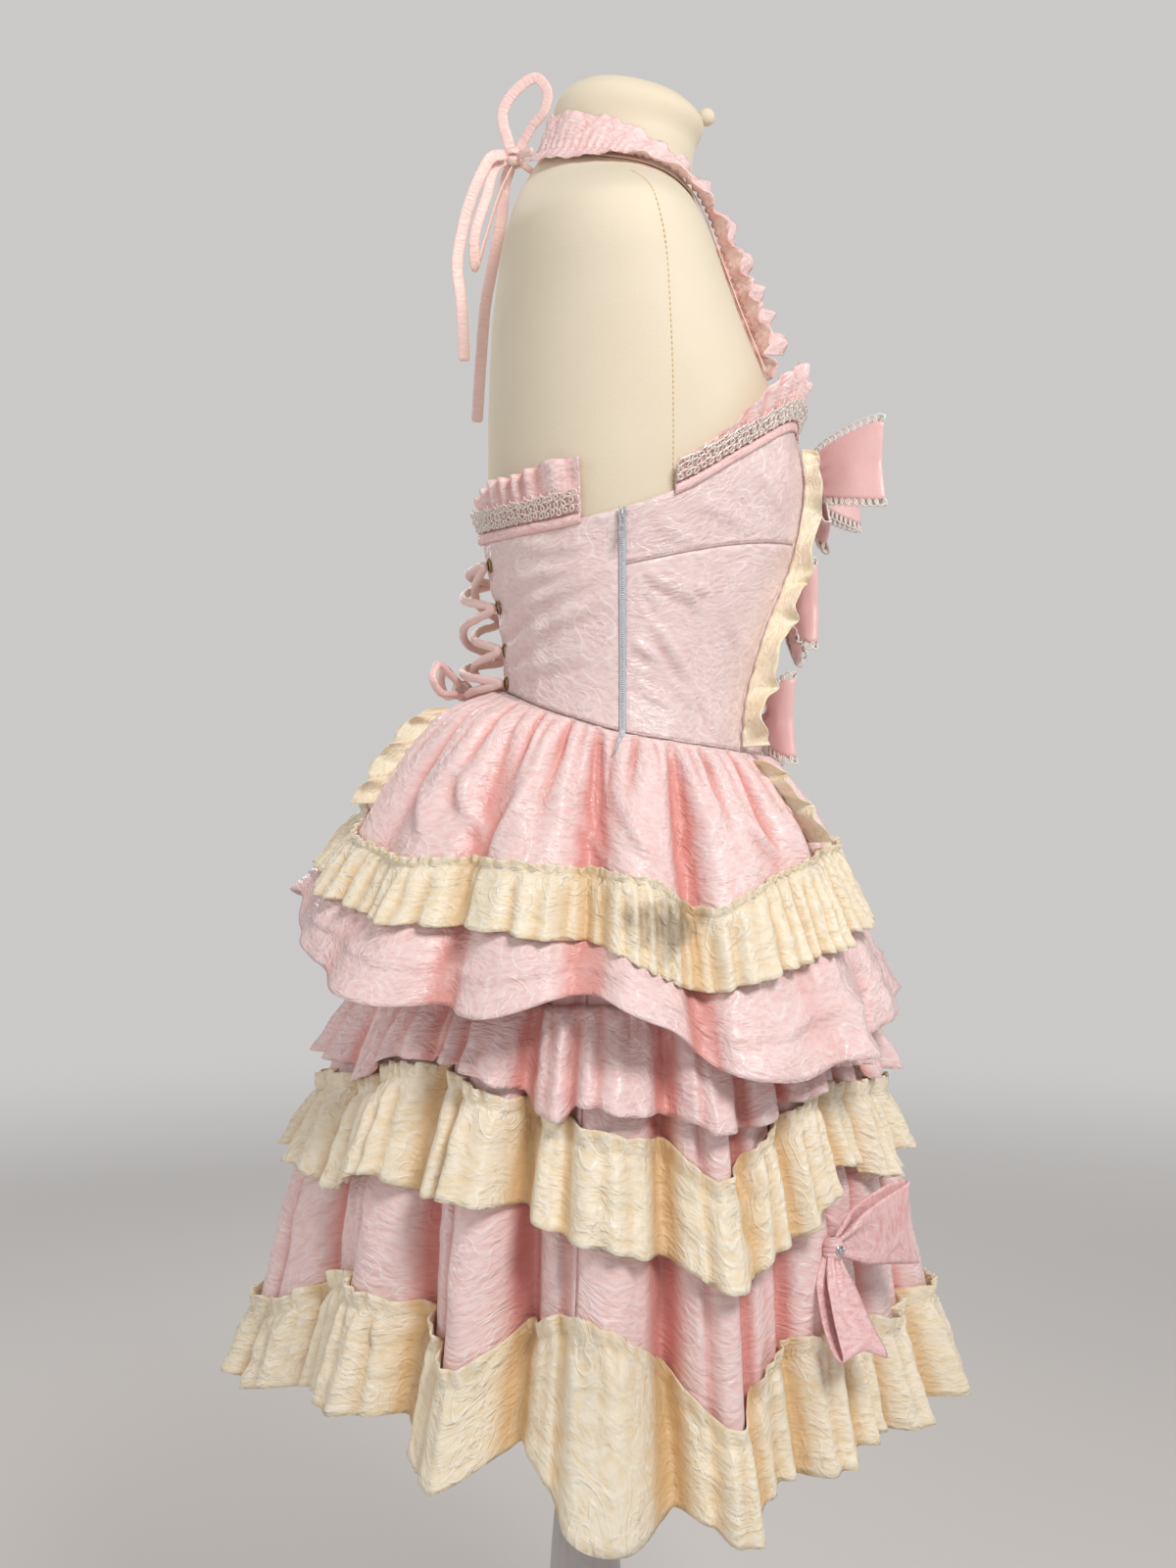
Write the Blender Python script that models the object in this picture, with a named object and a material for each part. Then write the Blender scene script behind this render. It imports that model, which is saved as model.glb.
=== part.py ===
"""A corset party dress with a tiered, ruffled skirt, on a limbless dress form and its stand.

Metres, +Z up. The origin is on the floor under the pole. The wearer faces -Y, so the wearer's right is -X.
An azimuth runs from the wearer's right (0) over the front (90) to the left (180) and the back (270 or -90).
"""

import math

import bmesh
import bpy
import numpy as np

# Driving dimensions
AXIS_Y = -0.030
CLOTH = 0.0016
SKIRT_CLOTH = 0.0022
SEAM_GAP = 0.0003
SEAM_TURN = 0.07
FORM_CLEARANCE = 0.0018
LAYER_CLEARANCE = 0.0017
TORSO_BOTTOM = 0.785
NECK_TILT = 0.15
POLE_TOP_RADIUS = 0.0135
BASE_RADIUS = 0.150
BASE_THICKNESS = 0.012
SKIRT_HEM = 0.52
FLUTE_START = 0.88
ZIP_AZIMUTH = -2.0
LACING_EDGE = 69.0
EYELET_AZIMUTH = 61.0
EYELET_HEIGHTS = (1.128, 1.098, 1.067, 1.043)
EYELET_HOLE_RADIUS = 0.0026
EYELET_RADIUS = 0.0047
EYELET_HEIGHT = 0.0011
LACE_RADIUS = 0.0031
LACE_LOOP_RADIUS = 0.0028
LACE_KNOT = (0.0, 0.0930, 1.0405)
BACK_STAND_OFF = 0.006
TRIM_RIPPLE = 0.0040
TRIM_CLOTH = 0.0013
LACE_STRIP = 0.0010
BINDING = 0.0018
FRILL_CLOTH = 0.0014
STRAP_HALF_WIDTH = 0.0062
STRAP_CLEARANCE = 0.0021
HALTER_KNOT = (0.0, 0.0540, 1.4430)
TIE_RADIUS = 0.0029
TIE_END_RADIUS = 0.0028
BOW_KNOT = (0.014, 0.013, 0.016)
BOW_CLEARANCE = 0.0070
SKIRT_BOW_HEIGHT = 0.662
SKIRT_BOW_CLEARANCE = 0.0052
TORSO_COLUMNS = 26
RING_COLUMNS = 80
SIDE_SEAM_COLUMN = -2
FRONT_PANEL_COLUMNS = 43
OVERSKIRT_COLUMNS = 64
OVERSKIRT_FOLDS = 16
OVERSKIRT_FOLD_DEPTH = 0.0042
FLOUNCE_WAVES = 8
SKIRT_FRILL_WAVES = 20
PINK_FRILL_REACH = 0.016

# The dress form's sections: height, back y, front y, half width
FORM_SECTIONS = (
    (0.785, 0.040, -0.085, 0.105),
    (0.792, 0.062, -0.104, 0.128),
    (0.815, 0.077, -0.116, 0.140),
    (0.870, 0.085, -0.125, 0.146),
    (0.930, 0.080, -0.128, 0.143),
    (0.990, 0.068, -0.129, 0.130),
    (1.030, 0.061, -0.129, 0.123),
    (1.070, 0.062, -0.137, 0.125),
    (1.110, 0.067, -0.147, 0.132),
    (1.150, 0.071, -0.157, 0.140),
    (1.190, 0.073, -0.161, 0.147),
    (1.230, 0.073, -0.153, 0.152),
    (1.270, 0.072, -0.134, 0.158),
    (1.310, 0.070, -0.116, 0.165),
    (1.345, 0.066, -0.102, 0.169),
    (1.367, 0.063, -0.094, 0.160),
    (1.385, 0.059, -0.088, 0.130),
    (1.402, 0.054, -0.083, 0.094),
    (1.422, 0.045, -0.080, 0.062),
    (1.450, 0.028, -0.082, 0.052),
    (1.482, 0.016, -0.085, 0.050),
    (1.487, 0.010, -0.079, 0.044),
)

# The overskirt's deep folds: azimuth, half width in degrees, depth
OVERSKIRT_DEEP_FOLDS = ((-8, 5.0, 0.010), (12, 4.0, 0.008))

# The skirt's mean sections below the waist: height, back y, front y, half width
SKIRT_SECTIONS = (
    (0.52, 0.256, -0.272, 0.262),
    (0.60, 0.240, -0.256, 0.246),
    (0.70, 0.212, -0.232, 0.226),
    (0.78, 0.180, -0.208, 0.205),
    (0.82, 0.158, -0.188, 0.190),
    (0.86, 0.135, -0.168, 0.176),
    (0.90, 0.112, -0.152, 0.164),
    (0.95, 0.092, -0.142, 0.151),
    (1.04, 0.070, -0.136, 0.134),
)

# The skirt's flutes at the hem: azimuth, radius from the body's axis, height of the wall's lower edge
SKIRT_FLUTES = (
    (-90, 0.283, 0.545),
    (-79, 0.266, 0.548),
    (-64, 0.222, 0.585),
    (-50, 0.245, 0.586),
    (-38, 0.212, 0.575),
    (-29, 0.246, 0.560),
    (-19, 0.210, 0.580),
    (-3, 0.262, 0.560),
    (6, 0.216, 0.550),
    (15, 0.243, 0.530),
    (27, 0.200, 0.560),
    (38, 0.214, 0.566),
    (50, 0.200, 0.560),
    (61, 0.214, 0.560),
    (73, 0.204, 0.560),
    (88, 0.238, 0.555),
    (104, 0.208, 0.560),
    (118, 0.234, 0.545),
    (131, 0.203, 0.565),
    (143, 0.238, 0.560),
    (155, 0.208, 0.550),
    (169, 0.260, 0.545),
    (182, 0.212, 0.580),
    (195, 0.250, 0.565),
    (208, 0.208, 0.580),
    (221, 0.250, 0.575),
    (234, 0.220, 0.585),
    (249, 0.262, 0.555),
    (259, 0.236, 0.560),
)

# The two upper frills and the hem frill: azimuth, stitched line and lower edge of each
FRILL_LINES = (
    (-90, 0.833, 0.772, 0.752, 0.700, 0.592, 0.532),
    (-79, 0.830, 0.770, 0.762, 0.705, 0.596, 0.535),
    (-64, 0.832, 0.768, 0.764, 0.688, 0.632, 0.556),
    (-50, 0.834, 0.772, 0.782, 0.718, 0.634, 0.557),
    (-38, 0.832, 0.766, 0.781, 0.702, 0.620, 0.546),
    (-29, 0.828, 0.770, 0.775, 0.700, 0.600, 0.530),
    (-19, 0.826, 0.762, 0.763, 0.690, 0.624, 0.548),
    (-3, 0.828, 0.760, 0.751, 0.680, 0.636, 0.517),
    (6, 0.824, 0.756, 0.741, 0.668, 0.600, 0.520),
    (15, 0.815, 0.752, 0.720, 0.651, 0.571, 0.515),
    (27, 0.820, 0.758, 0.742, 0.670, 0.600, 0.525),
    (38, 0.826, 0.768, 0.763, 0.700, 0.612, 0.528),
    (61, 0.828, 0.770, 0.762, 0.700, 0.600, 0.530),
    (88, 0.826, 0.766, 0.752, 0.694, 0.600, 0.524),
    (104, 0.826, 0.765, 0.748, 0.684, 0.606, 0.528),
    (131, 0.828, 0.768, 0.756, 0.690, 0.610, 0.530),
    (155, 0.824, 0.760, 0.742, 0.672, 0.596, 0.520),
    (182, 0.830, 0.768, 0.764, 0.690, 0.625, 0.548),
    (208, 0.828, 0.764, 0.752, 0.684, 0.622, 0.540),
    (234, 0.834, 0.772, 0.776, 0.704, 0.632, 0.556),
    (259, 0.830, 0.768, 0.757, 0.694, 0.604, 0.536),
)

# The overskirt's profile: depth below the waist seam, back y, front y, half width
OVERSKIRT_PROFILE = (
    (0.000, 0.070, -0.139, 0.128),
    (0.012, 0.098, -0.146, 0.141),
    (0.030, 0.118, -0.158, 0.153),
    (0.055, 0.136, -0.172, 0.168),
    (0.085, 0.153, -0.181, 0.182),
    (0.115, 0.172, -0.191, 0.193),
    (0.150, 0.188, -0.201, 0.202),
    (0.200, 0.200, -0.212, 0.210),
)

# The overskirt's own frills: depth below the waist seam, azimuth
OVERSKIRT_FRILLS = {
    "front": ((0.006, 43), (0.034, 47), (0.062, 54)),
    "back": ((0.012, -76), (0.035, -74), (0.082, -73)),
}

# The overskirt's lower pieces: azimuth, top and bottom of the cream band, bottom of the flounce
OVERSKIRT_LINES = (
    (-90, 0.948, 0.915, 0.872),
    (-68, 0.928, 0.896, 0.848),
    (-48, 0.914, 0.880, 0.832),
    (-26, 0.914, 0.878, 0.826),
    (-12, 0.909, 0.872, 0.834),
    (-3, 0.906, 0.866, 0.838),
    (5, 0.900, 0.848, 0.822),
    (13, 0.882, 0.838, 0.794),
    (24, 0.893, 0.848, 0.784),
    (42, 0.910, 0.857, 0.789),
    (62, 0.918, 0.868, 0.797),
    (90, 0.922, 0.870, 0.808),
    (120, 0.914, 0.864, 0.800),
    (150, 0.898, 0.850, 0.790),
    (172, 0.896, 0.848, 0.800),
    (192, 0.910, 0.868, 0.830),
    (222, 0.914, 0.880, 0.832),
    (248, 0.930, 0.898, 0.850),
)

# The bodice's lines, each as azimuth and height (the waist seam, its top edge and the cup seam)
WAIST_LINE = ((-69, 1.038), (-60, 1.036), (-21, 1.017), (-2, 1.005), (17, 0.998), (34, 0.994), (90, 0.989))
TOP_LINE = ((-69, 1.148), (-40, 1.146), (-14, 1.150), (-2, 1.156), (12, 1.168), (32, 1.197), (50, 1.219),
            (75, 1.231), (90, 1.228))
CUP_LINE = ((-2, 1.118), (33, 1.135), (70, 1.144), (90, 1.146))
# The seam of the centre front panel: height, azimuth
FRONT_SEAM = ((0.985, 42), (1.050, 52), (1.090, 59), (1.120, 67), (1.170, 71), (1.235, 73))
# Heights of the neckline's frill above the bodice's edge: azimuth, height
FRONT_FRILL_HEIGHT = ((12, 0.016), (25, 0.022), (38, 0.034), (55, 0.043), (72, 0.040), (90, 0.034))
BACK_FRILL_HEIGHT = ((-69, 0.026), (-55, 0.034), (-35, 0.038), (-13, 0.041))
# The halter's line from the cup to the knot behind the neck: azimuth, height
HALTER_LINE = ((61, 1.266), (59, 1.300), (53, 1.345), (41, 1.384), (20, 1.408), (-8, 1.424), (-42, 1.434),
               (-72, 1.440))


def linear(level):
    """A display colour level from 0 to 255 as scene light."""
    share = level / 255
    return share / 12.92 if share <= 0.04045 else ((share + 0.055) / 1.055) ** 2.4


def material(name, colour, roughness, metallic=0.0):
    made = bpy.data.materials.new(name)
    made.use_nodes = True
    shader = made.node_tree.nodes["Principled BSDF"]
    shader.inputs["Base Color"].default_value = [linear(level) for level in colour] + [1.0]
    shader.inputs["Roughness"].default_value = roughness
    shader.inputs["Metallic"].default_value = metallic
    return made


def smooth(table, at, column=1, turn=None):
    """A smooth curve through a table's first column and the given one, read at each value of `at`."""
    rows = np.array(sorted(table), float)
    knots = rows[:, 0]
    values = rows[:, column]
    if turn:
        knots = np.concatenate([knots[-2:] - turn, knots, knots[:2] + turn])
        values = np.concatenate([values[-2:], values, values[:2]])
        at = knots[2] + np.mod(np.asarray(at, float) - knots[2], turn)
    at = np.clip(at, knots[0], knots[-1])
    slopes = np.gradient(values, knots)
    low = np.clip(np.searchsorted(knots, at, side="right") - 1, 0, len(knots) - 2)
    step = knots[low + 1] - knots[low]
    t = (at - knots[low]) / step
    start = (2 * t**3 - 3 * t**2 + 1) * values[low] + (t**3 - 2 * t**2 + t) * step * slopes[low]
    end = (3 * t**2 - 2 * t**3) * values[low + 1] + (t**3 - t**2) * step * slopes[low + 1]
    return start + end


def mirrored(table, azimuth, column=1):
    """A table given for the right half only, read at any azimuth."""
    folded = np.degrees(np.arcsin(np.sin(np.radians(azimuth))))
    return smooth(table, folded, column)


def section_radius(azimuth, back, front, half_width):
    """Distance from the body's axis to an egg-shaped section in the direction of an azimuth."""
    angle = np.radians(azimuth)
    depth = np.where(np.sin(angle) > 0, AXIS_Y - front, back - AXIS_Y)
    return half_width * depth / np.hypot(depth * np.cos(angle), half_width * np.sin(angle))


def read_sections(table, azimuth, at):
    back, front, half_width = (smooth(table, at, column) for column in (1, 2, 3))
    return section_radius(azimuth, back, front, half_width)


def form_radius(azimuth, height):
    return read_sections(FORM_SECTIONS, azimuth, height)


def skirt_radius(azimuth, height):
    """Inner face of the skirt: the form's size at the waist seam, opening into flutes towards the hem."""
    mean = read_sections(SKIRT_SECTIONS, azimuth, height)
    hem_mean = read_sections(SKIRT_SECTIONS, azimuth, SKIRT_HEM)
    opened = np.clip((FLUTE_START - height) / (FLUTE_START - SKIRT_HEM), 0, 1)
    fluted = mean + opened * (smooth(SKIRT_FLUTES, azimuth, 1, 360) - hem_mean)
    below_waist = mirrored(WAIST_LINE, azimuth) - height
    blend = np.clip(below_waist / 0.06, 0, 1)
    return (1 - blend) * (form_radius(azimuth, height) + FORM_CLEARANCE) + blend * fluted


def polar_points(azimuth, radius, height):
    azimuth, radius, height = np.broadcast_arrays(azimuth, radius, height)
    angle = np.radians(azimuth)
    return np.stack([-radius * np.cos(angle), AXIS_Y - radius * np.sin(angle), height], axis=-1)


def add_mesh(name, points, faces, look):
    """A closed mesh object with its faces turned outwards."""
    mesh = bpy.data.meshes.new(name)
    mesh.from_pydata([tuple(point) for point in np.reshape(points, (-1, 3))], [], faces)
    shaped = bmesh.new()
    shaped.from_mesh(mesh)
    bmesh.ops.recalc_face_normals(shaped, faces=shaped.faces)
    if shaped.calc_volume(signed=True) < 0:
        bmesh.ops.reverse_faces(shaped, faces=shaped.faces)
    shaped.to_mesh(mesh)
    shaped.free()
    mesh.materials.append(look)
    mesh.shade_smooth()
    mesh.set_sharp_from_angle(angle=math.radians(50))
    made = bpy.data.objects.new(name, mesh)
    bpy.context.scene.collection.objects.link(made)
    return made


def wall_faces(rows, columns, ring):
    """Triangles of a wall whose inner and outer faces are two equal grids, closed at their edges."""
    around = columns if ring else columns - 1

    def index(side, row, column):
        return (side * rows + row) * columns + column % columns

    quads = []
    for column in range(around):
        for side in (0, 1):
            for row in range(rows - 1):
                quads.append((index(side, row, column), index(side, row, column + 1),
                              index(side, row + 1, column + 1), index(side, row + 1, column)))
        for row in (0, rows - 1):
            quads.append((index(0, row, column), index(0, row, column + 1),
                          index(1, row, column + 1), index(1, row, column)))
    if not ring:
        for column in (0, columns - 1):
            for row in range(rows - 1):
                quads.append((index(0, row, column), index(0, row + 1, column),
                              index(1, row + 1, column), index(1, row, column)))
    return [corners for a, b, c, d in quads for corners in ((a, b, c), (a, c, d))]


def add_wall(name, inner, outer, look, ring=False):
    rows, columns = inner.shape[:2]
    return add_mesh(name, np.concatenate([inner, outer]), wall_faces(rows, columns, ring), look)


def add_radial_wall(name, azimuth, height, radius, thickness, look, ring=False):
    """A wall from grids of azimuth, height and inner radius."""
    inner = polar_points(azimuth, radius, height)
    outer = polar_points(azimuth, radius + thickness, height)
    return add_wall(name, inner, outer, look, ring)


def add_sheet(name, grid, thickness, look):
    """A cloth of even thickness round a grid of points."""
    along = np.gradient(grid, axis=0)
    across = np.gradient(grid, axis=1)
    normal = np.cross(along, across)
    normal /= np.linalg.norm(normal, axis=-1, keepdims=True)
    return add_wall(name, grid - normal * thickness / 2, grid + normal * thickness / 2, look)


def smooth_path(points, count):
    """Evenly spaced points on a smooth curve through a route's own points."""
    points = np.asarray(points, float)
    lengths = np.concatenate([[0], np.cumsum(np.linalg.norm(np.diff(points, axis=0), axis=1))])
    at = np.linspace(0, lengths[-1], count)
    return np.stack([smooth(list(zip(lengths, values)), at) for values in points.T], axis=-1)


def add_tube(name, points, radius, look, resolution=1):
    curve = bpy.data.curves.new(name, "CURVE")
    curve.dimensions = "3D"
    curve.bevel_depth = radius
    curve.bevel_resolution = resolution
    curve.use_fill_caps = True
    curve.materials.append(look)
    spline = curve.splines.new("POLY")
    spline.points.add(len(points) - 1)
    for point, place in zip(spline.points, points):
        point.co = (*place, 1.0)
    made = bpy.data.objects.new(name, curve)
    bpy.context.scene.collection.objects.link(made)
    return made


def as_mesh_object(made):
    """The same object as a mesh, which a Boolean can take."""
    name = made.name
    mesh = bpy.data.meshes.new_from_object(made.evaluated_get(bpy.context.evaluated_depsgraph_get()))
    bpy.data.objects.remove(made)
    solid = bpy.data.objects.new(name, mesh)
    bpy.context.scene.collection.objects.link(solid)
    return solid


def join_solids(base, others):
    """One body from a base and the solids that run into it."""
    for other in others:
        joint = base.modifiers.new(other.name, "BOOLEAN")
        joint.operation = "UNION"
        joint.solver = "EXACT"
        joint.object = other
        other.hide_render = True
        other.display_type = "WIRE"


def add_ball(name, centre, size, look, segments=8, rings=6):
    mesh = bpy.data.meshes.new(name)
    shaped = bmesh.new()
    bmesh.ops.create_uvsphere(shaped, u_segments=segments, v_segments=rings, radius=0.5)
    bmesh.ops.scale(shaped, vec=size, verts=shaped.verts)
    bmesh.ops.translate(shaped, vec=centre, verts=shaped.verts)
    shaped.to_mesh(mesh)
    shaped.free()
    mesh.materials.append(look)
    mesh.shade_smooth()
    made = bpy.data.objects.new(name, mesh)
    bpy.context.scene.collection.objects.link(made)
    return made


def add_turned(name, outline, look, segments):
    """A solid turned round the stand's own axis from (radius, height) points; the first and last lie on it."""
    angles = np.linspace(0, 2 * math.pi, segments, endpoint=False)
    rings = outline[1:-1]
    points = [(0, 0, outline[0][1]), (0, 0, outline[-1][1])]
    for radius, height in rings:
        points += [(radius * math.cos(a), radius * math.sin(a), height) for a in angles]
    faces = []
    for column in range(segments):
        after = (column + 1) % segments
        faces.append((0, 2 + column, 2 + after))
        last = 2 + (len(rings) - 1) * segments
        faces.append((1, last + after, last + column))
        for row in range(len(rings) - 1):
            start = 2 + row * segments
            faces.append((start + column, start + segments + column, start + segments + after, start + after))
    return add_mesh(name, points, faces, look)


def mirror_points(points):
    return points * np.array([-1.0, 1.0, 1.0])


def each_side(right_points):
    """The right piece's points and those of its mirror image, each with its side's name."""
    return (("right", right_points), ("left", tuple(mirror_points(points) for points in right_points)))


# The dress form and its stand

def add_form(looks):
    azimuth = np.linspace(0, 360, TORSO_COLUMNS, endpoint=False)
    rings = []
    heights = [section[0] for section in FORM_SECTIONS]
    heights += [(low + high) / 2 for low, high in zip(heights, heights[1:]) if low > 1.34 and high < 1.46]
    for height in sorted(heights):
        ring = polar_points(azimuth, form_radius(azimuth, height), height)
        tilt = NECK_TILT * np.clip((height - 1.43) / 0.05, 0, 1)
        ring[:, 2] += tilt * (ring[:, 1] - AXIS_Y)
        rings.append(ring)
    count = len(azimuth)
    faces = [tuple(range(count)), tuple(range((len(rings) - 1) * count, len(rings) * count))]
    for row in range(len(rings) - 1):
        for column in range(count):
            after = (column + 1) % count
            a, b, c, d = (row * count + column, row * count + after,
                          (row + 1) * count + after, (row + 1) * count + column)
            faces += [(a, b, c), (a, c, d)]
    add_mesh("form_torso", np.concatenate(rings), faces, looks["jersey"])
    add_ball("form_knob", (0, -0.0914, 1.474), (0.013, 0.0125, 0.013), looks["jersey"], 8, 5)
    pole_bottom = BASE_THICKNESS + SEAM_GAP
    pole_top = TORSO_BOTTOM - SEAM_GAP
    pole = [(0, pole_bottom), (0.050, pole_bottom), (0.040, 0.11), (0.032, 0.25), (0.026, 0.39), (0.0185, 0.48),
            (0.0150, 0.60), (POLE_TOP_RADIUS, pole_top), (0, pole_top)]
    add_turned("form_pole", pole, looks["stand"], 10)
    base = [(0, 0), (BASE_RADIUS, 0), (BASE_RADIUS, BASE_THICKNESS - 0.004),
            (BASE_RADIUS - 0.006, BASE_THICKNESS), (0, BASE_THICKNESS)]
    add_turned("form_base", base, looks["stand"], 18)


# The bodice: panels fitted to the form, the zip and the lacing

def bodice_inner(azimuth, height):
    """Inner face of the bodice, which stands off a little at the top of the back."""
    behind = np.clip((-np.sin(np.radians(azimuth)) - 0.4) / 0.4, 0, 1)
    off = BACK_STAND_OFF * behind * np.clip((height - 1.085) / 0.06, 0, 1)
    return form_radius(azimuth, height) + FORM_CLEARANCE + off


def bodice_outer(azimuth, height):
    return bodice_inner(azimuth, height) + CLOTH


def waist_height(azimuth):
    return mirrored(WAIST_LINE, azimuth)


def top_height(azimuth):
    return mirrored(TOP_LINE, azimuth)


def panel_grid(left, right, low, high, rows, columns):
    """Azimuths and heights of a panel between two side lines and a lower and an upper line."""
    across = np.linspace(0, 1, columns)[None, :]
    up = np.linspace(0, 1, rows)[:, None]
    azimuth = left(1.10) * (1 - across) + right(1.10) * across
    for _ in range(8):
        height = low(azimuth) * (1 - up) + high(azimuth) * up
        azimuth = (left(height) + SEAM_TURN) * (1 - across) + (right(height) - SEAM_TURN) * across
    return azimuth, height


def add_bodice(looks):
    def side_seam(height):
        return ZIP_AZIMUTH + 0 * height

    def front_seam(height):
        return smooth(FRONT_SEAM, height)

    def far_front_seam(height):
        return 180 - smooth(FRONT_SEAM, height)

    def cup_seam(azimuth):
        return mirrored(CUP_LINE, azimuth)

    panels = {
        "bodice_back": (lambda height: -LACING_EDGE + 0 * height, side_seam, waist_height, top_height, 8, 9),
        "bodice_side_front": (side_seam, front_seam, waist_height, lambda az: cup_seam(az) - SEAM_GAP, 6, 9),
        "bodice_cup": (side_seam, front_seam, cup_seam, top_height, 5, 9),
    }
    for name, (left, right, low, high, rows, columns) in panels.items():
        azimuth, height = panel_grid(left, right, low, high, rows, columns)
        inner = polar_points(azimuth, bodice_inner(azimuth, height), height)
        outer = polar_points(azimuth, bodice_outer(azimuth, height), height)
        for side, grids in each_side((inner, outer)):
            add_wall(f"{name}_{side}", *grids, looks["jacquard"])
    lower = panel_grid(front_seam, far_front_seam, waist_height, cup_seam, 6, 9)
    upper = panel_grid(front_seam, far_front_seam, cup_seam, top_height, 5, 9)
    azimuth, height = (np.concatenate([below, above[1:]]) for below, above in zip(lower, upper))
    add_radial_wall("bodice_front_centre", azimuth, height, bodice_inner(azimuth, height), CLOTH,
                    looks["jacquard"])


def add_box(name, centre, size, look):
    mesh = bpy.data.meshes.new(name)
    shaped = bmesh.new()
    bmesh.ops.create_cube(shaped, size=1.0)
    bmesh.ops.scale(shaped, vec=size, verts=shaped.verts)
    bmesh.ops.bevel(shaped, geom=shaped.edges, offset=min(size) * 0.2, segments=1, affect="EDGES")
    shaped.to_mesh(mesh)
    shaped.free()
    mesh.materials.append(look)
    made = bpy.data.objects.new(name, mesh)
    made.location = centre
    bpy.context.scene.collection.objects.link(made)
    return made


def add_zip(looks):
    """A coil zip on the wearer's right side seam, closed, its slider at the top and its tab hanging."""
    chain_bottom = float(waist_height(ZIP_AZIMUTH)) + 0.001
    height = np.linspace(chain_bottom, 1.146, 9)[:, None] + np.zeros((1, 2))
    half_turn = 0.85
    azimuth = ZIP_AZIMUTH + np.array([[-half_turn, half_turn]]) + 0 * height
    add_radial_wall("zip_chain", azimuth, height, bodice_outer(azimuth, height) + 0.0009, 0.0010, looks["zip"])
    surface = float(bodice_outer(ZIP_AZIMUTH, 1.152))
    seat = polar_points(ZIP_AZIMUTH, surface, 1.1515)
    add_box("zip_slider", (seat[0] - 0.0026, seat[1], 1.1515), (0.0034, 0.0062, 0.0088), looks["metal"])
    pull = add_box("zip_pull", (0, 0, -0.0070), (0.0011, 0.0044, 0.0150), looks["metal"])
    pull.data.transform(pull.matrix_basis)
    pull.location = (seat[0] - 0.00525, seat[1], 1.1490)


def add_lacing(looks):
    """Four eyelets on each back panel, the padded cord laced through them and the bow that ties it."""
    sides = 7
    turns = np.linspace(0, 2 * math.pi, sides, endpoint=False)
    anchors = {}
    for number, height in enumerate(EYELET_HEIGHTS, start=1):
        azimuth = -EYELET_AZIMUTH
        centre = polar_points(azimuth, bodice_outer(azimuth, height) + 0.0005, height)
        ahead = polar_points(azimuth + 1, bodice_outer(azimuth + 1, height) + 0.0005, height)
        above = polar_points(azimuth, bodice_outer(azimuth, height + 0.002) + 0.0005, height + 0.002)
        side_way = (ahead - centre) / np.linalg.norm(ahead - centre)
        up_way = (above - centre) / np.linalg.norm(above - centre)
        out_way = np.cross(side_way, up_way)
        out_way *= np.sign(out_way[1])
        rings = []
        for radius, lift in ((EYELET_HOLE_RADIUS, 0), (EYELET_HOLE_RADIUS, EYELET_HEIGHT),
                             (EYELET_RADIUS, EYELET_HEIGHT), (EYELET_RADIUS, 0)):
            rings.append([centre + radius * (math.cos(a) * side_way + math.sin(a) * up_way) + lift * out_way
                          for a in turns])
        points = np.array(rings)
        faces = []
        for row in range(4):
            for column in range(sides):
                after = (column + 1) % sides
                above_row = (row + 1) % 4
                faces.append((row * sides + column, row * sides + after,
                              above_row * sides + after, above_row * sides + column))
        for side, sided in (("right", points), ("left", mirror_points(points))):
            add_mesh(f"eyelet_{side}_{number}", sided, faces, looks["brass"])
        over = centre + out_way * (EYELET_HEIGHT + 2 * SEAM_GAP + LACE_RADIUS)
        anchors[("right", number)] = over
        anchors[("left", number)] = mirror_points(over)
    knot = np.array(LACE_KNOT)
    crossing = [("left", 4), ("right", 3), ("left", 2), ("right", 1), ("left", 1), ("right", 2), ("left", 3),
                ("right", 4)]
    bulge = [0.0815, 0.0815, 0.0815, 0.0860, 0.0895, 0.0895, 0.0895]
    route = [knot + (0.0069, -0.0041, -0.0040), knot + (0.024, -0.0100, -0.0020)]
    for place, following, depth in zip(crossing, crossing[1:], bulge):
        start, end = anchors[place], anchors[following]
        route.append(start)
        for share in (0.32, 0.68):
            middle = start * (1 - share) + end * share
            middle[1] = depth
            route.append(middle)
    route += [anchors[crossing[-1]], knot + (-0.024, -0.0100, -0.0020), knot + (-0.0069, -0.0041, -0.0040)]
    add_tube("back_lace", smooth_path(route, 39), LACE_RADIUS, looks["tie"])

    base = add_ball("back_lace_bow", knot, (0.0165, 0.0140, 0.0170), looks["tie"])
    parts = []
    for side, sign in (("right", -1), ("left", 1)):
        loop = [(0.0015, 0.0008, 0.0032), (0.012, 0.006, 0.0095), (0.028, 0.010, 0.015), (0.039, 0.009, 0.006),
                (0.030, 0.009, 0.000), (0.013, 0.006, -0.0014), (0.0015, 0.0008, -0.0032)]
        placed = knot + np.array(loop) * (sign, 1, 1)
        tube = add_tube(f"lace_loop_{side}", smooth_path(placed, 11), LACE_LOOP_RADIUS, looks["tie"])
        parts.append(as_mesh_object(tube))
    join_solids(base, parts)


# The neckline's trims

def stand_up(azimuth, rise, lean, waves):
    """Inner radius of a piece that stands on the bodice's top edge, clear of the form at every height."""
    edge = top_height(azimuth)
    free = np.clip(rise - 0.0042, 0, None)
    ripple = TRIM_RIPPLE * np.clip(free / 0.030, 0, 1) * (1 + waves)
    upright = bodice_inner(azimuth, edge) + lean * free + ripple
    return np.maximum(upright, form_radius(azimuth, edge + rise) + FORM_CLEARANCE + ripple)


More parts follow.
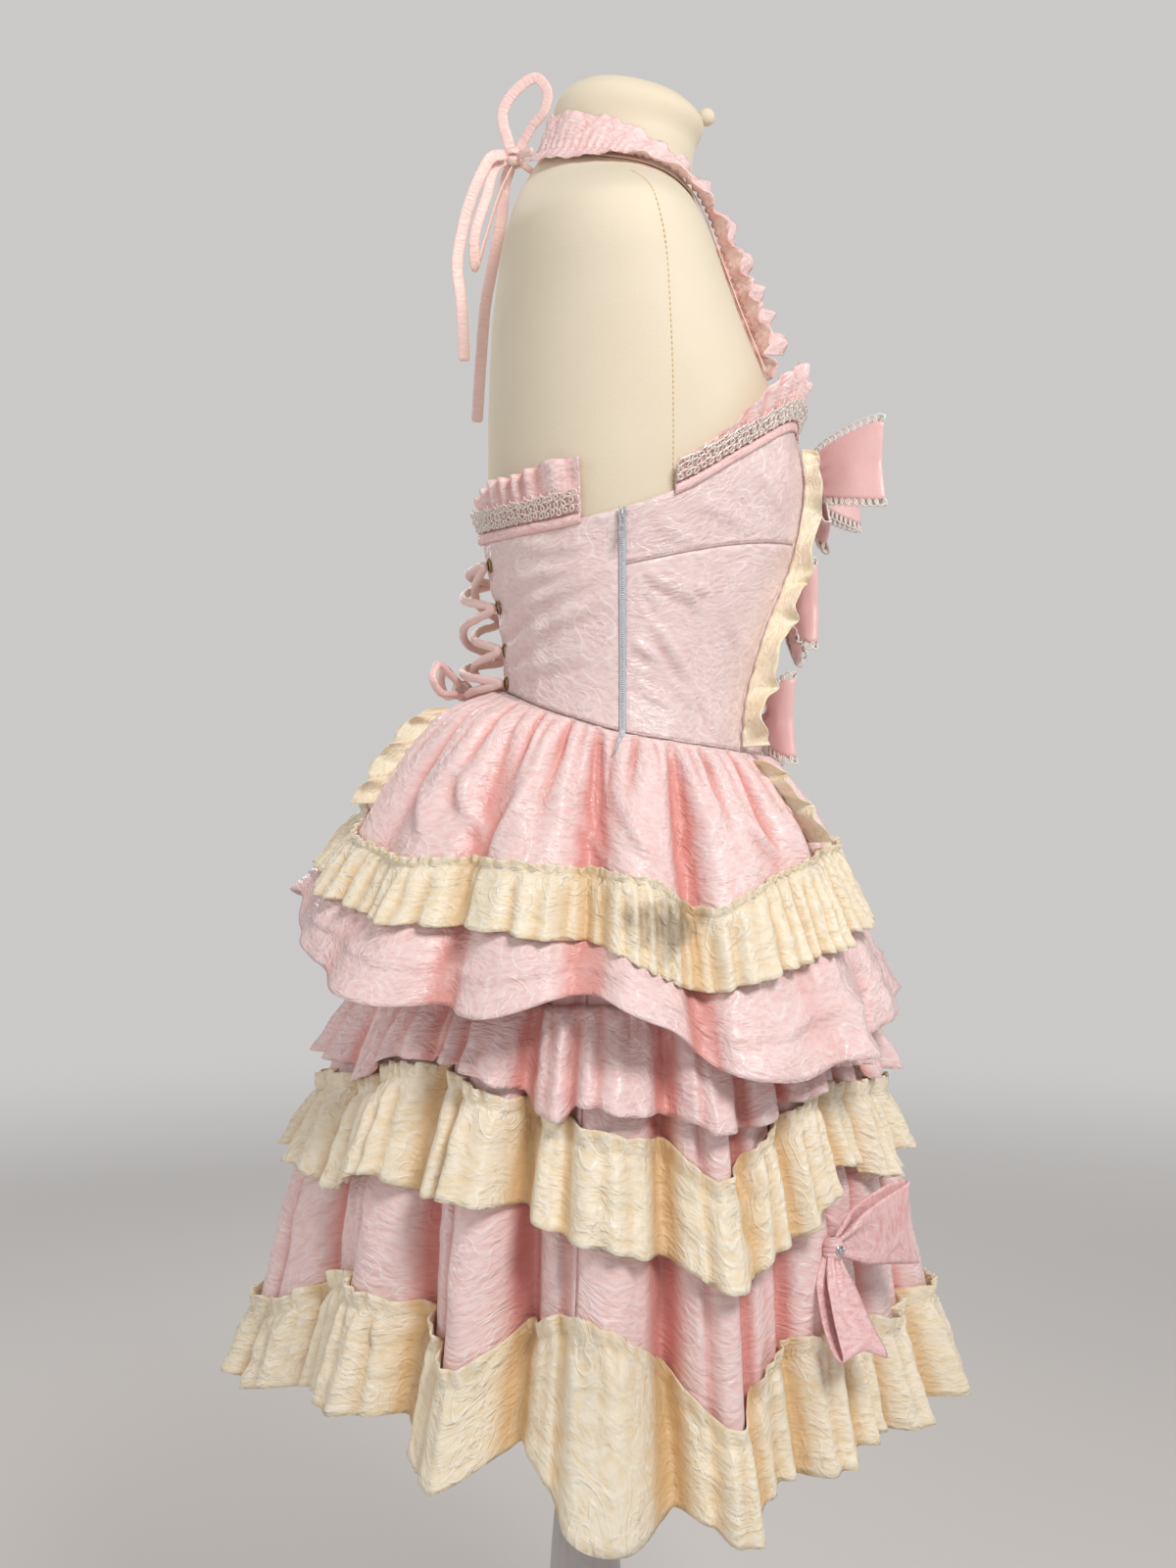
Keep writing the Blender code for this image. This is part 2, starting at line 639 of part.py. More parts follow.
def add_neckline_piece(place, first, last, heights, columns, lean, looks, one_side):
    """The frill, the lace strip in front of its foot and the binding over the seam."""
    azimuth = np.linspace(first, last, columns)[None, :]
    waves = np.cos(np.arange(columns) * math.pi / 2)[None, :]
    edge = top_height(azimuth)
    full = mirrored(heights, azimuth)
    share = np.array([0.0, 0.16, 1.0])[:, None]
    rise = 3 * SEAM_GAP + share * full
    frill = (azimuth + 0 * rise, edge + rise, stand_up(azimuth, rise, lean, waves))
    lace_rise = np.array([0.0048, 0.0190])[:, None] + 0 * azimuth
    lace_radius = stand_up(azimuth, lace_rise, lean, 1 + 0 * waves) + CLOTH + 2 * SEAM_GAP
    lace = (azimuth + 0 * lace_rise, edge + lace_rise, lace_radius)
    band_rise = np.array([-0.0042, 0.0036])[:, None] + 0 * azimuth
    band_height = edge + band_rise
    band_radius = bodice_outer(azimuth, np.minimum(band_height, edge)) + 2 * SEAM_GAP
    band_radius = np.maximum(band_radius, bodice_outer(azimuth, band_height) + 2 * SEAM_GAP)
    band = (azimuth + 0 * band_rise, band_height, band_radius)
    pieces = (("frill", frill, TRIM_CLOTH, "satin"), ("lace", lace, LACE_STRIP, "silver"),
              ("binding", band, BINDING, "satin"))
    for piece, grid, thickness, look in pieces:
        inner = polar_points(grid[0], grid[2], grid[1])
        outer = polar_points(grid[0], grid[2] + thickness, grid[1])
        if one_side:
            add_wall(f"neck_{piece}_{place}", inner, outer, looks[look])
        else:
            for side, grids in each_side((inner, outer)):
                add_wall(f"neck_{piece}_{place}_{side}", *grids, looks[look])


def add_neckline(looks):
    add_neckline_piece("front", 12, 168, FRONT_FRILL_HEIGHT, 33, 0.18, looks, True)
    add_neckline_piece("back", -68.5, -13.5, BACK_FRILL_HEIGHT, 13, 0.10, looks, False)


# The halter: straps with gathered frills, tied behind the neck

def halter_frame(count):
    """Points along the halter's line with the directions out of the form and across the strap."""
    line = np.array(HALTER_LINE, float)
    rough = polar_points(line[:, 0], form_radius(line[:, 0], line[:, 1]), line[:, 1])
    lengths = np.concatenate([[0], np.cumsum(np.linalg.norm(np.diff(rough, axis=0), axis=1))])
    at = np.linspace(0, lengths[-1], count)
    azimuth = smooth(list(zip(lengths, line[:, 0])), at)
    height = smooth(list(zip(lengths, line[:, 1])), at)

    def surface(turn, rise):
        return polar_points(azimuth + turn, form_radius(azimuth + turn, height + rise), height + rise)

    points = surface(0, 0)
    out = np.cross(surface(1, 0) - surface(-1, 0), surface(0, 0.004) - surface(0, -0.004))
    out /= np.linalg.norm(out, axis=1, keepdims=True)
    away = points - np.array([0.0, AXIS_Y, 0.0])
    away[:, 2] = 0
    out *= np.sign(np.sum(out * away, axis=1, keepdims=True))
    forward = np.gradient(points, axis=0)
    forward /= np.linalg.norm(forward, axis=1, keepdims=True)
    across = np.cross(out, forward)
    across *= np.sign(across[-1, 2])
    return points, out, across


def pushed_off_form(points, clearance):
    """The same points, none nearer the form than the clearance."""
    offset = points - np.array([0.0, AXIS_Y, 0.0])
    azimuth = np.degrees(np.arctan2(-offset[..., 1], -offset[..., 0]))
    radius = np.hypot(offset[..., 0], offset[..., 1])
    least = form_radius(azimuth, points[..., 2]) + clearance
    return polar_points(azimuth, np.maximum(radius, least), points[..., 2])


def add_halter(looks):
    count = 29
    points, out, across = halter_frame(count)
    band_widths = (-STRAP_HALF_WIDTH, STRAP_HALF_WIDTH)
    band = np.stack([points + across * width for width in band_widths], axis=1)
    band_inner = pushed_off_form(band, STRAP_CLEARANCE)
    band_outer = pushed_off_form(band_inner + out[:, None] * FRILL_CLOTH, STRAP_CLEARANCE + FRILL_CLOTH)
    waves = np.cos(np.arange(count) * math.pi / 2)[:, None]
    ripples = ((-0.0130, 0.0034, 0.0030), (-0.0035, 0.0, 0.0), (0.0195, 0.0040, 0.0050))
    rows = []
    for width, lift, amplitude in ripples:
        raised = STRAP_CLEARANCE + FRILL_CLOTH + 0.0010 + lift + amplitude * (1 + waves)
        least = STRAP_CLEARANCE + 2 * FRILL_CLOTH + lift + amplitude * (1 + waves[:, 0])
        rows.append((points + across * width + out * raised, least))
    frill_inner = np.stack([pushed_off_form(row, least) for row, least in rows], axis=1)
    frill_outer = pushed_off_form(frill_inner + out[:, None] * TRIM_CLOTH, 0)
    skip = 3
    pieces = (("strap", (band_inner[::2], band_outer[::2])),
              ("strap_frill", (frill_inner[skip:], frill_outer[skip:])))
    for name, right in pieces:
        for side, grids in each_side(right):
            add_wall(f"{name}_{side}", *grids, looks["satin"])

    base = add_ball("halter_knot", HALTER_KNOT, (0.0145, 0.0140, 0.0145), looks["tie"])
    upper_loop = [(0.000, 0.0550, 1.4445), (-0.002, 0.0585, 1.4560), (-0.004, 0.0622, 1.4760),
                  (-0.008, 0.0505, 1.4925), (-0.011, 0.0370, 1.4990), (-0.012, 0.0285, 1.4885),
                  (-0.010, 0.0310, 1.4745), (-0.003, 0.0400, 1.4660), (0.003, 0.0485, 1.4540),
                  (0.004, 0.0535, 1.4450)]
    lower_loop = [(-0.001, 0.0570, 1.4430), (-0.0035, 0.0660, 1.4370), (-0.006, 0.0740, 1.4130),
                  (-0.007, 0.0837, 1.3744), (-0.002, 0.0825, 1.3600), (0.0035, 0.0750, 1.3850),
                  (0.003, 0.0635, 1.4200), (0.001, 0.0535, 1.4395)]
    parts = []
    for name, route, points_in in (("upper_loop", upper_loop, 15), ("lower_loop", lower_loop, 12)):
        tube = add_tube(name, smooth_path(route, points_in), TIE_RADIUS, looks["tie"])
        parts.append(as_mesh_object(tube))
    for side, sign in (("right", -1), ("left", 1)):
        tie = [(sign * 0.0223, 0.0393, 1.4400), (sign * 0.012, 0.0470, 1.4420), (sign * 0.002, 0.0530, 1.4430)]
        parts.append(as_mesh_object(add_tube(f"tie_{side}", smooth_path(tie, 4), TIE_END_RADIUS, looks["tie"])))
    join_solids(base, parts)
    tails = {
        "halter_tail_right": [(-0.0068, 0.0597, 1.4432), (-0.0120, 0.0690, 1.4400), (-0.0150, 0.0780, 1.4250),
                              (-0.0160, 0.0860, 1.4050), (-0.0160, 0.0925, 1.3800), (-0.0165, 0.0956, 1.3589),
                              (-0.0165, 0.0925, 1.3300), (-0.0160, 0.0904, 1.2856)],
        "halter_tail_left": [(0.0072, 0.0570, 1.4395), (0.0125, 0.0610, 1.4300), (0.0140, 0.0640, 1.4026),
                             (0.0150, 0.0700, 1.3707), (0.0160, 0.0765, 1.3359), (0.0165, 0.0795, 1.3011),
                             (0.0165, 0.0830, 1.2470)],
    }
    for name, route in tails.items():
        add_tube(name, smooth_path(route, 12), TIE_RADIUS, looks["tie"])


# The cream frills down the front and the bows

def standing_frill(foot, outward, sideways, width, ripple, count):
    """A frill that stands on a line of points and waves from side to side."""
    waves = np.sin(np.arange(count) * math.pi / 2)[:, None]
    tip = foot + outward * width[:, None] + sideways * ripple * waves
    return np.stack([foot, tip], axis=1)


def line_directions(azimuth):
    angle = np.radians(azimuth)
    outward = np.stack([-np.cos(angle), -np.sin(angle), 0 * angle], axis=1)
    sideways = np.stack([np.sin(angle), -np.cos(angle), 0 * angle], axis=1)
    return outward, sideways


def add_front_frills(looks):
    count = 25
    height = np.linspace(1.215, 0.996, count)
    azimuth = smooth(FRONT_SEAM, height)
    foot = polar_points(azimuth, bodice_outer(azimuth, height) + FRILL_CLOTH, height)
    outward, sideways = line_directions(azimuth)
    width = np.interp(height, (0.99, 1.08, 1.15, 1.22), (0.020, 0.019, 0.013, 0.012))
    frill = standing_frill(foot, outward, sideways, width, 0.007, count)
    for side, (grid,) in each_side((frill,)):
        add_sheet(f"front_frill_{side}", grid, FRILL_CLOTH, looks["cream"])


def bow_loop(name, turn, length, end_height, lift, gap, look):
    """One loop of a bow: a strip that leaves the knot, folds over at its end and comes back."""
    turn = math.radians(turn)
    reach = np.array([0.045, 0.42, 0.92, 1.03, 0.92, 0.42, 0.045])
    half_gap = np.array([0.30, 0.90, 0.85, 0.0, -0.85, -0.90, -0.30]) * gap
    half_height = np.interp(reach, (0, 0.35, 1.0), (0.0036, end_height * 0.30, end_height * 0.5))
    rows = []
    for share, off, half in zip(reach, half_gap, half_height):
        out = lift * share**1.5 + off
        rows.append([(share * length, out, side * half) for side in (-1, 0, 1)])
    grid = np.array(rows)
    ends = grid[:, 1, 0] > 0.9 * length
    grid[ends, 1, 0] -= 0.10 * length
    across, out, up = grid[..., 0].copy(), grid[..., 1].copy(), grid[..., 2].copy()
    grid[..., 0] = across * math.cos(turn) - up * math.sin(turn)
    grid[..., 2] = across * math.sin(turn) + up * math.cos(turn)
    narrow = end_height < 0.05
    return add_sheet(name, grid[:, ::2] if narrow else grid, FRILL_CLOTH, look)


def add_bow(name, knot, facing, loops, look):
    """A bow in the plane that faces an azimuth. Each loop is (turn, length, height, lift, gap)."""
    base = add_ball(name, (0, 0, 0), BOW_KNOT, look)
    parts = []
    for number, (turn, length, end_height, lift, gap) in enumerate(loops):
        parts.append(bow_loop(f"{name}_loop_{number}", turn, length, end_height, lift, gap, look))
    angle = math.radians(facing)
    for part in [base, *parts]:
        points = np.array([vertex.co for vertex in part.data.vertices])
        right = np.array([math.sin(angle), -math.cos(angle), 0.0])
        out = np.array([-math.cos(angle), -math.sin(angle), 0.0])
        placed = np.array(knot) + points[:, :1] * right + points[:, 1:2] * out + points[:, 2:] * (0, 0, 1)
        part.data.vertices.foreach_set("co", placed.ravel())
        shaped = bmesh.new()
        shaped.from_mesh(part.data)
        bmesh.ops.recalc_face_normals(shaped, faces=shaped.faces)
        shaped.to_mesh(part.data)
        shaped.free()
    join_solids(base, parts)


def add_front_bows(looks):
    rows = (
        ("bow_top", 1.198, ((5, 0.056, 0.058, 0.042, 0.0055), (174, 0.056, 0.058, 0.041, 0.0052),
                            (-60, 0.048, 0.024, 0.010, 0.0036), (-119, 0.047, 0.024, 0.009, 0.0033))),
        ("bow_middle", 1.100, ((3, 0.036, 0.058, 0.014, 0.0055), (176, 0.036, 0.058, 0.013, 0.0052),
                               (-60, 0.036, 0.021, 0.005, 0.0036), (-119, 0.035, 0.021, 0.004, 0.0033))),
        ("bow_bottom", 1.016, ((3, 0.036, 0.058, 0.012, 0.0055), (176, 0.036, 0.058, 0.011, 0.0052))),
    )
    for name, height, loops in rows:
        radius = float(bodice_outer(90, height)) + BOW_CLEARANCE
        add_bow(name, polar_points(90, radius, height), 90, loops, looks["satin"])


# The overskirt, its band and its flounce

def overskirt_inner(azimuth, height):
    below = np.clip(waist_height(azimuth) - height, 0, None)
    mean = read_sections(OVERSKIRT_PROFILE, azimuth, below)
    full = np.clip(below / 0.05, 0, 1)
    folds = OVERSKIRT_FOLD_DEPTH * full * (1 + np.cos(np.radians(OVERSKIRT_FOLDS * azimuth)))
    deep = sum(depth * full * np.exp(-((azimuth - place) / wide) ** 2)
               for place, wide, depth in OVERSKIRT_DEEP_FOLDS)
    return np.maximum(mean + folds - deep, skirt_radius(azimuth, height) + SKIRT_CLOTH + 0.0012 + 0.002 * full)


def overskirt_line(azimuth, column):
    return smooth(OVERSKIRT_LINES, azimuth, column, 360)


def add_overskirt(looks):
    azimuth = np.linspace(-90, 270, OVERSKIRT_COLUMNS, endpoint=False)[None, :]
    band_top = overskirt_line(azimuth, 1)
    band_bottom = overskirt_line(azimuth, 2)
    flounce_bottom = overskirt_line(azimuth, 3)
    seam = band_bottom + 0.013
    waist = waist_height(azimuth) - SEAM_GAP
    share = np.array([0.0, 0.12, 0.48, 1.0])[:, None]
    height = waist * (1 - share) + seam * share
    wide = azimuth + 0 * height
    add_radial_wall("overskirt", wide, height, overskirt_inner(wide, height), CLOTH, looks["jacquard"], True)

    waves = 1 + np.cos(np.radians(OVERSKIRT_FOLDS * azimuth))
    outer = overskirt_inner(azimuth, band_top) + CLOTH + LAYER_CLEARANCE
    rows = ((band_top + 0.007, 0.0035 + 0.0010 * waves), (band_top, 0.0003 + 0 * waves),
            (band_bottom, 0.0060 + 0.0040 * waves))
    height = np.concatenate([row[0] for row in rows])
    wide = azimuth + 0 * height
    radius = overskirt_inner(wide, height) + CLOTH + LAYER_CLEARANCE + np.concatenate([row[1] for row in rows])
    radius[0] = np.maximum(radius[0], outer[0] - 0.002)
    add_radial_wall("overskirt_band", wide, height, radius, CLOTH, looks["cream"], True)

    broad = 1 + np.cos(np.radians(FLOUNCE_WAVES * azimuth + 40))
    rows = ((seam - SEAM_GAP, 0 * broad), (band_bottom - 0.004, 0.0030 + 0 * broad),
            (flounce_bottom, 0.028 + 0.008 * broad))
    height = np.concatenate([row[0] for row in rows])
    wide = azimuth + 0 * height
    radius = overskirt_inner(wide, np.maximum(height, band_bottom)) + np.concatenate([row[1] for row in rows])
    radius[2:] = np.maximum(radius[2:], frill_outer_limit(wide[2:], height[2:]) + 0.004)
    add_radial_wall("overskirt_flounce", wide, height, radius, CLOTH, looks["jacquard"], True)

    count = 13
    for place, line in OVERSKIRT_FRILLS.items():
        below = np.linspace(line[0][0], line[-1][0], count)
        turn = smooth(line, below)
        height = waist_height(turn) - below
        foot = polar_points(turn, overskirt_inner(turn, height) + CLOTH + 0.0019, height)
        outward, sideways = line_directions(turn)
        frill = standing_frill(foot, outward, sideways, 0.018 + 0 * below, 0.0055, count)
        for side, (grid,) in each_side((frill,)):
            add_sheet(f"overskirt_{place}_frill_{side}", grid, FRILL_CLOTH, looks["cream"])


# The skirt and its frills

def skirt_outer(azimuth, height):
    return skirt_radius(azimuth, height) + SKIRT_CLOTH


def frill_outer_limit(azimuth, height):
    """The farthest that the pink frill reaches from the axis."""
    return skirt_outer(azimuth, height) + LAYER_CLEARANCE + SKIRT_CLOTH + PINK_FRILL_REACH


def add_skirt(looks):
    step = 360 / RING_COLUMNS
    ring = step * (SIDE_SEAM_COLUMN + np.arange(RING_COLUMNS + 1))
    share = np.array([0.0, 0.13, 0.32, 0.55, 1.0])[:, None]
    for name, azimuth in (("skirt_front", ring[:FRONT_PANEL_COLUMNS + 1]),
                          ("skirt_back", ring[FRONT_PANEL_COLUMNS:])):
        azimuth = azimuth.copy()[None, :]
        azimuth[0, 0] += SEAM_TURN
        azimuth[0, -1] -= SEAM_TURN
        waist = waist_height(azimuth) - SEAM_GAP
        edge = smooth(SKIRT_FLUTES, azimuth, 2, 360)
        height = waist * (1 - share) + edge * share
        wide = azimuth + 0 * height
        add_radial_wall(name, wide, height, skirt_radius(wide, height), SKIRT_CLOTH, looks["jacquard"])


def add_skirt_frills(looks):
    azimuth = (np.arange(RING_COLUMNS) * 360 / RING_COLUMNS - 90)[None, :]
    waves = 1 + np.cos(np.radians(SKIRT_FRILL_WAVES * azimuth))
    uneven = 0.75 + 0.25 * np.cos(np.radians(5 * azimuth + 30))
    cream_top = smooth(FRILL_LINES, azimuth, 3, 360)
    frills = (
        ("skirt_frill_pink", 1, 2, 0.0, 0.0010, 0.009, 0.0032, "jacquard"),
        ("skirt_frill_cream", 3, 4, 0.012, -0.0006, 0.010, 0.0048, "cream"),
        ("hem_frill_cream", 5, 6, 0.012, 0.0004, 0.010, 0.0052, "cream"),
    )
    for name, top_column, hem_column, heading, seat, flare, amplitude, look in frills:
        top = smooth(FRILL_LINES, azimuth, top_column, 360)
        hem = smooth(FRILL_LINES, azimuth, hem_column, 360)
        if name == "skirt_frill_pink":
            hem = np.maximum(hem, cream_top + 0.007)
        stitched = top - heading
        ripple = amplitude * uneven * waves
        rows = []
        if heading:
            rows.append((top, 0.0028 + 0.25 * ripple))
        rows.append((stitched, seat + 0 * waves))
        rows.append((hem, flare + ripple))
        height = np.concatenate([row[0] for row in rows])
        wide = azimuth + 0 * height
        radius = skirt_outer(wide, height) + LAYER_CLEARANCE + np.concatenate([row[1] for row in rows])
        add_radial_wall(name, wide, height, radius, SKIRT_CLOTH, looks[look], True)


def add_skirt_bows(looks):
    """A soft bow on the skirt's right front, one loop drooping, and its twin on the left."""
    for side, facing, turns in (("right", 40.5, (10, -98)), ("left", 144, (170, -82))):
        radius = float(skirt_outer(facing, SKIRT_BOW_HEIGHT)) + SKIRT_BOW_CLEARANCE
        loops = ((turns[0], 0.062, 0.058, 0.014, 0.0065), (turns[1], 0.062, 0.044, 0.031, 0.0058))
        knot = polar_points(facing, radius, SKIRT_BOW_HEIGHT)
        add_bow(f"skirt_bow_{side}", knot, facing, loops, looks["satin"])


def build():
    for thing in list(bpy.data.objects):
        bpy.data.objects.remove(thing)
    looks = {
        "jersey": material("jersey", (238, 228, 200), 0.85),
        "stand": material("stand", (190, 187, 186), 0.45),
        "jacquard": material("pink jacquard", (244, 214, 214), 0.45),
        "satin": material("pink satin", (236, 190, 190), 0.40),
        "tie": material("tie cloth", (240, 200, 198), 0.50),
        "cream": material("cream jacquard", (240, 228, 195), 0.60),
        "silver": material("silver lace", (215, 212, 205), 0.50),
        "zip": material("zip tape", (175, 180, 185), 0.50),
        "metal": material("zip metal", (190, 192, 195), 0.30, 1.0),
        "brass": material("eyelet brass", (150, 120, 85), 0.35, 1.0),
    }
    add_form(looks)
    add_bodice(looks)
    add_zip(looks)
    add_lacing(looks)
    add_neckline(looks)
    add_halter(looks)
    add_front_frills(looks)
    add_front_bows(looks)
    add_overskirt(looks)
    add_skirt(looks)
    add_skirt_frills(looks)
    add_skirt_bows(looks)


build()
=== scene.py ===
"""The looks of a corset party dress with a tiered, ruffled skirt, worn by a limbless dress form on its stand.

Metres, +Z up. The wearer faces -Y, so the wearer's right is -X. An azimuth runs from the wearer's right (0)
over the front (90) to the left (180) and the back (270 or -90), round a line at AXIS_Y.
"""

import math

import bmesh
import bpy
import numpy as np
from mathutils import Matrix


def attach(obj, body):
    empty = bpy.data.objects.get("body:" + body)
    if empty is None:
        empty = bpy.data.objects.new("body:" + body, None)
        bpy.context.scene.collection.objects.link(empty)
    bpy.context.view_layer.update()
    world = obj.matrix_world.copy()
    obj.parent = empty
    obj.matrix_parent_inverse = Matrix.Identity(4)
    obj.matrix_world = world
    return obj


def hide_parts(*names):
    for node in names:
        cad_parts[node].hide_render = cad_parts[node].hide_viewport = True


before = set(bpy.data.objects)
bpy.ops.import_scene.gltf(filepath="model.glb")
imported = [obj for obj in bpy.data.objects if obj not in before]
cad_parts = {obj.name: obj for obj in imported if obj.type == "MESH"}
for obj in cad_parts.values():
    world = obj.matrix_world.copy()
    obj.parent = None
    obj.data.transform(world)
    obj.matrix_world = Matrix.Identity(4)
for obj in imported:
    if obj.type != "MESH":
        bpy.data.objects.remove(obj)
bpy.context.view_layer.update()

# The studio: a camera level with the lower skirt's top, a plain pale floor and wide soft lights all round.
camera = bpy.data.objects.new("camera", bpy.data.cameras.new("camera"))
camera.data.sensor_fit = "VERTICAL"
camera.data.sensor_height = 36
camera.data.lens = 38.88
camera.location = (-1.28, -0.002, 0.97)
camera.rotation_euler = (math.radians(90), 0, math.radians(-90))
bpy.context.scene.collection.objects.link(camera)
bpy.context.scene.camera = camera
bpy.context.scene.view_settings.view_transform = "Standard"

floor_material = bpy.data.materials.new("pale floor")
floor_material.use_nodes = True
floor_shader = floor_material.node_tree.nodes["Principled BSDF"]
floor_shader.inputs["Base Color"].default_value = (0.72, 0.705, 0.69, 1)
floor_shader.inputs["Roughness"].default_value = 0.9
floor_nodes = floor_material.node_tree.nodes
floor_links = floor_material.node_tree.links
far_floor = floor_nodes.new("ShaderNodeEmission")
far_floor.inputs["Color"].default_value = (0.60, 0.585, 0.575, 1)
floor_place = floor_nodes.new("ShaderNodeTexCoord")
from_stand = floor_nodes.new("ShaderNodeVectorMath")
from_stand.operation = "LENGTH"
floor_fade = floor_nodes.new("ShaderNodeMapRange")
floor_fade.interpolation_type = "SMOOTHSTEP"
floor_fade.inputs["From Min"].default_value = 0.9
floor_fade.inputs["From Max"].default_value = 5.0
floor_choice = floor_nodes.new("ShaderNodeMixShader")
floor_links.new(floor_place.outputs["Object"], from_stand.inputs[0])
floor_links.new(from_stand.outputs["Value"], floor_fade.inputs["Value"])
floor_links.new(floor_fade.outputs["Result"], floor_choice.inputs[0])
floor_links.new(floor_shader.outputs[0], floor_choice.inputs[1])
floor_links.new(far_floor.outputs[0], floor_choice.inputs[2])
floor_links.new(floor_choice.outputs[0], floor_nodes["Material Output"].inputs["Surface"])
bpy.ops.mesh.primitive_plane_add(size=24, location=(0, 0, -0.0004))
floor = bpy.context.object
floor.name = "studio_floor"
floor.data.materials.append(floor_material)

world = bpy.data.worlds.new("studio")
bpy.context.scene.world = world
world.use_nodes = True
world_nodes = world.node_tree.nodes
world_light = world_nodes["Background"]
world_light.inputs["Color"].default_value = (1.0, 0.96, 0.94, 1)
world_light.inputs["Strength"].default_value = 0.29
seen_backdrop = world_nodes.new("ShaderNodeBackground")
seen_backdrop.inputs["Color"].default_value = (0.60, 0.585, 0.575, 1)
ray = world_nodes.new("ShaderNodeLightPath")
choice = world_nodes.new("ShaderNodeMixShader")
world.node_tree.links.new(ray.outputs["Is Camera Ray"], choice.inputs[0])
world.node_tree.links.new(world_light.outputs[0], choice.inputs[1])
world.node_tree.links.new(seen_backdrop.outputs[0], choice.inputs[2])
world.node_tree.links.new(choice.outputs[0], world_nodes["World Output"].inputs["Surface"])

soft_lights = {
    "key": ((-1.5, -0.7, 2.2), 0.6, 27),
    "side_fill": ((-1.9, 1.0, 1.2), 1.2, 4),
    "front": ((0.5, -2.3, 1.8), 1.4, 10),
    "left": ((2.3, 0.6, 1.9), 1.2, 20),
    "back": ((-0.3, 2.4, 1.9), 1.3, 11),
}
for light_name, (place, size, power) in soft_lights.items():
    lamp = bpy.data.lights.new(light_name, "AREA")
    lamp.size = size
    lamp.energy = power
    lamp.color = (1.0, 0.965, 0.94)
    light = bpy.data.objects.new(light_name, lamp)
    light.location = place
    aim = np.array([0, -0.03, 0.98]) - np.array(place)
    tilt = math.acos(-aim[2] / np.linalg.norm(aim))
    light.rotation_euler = (tilt, 0, math.atan2(aim[1], aim[0]) - math.pi / 2)
    bpy.context.scene.collection.objects.link(light)

# The dress form: a foam torso cut off at the shoulders, the neck and the hips, covered with cream knitted
# jersey. The cover is sewn in panels: a stitched seam runs up each side from the bust to the shoulder.
AXIS_Y = -0.030
FORM_SECTIONS = (  # height, back y, front y, half width
    (0.785, 0.040, -0.085, 0.105), (0.792, 0.062, -0.104, 0.128), (0.815, 0.077, -0.116, 0.140),
    (0.870, 0.085, -0.125, 0.146), (0.930, 0.080, -0.128, 0.143), (0.990, 0.068, -0.129, 0.130),
    (1.030, 0.061, -0.129, 0.123), (1.070, 0.062, -0.137, 0.125), (1.110, 0.067, -0.147, 0.132),
    (1.150, 0.071, -0.157, 0.140), (1.190, 0.073, -0.161, 0.147), (1.230, 0.073, -0.153, 0.152),
    (1.270, 0.072, -0.134, 0.158), (1.310, 0.070, -0.116, 0.165), (1.345, 0.066, -0.102, 0.169),
    (1.367, 0.063, -0.094, 0.160), (1.385, 0.059, -0.088, 0.130), (1.402, 0.054, -0.083, 0.094),
    (1.422, 0.045, -0.080, 0.062), (1.450, 0.028, -0.082, 0.052), (1.482, 0.016, -0.085, 0.050),
    (1.487, 0.010, -0.079, 0.044),
)
FORM_SEAM = ((1.15, 12.0), (1.28, 10.0), (1.34, 7.5), (1.375, 4.0), (1.392, 1.0))  # height, azimuth


def smooth(table, at, column=1, turn=None):
    """A smooth curve through a table's first column and the given one, read at each value of `at`."""
    rows = np.array(sorted(table), float)
    knots = rows[:, 0]
    values = rows[:, column]
    if turn:
        knots = np.concatenate([knots[-2:] - turn, knots, knots[:2] + turn])
        values = np.concatenate([values[-2:], values, values[:2]])
        at = knots[2] + np.mod(np.asarray(at, float) - knots[2], turn)
    at = np.clip(at, knots[0], knots[-1])
    slopes = np.gradient(values, knots)
    low = np.clip(np.searchsorted(knots, at, side="right") - 1, 0, len(knots) - 2)
    step = knots[low + 1] - knots[low]
    t = (at - knots[low]) / step
    start = (2 * t**3 - 3 * t**2 + 1) * values[low] + (t**3 - 2 * t**2 + t) * step * slopes[low]
    end = (3 * t**2 - 2 * t**3) * values[low + 1] + (t**3 - t**2) * step * slopes[low + 1]
    return start + end


def section_radius(table, azimuth, at):
    """Distance from the body's line to an egg-shaped section of a table of back y, front y and half width."""
    back, front, half_width = (smooth(table, at, column) for column in (1, 2, 3))
    angle = np.radians(azimuth)
    depth = np.where(np.sin(angle) > 0, AXIS_Y - front, back - AXIS_Y)
    return half_width * depth / np.hypot(depth * np.cos(angle), half_width * np.sin(angle))


def form_radius(azimuth, height):
    return section_radius(FORM_SECTIONS, azimuth, height)


def polar_points(azimuth, radius, height):
    azimuth, radius, height = np.broadcast_arrays(azimuth, radius, height)
    angle = np.radians(azimuth)
    return np.stack([-radius * np.cos(angle), AXIS_Y - radius * np.sin(angle), height], axis=-1)


def flat_size(grid, ring):
    """The mean width and length of a grid of points, measured over the surface: the cloth as it was cut."""
    closed = np.concatenate([grid, grid[:, :1]], axis=1) if ring else grid
    across = np.linalg.norm(np.diff(closed, axis=1), axis=2)
    along = np.linalg.norm(np.diff(closed, axis=0), axis=2)
    return across, along


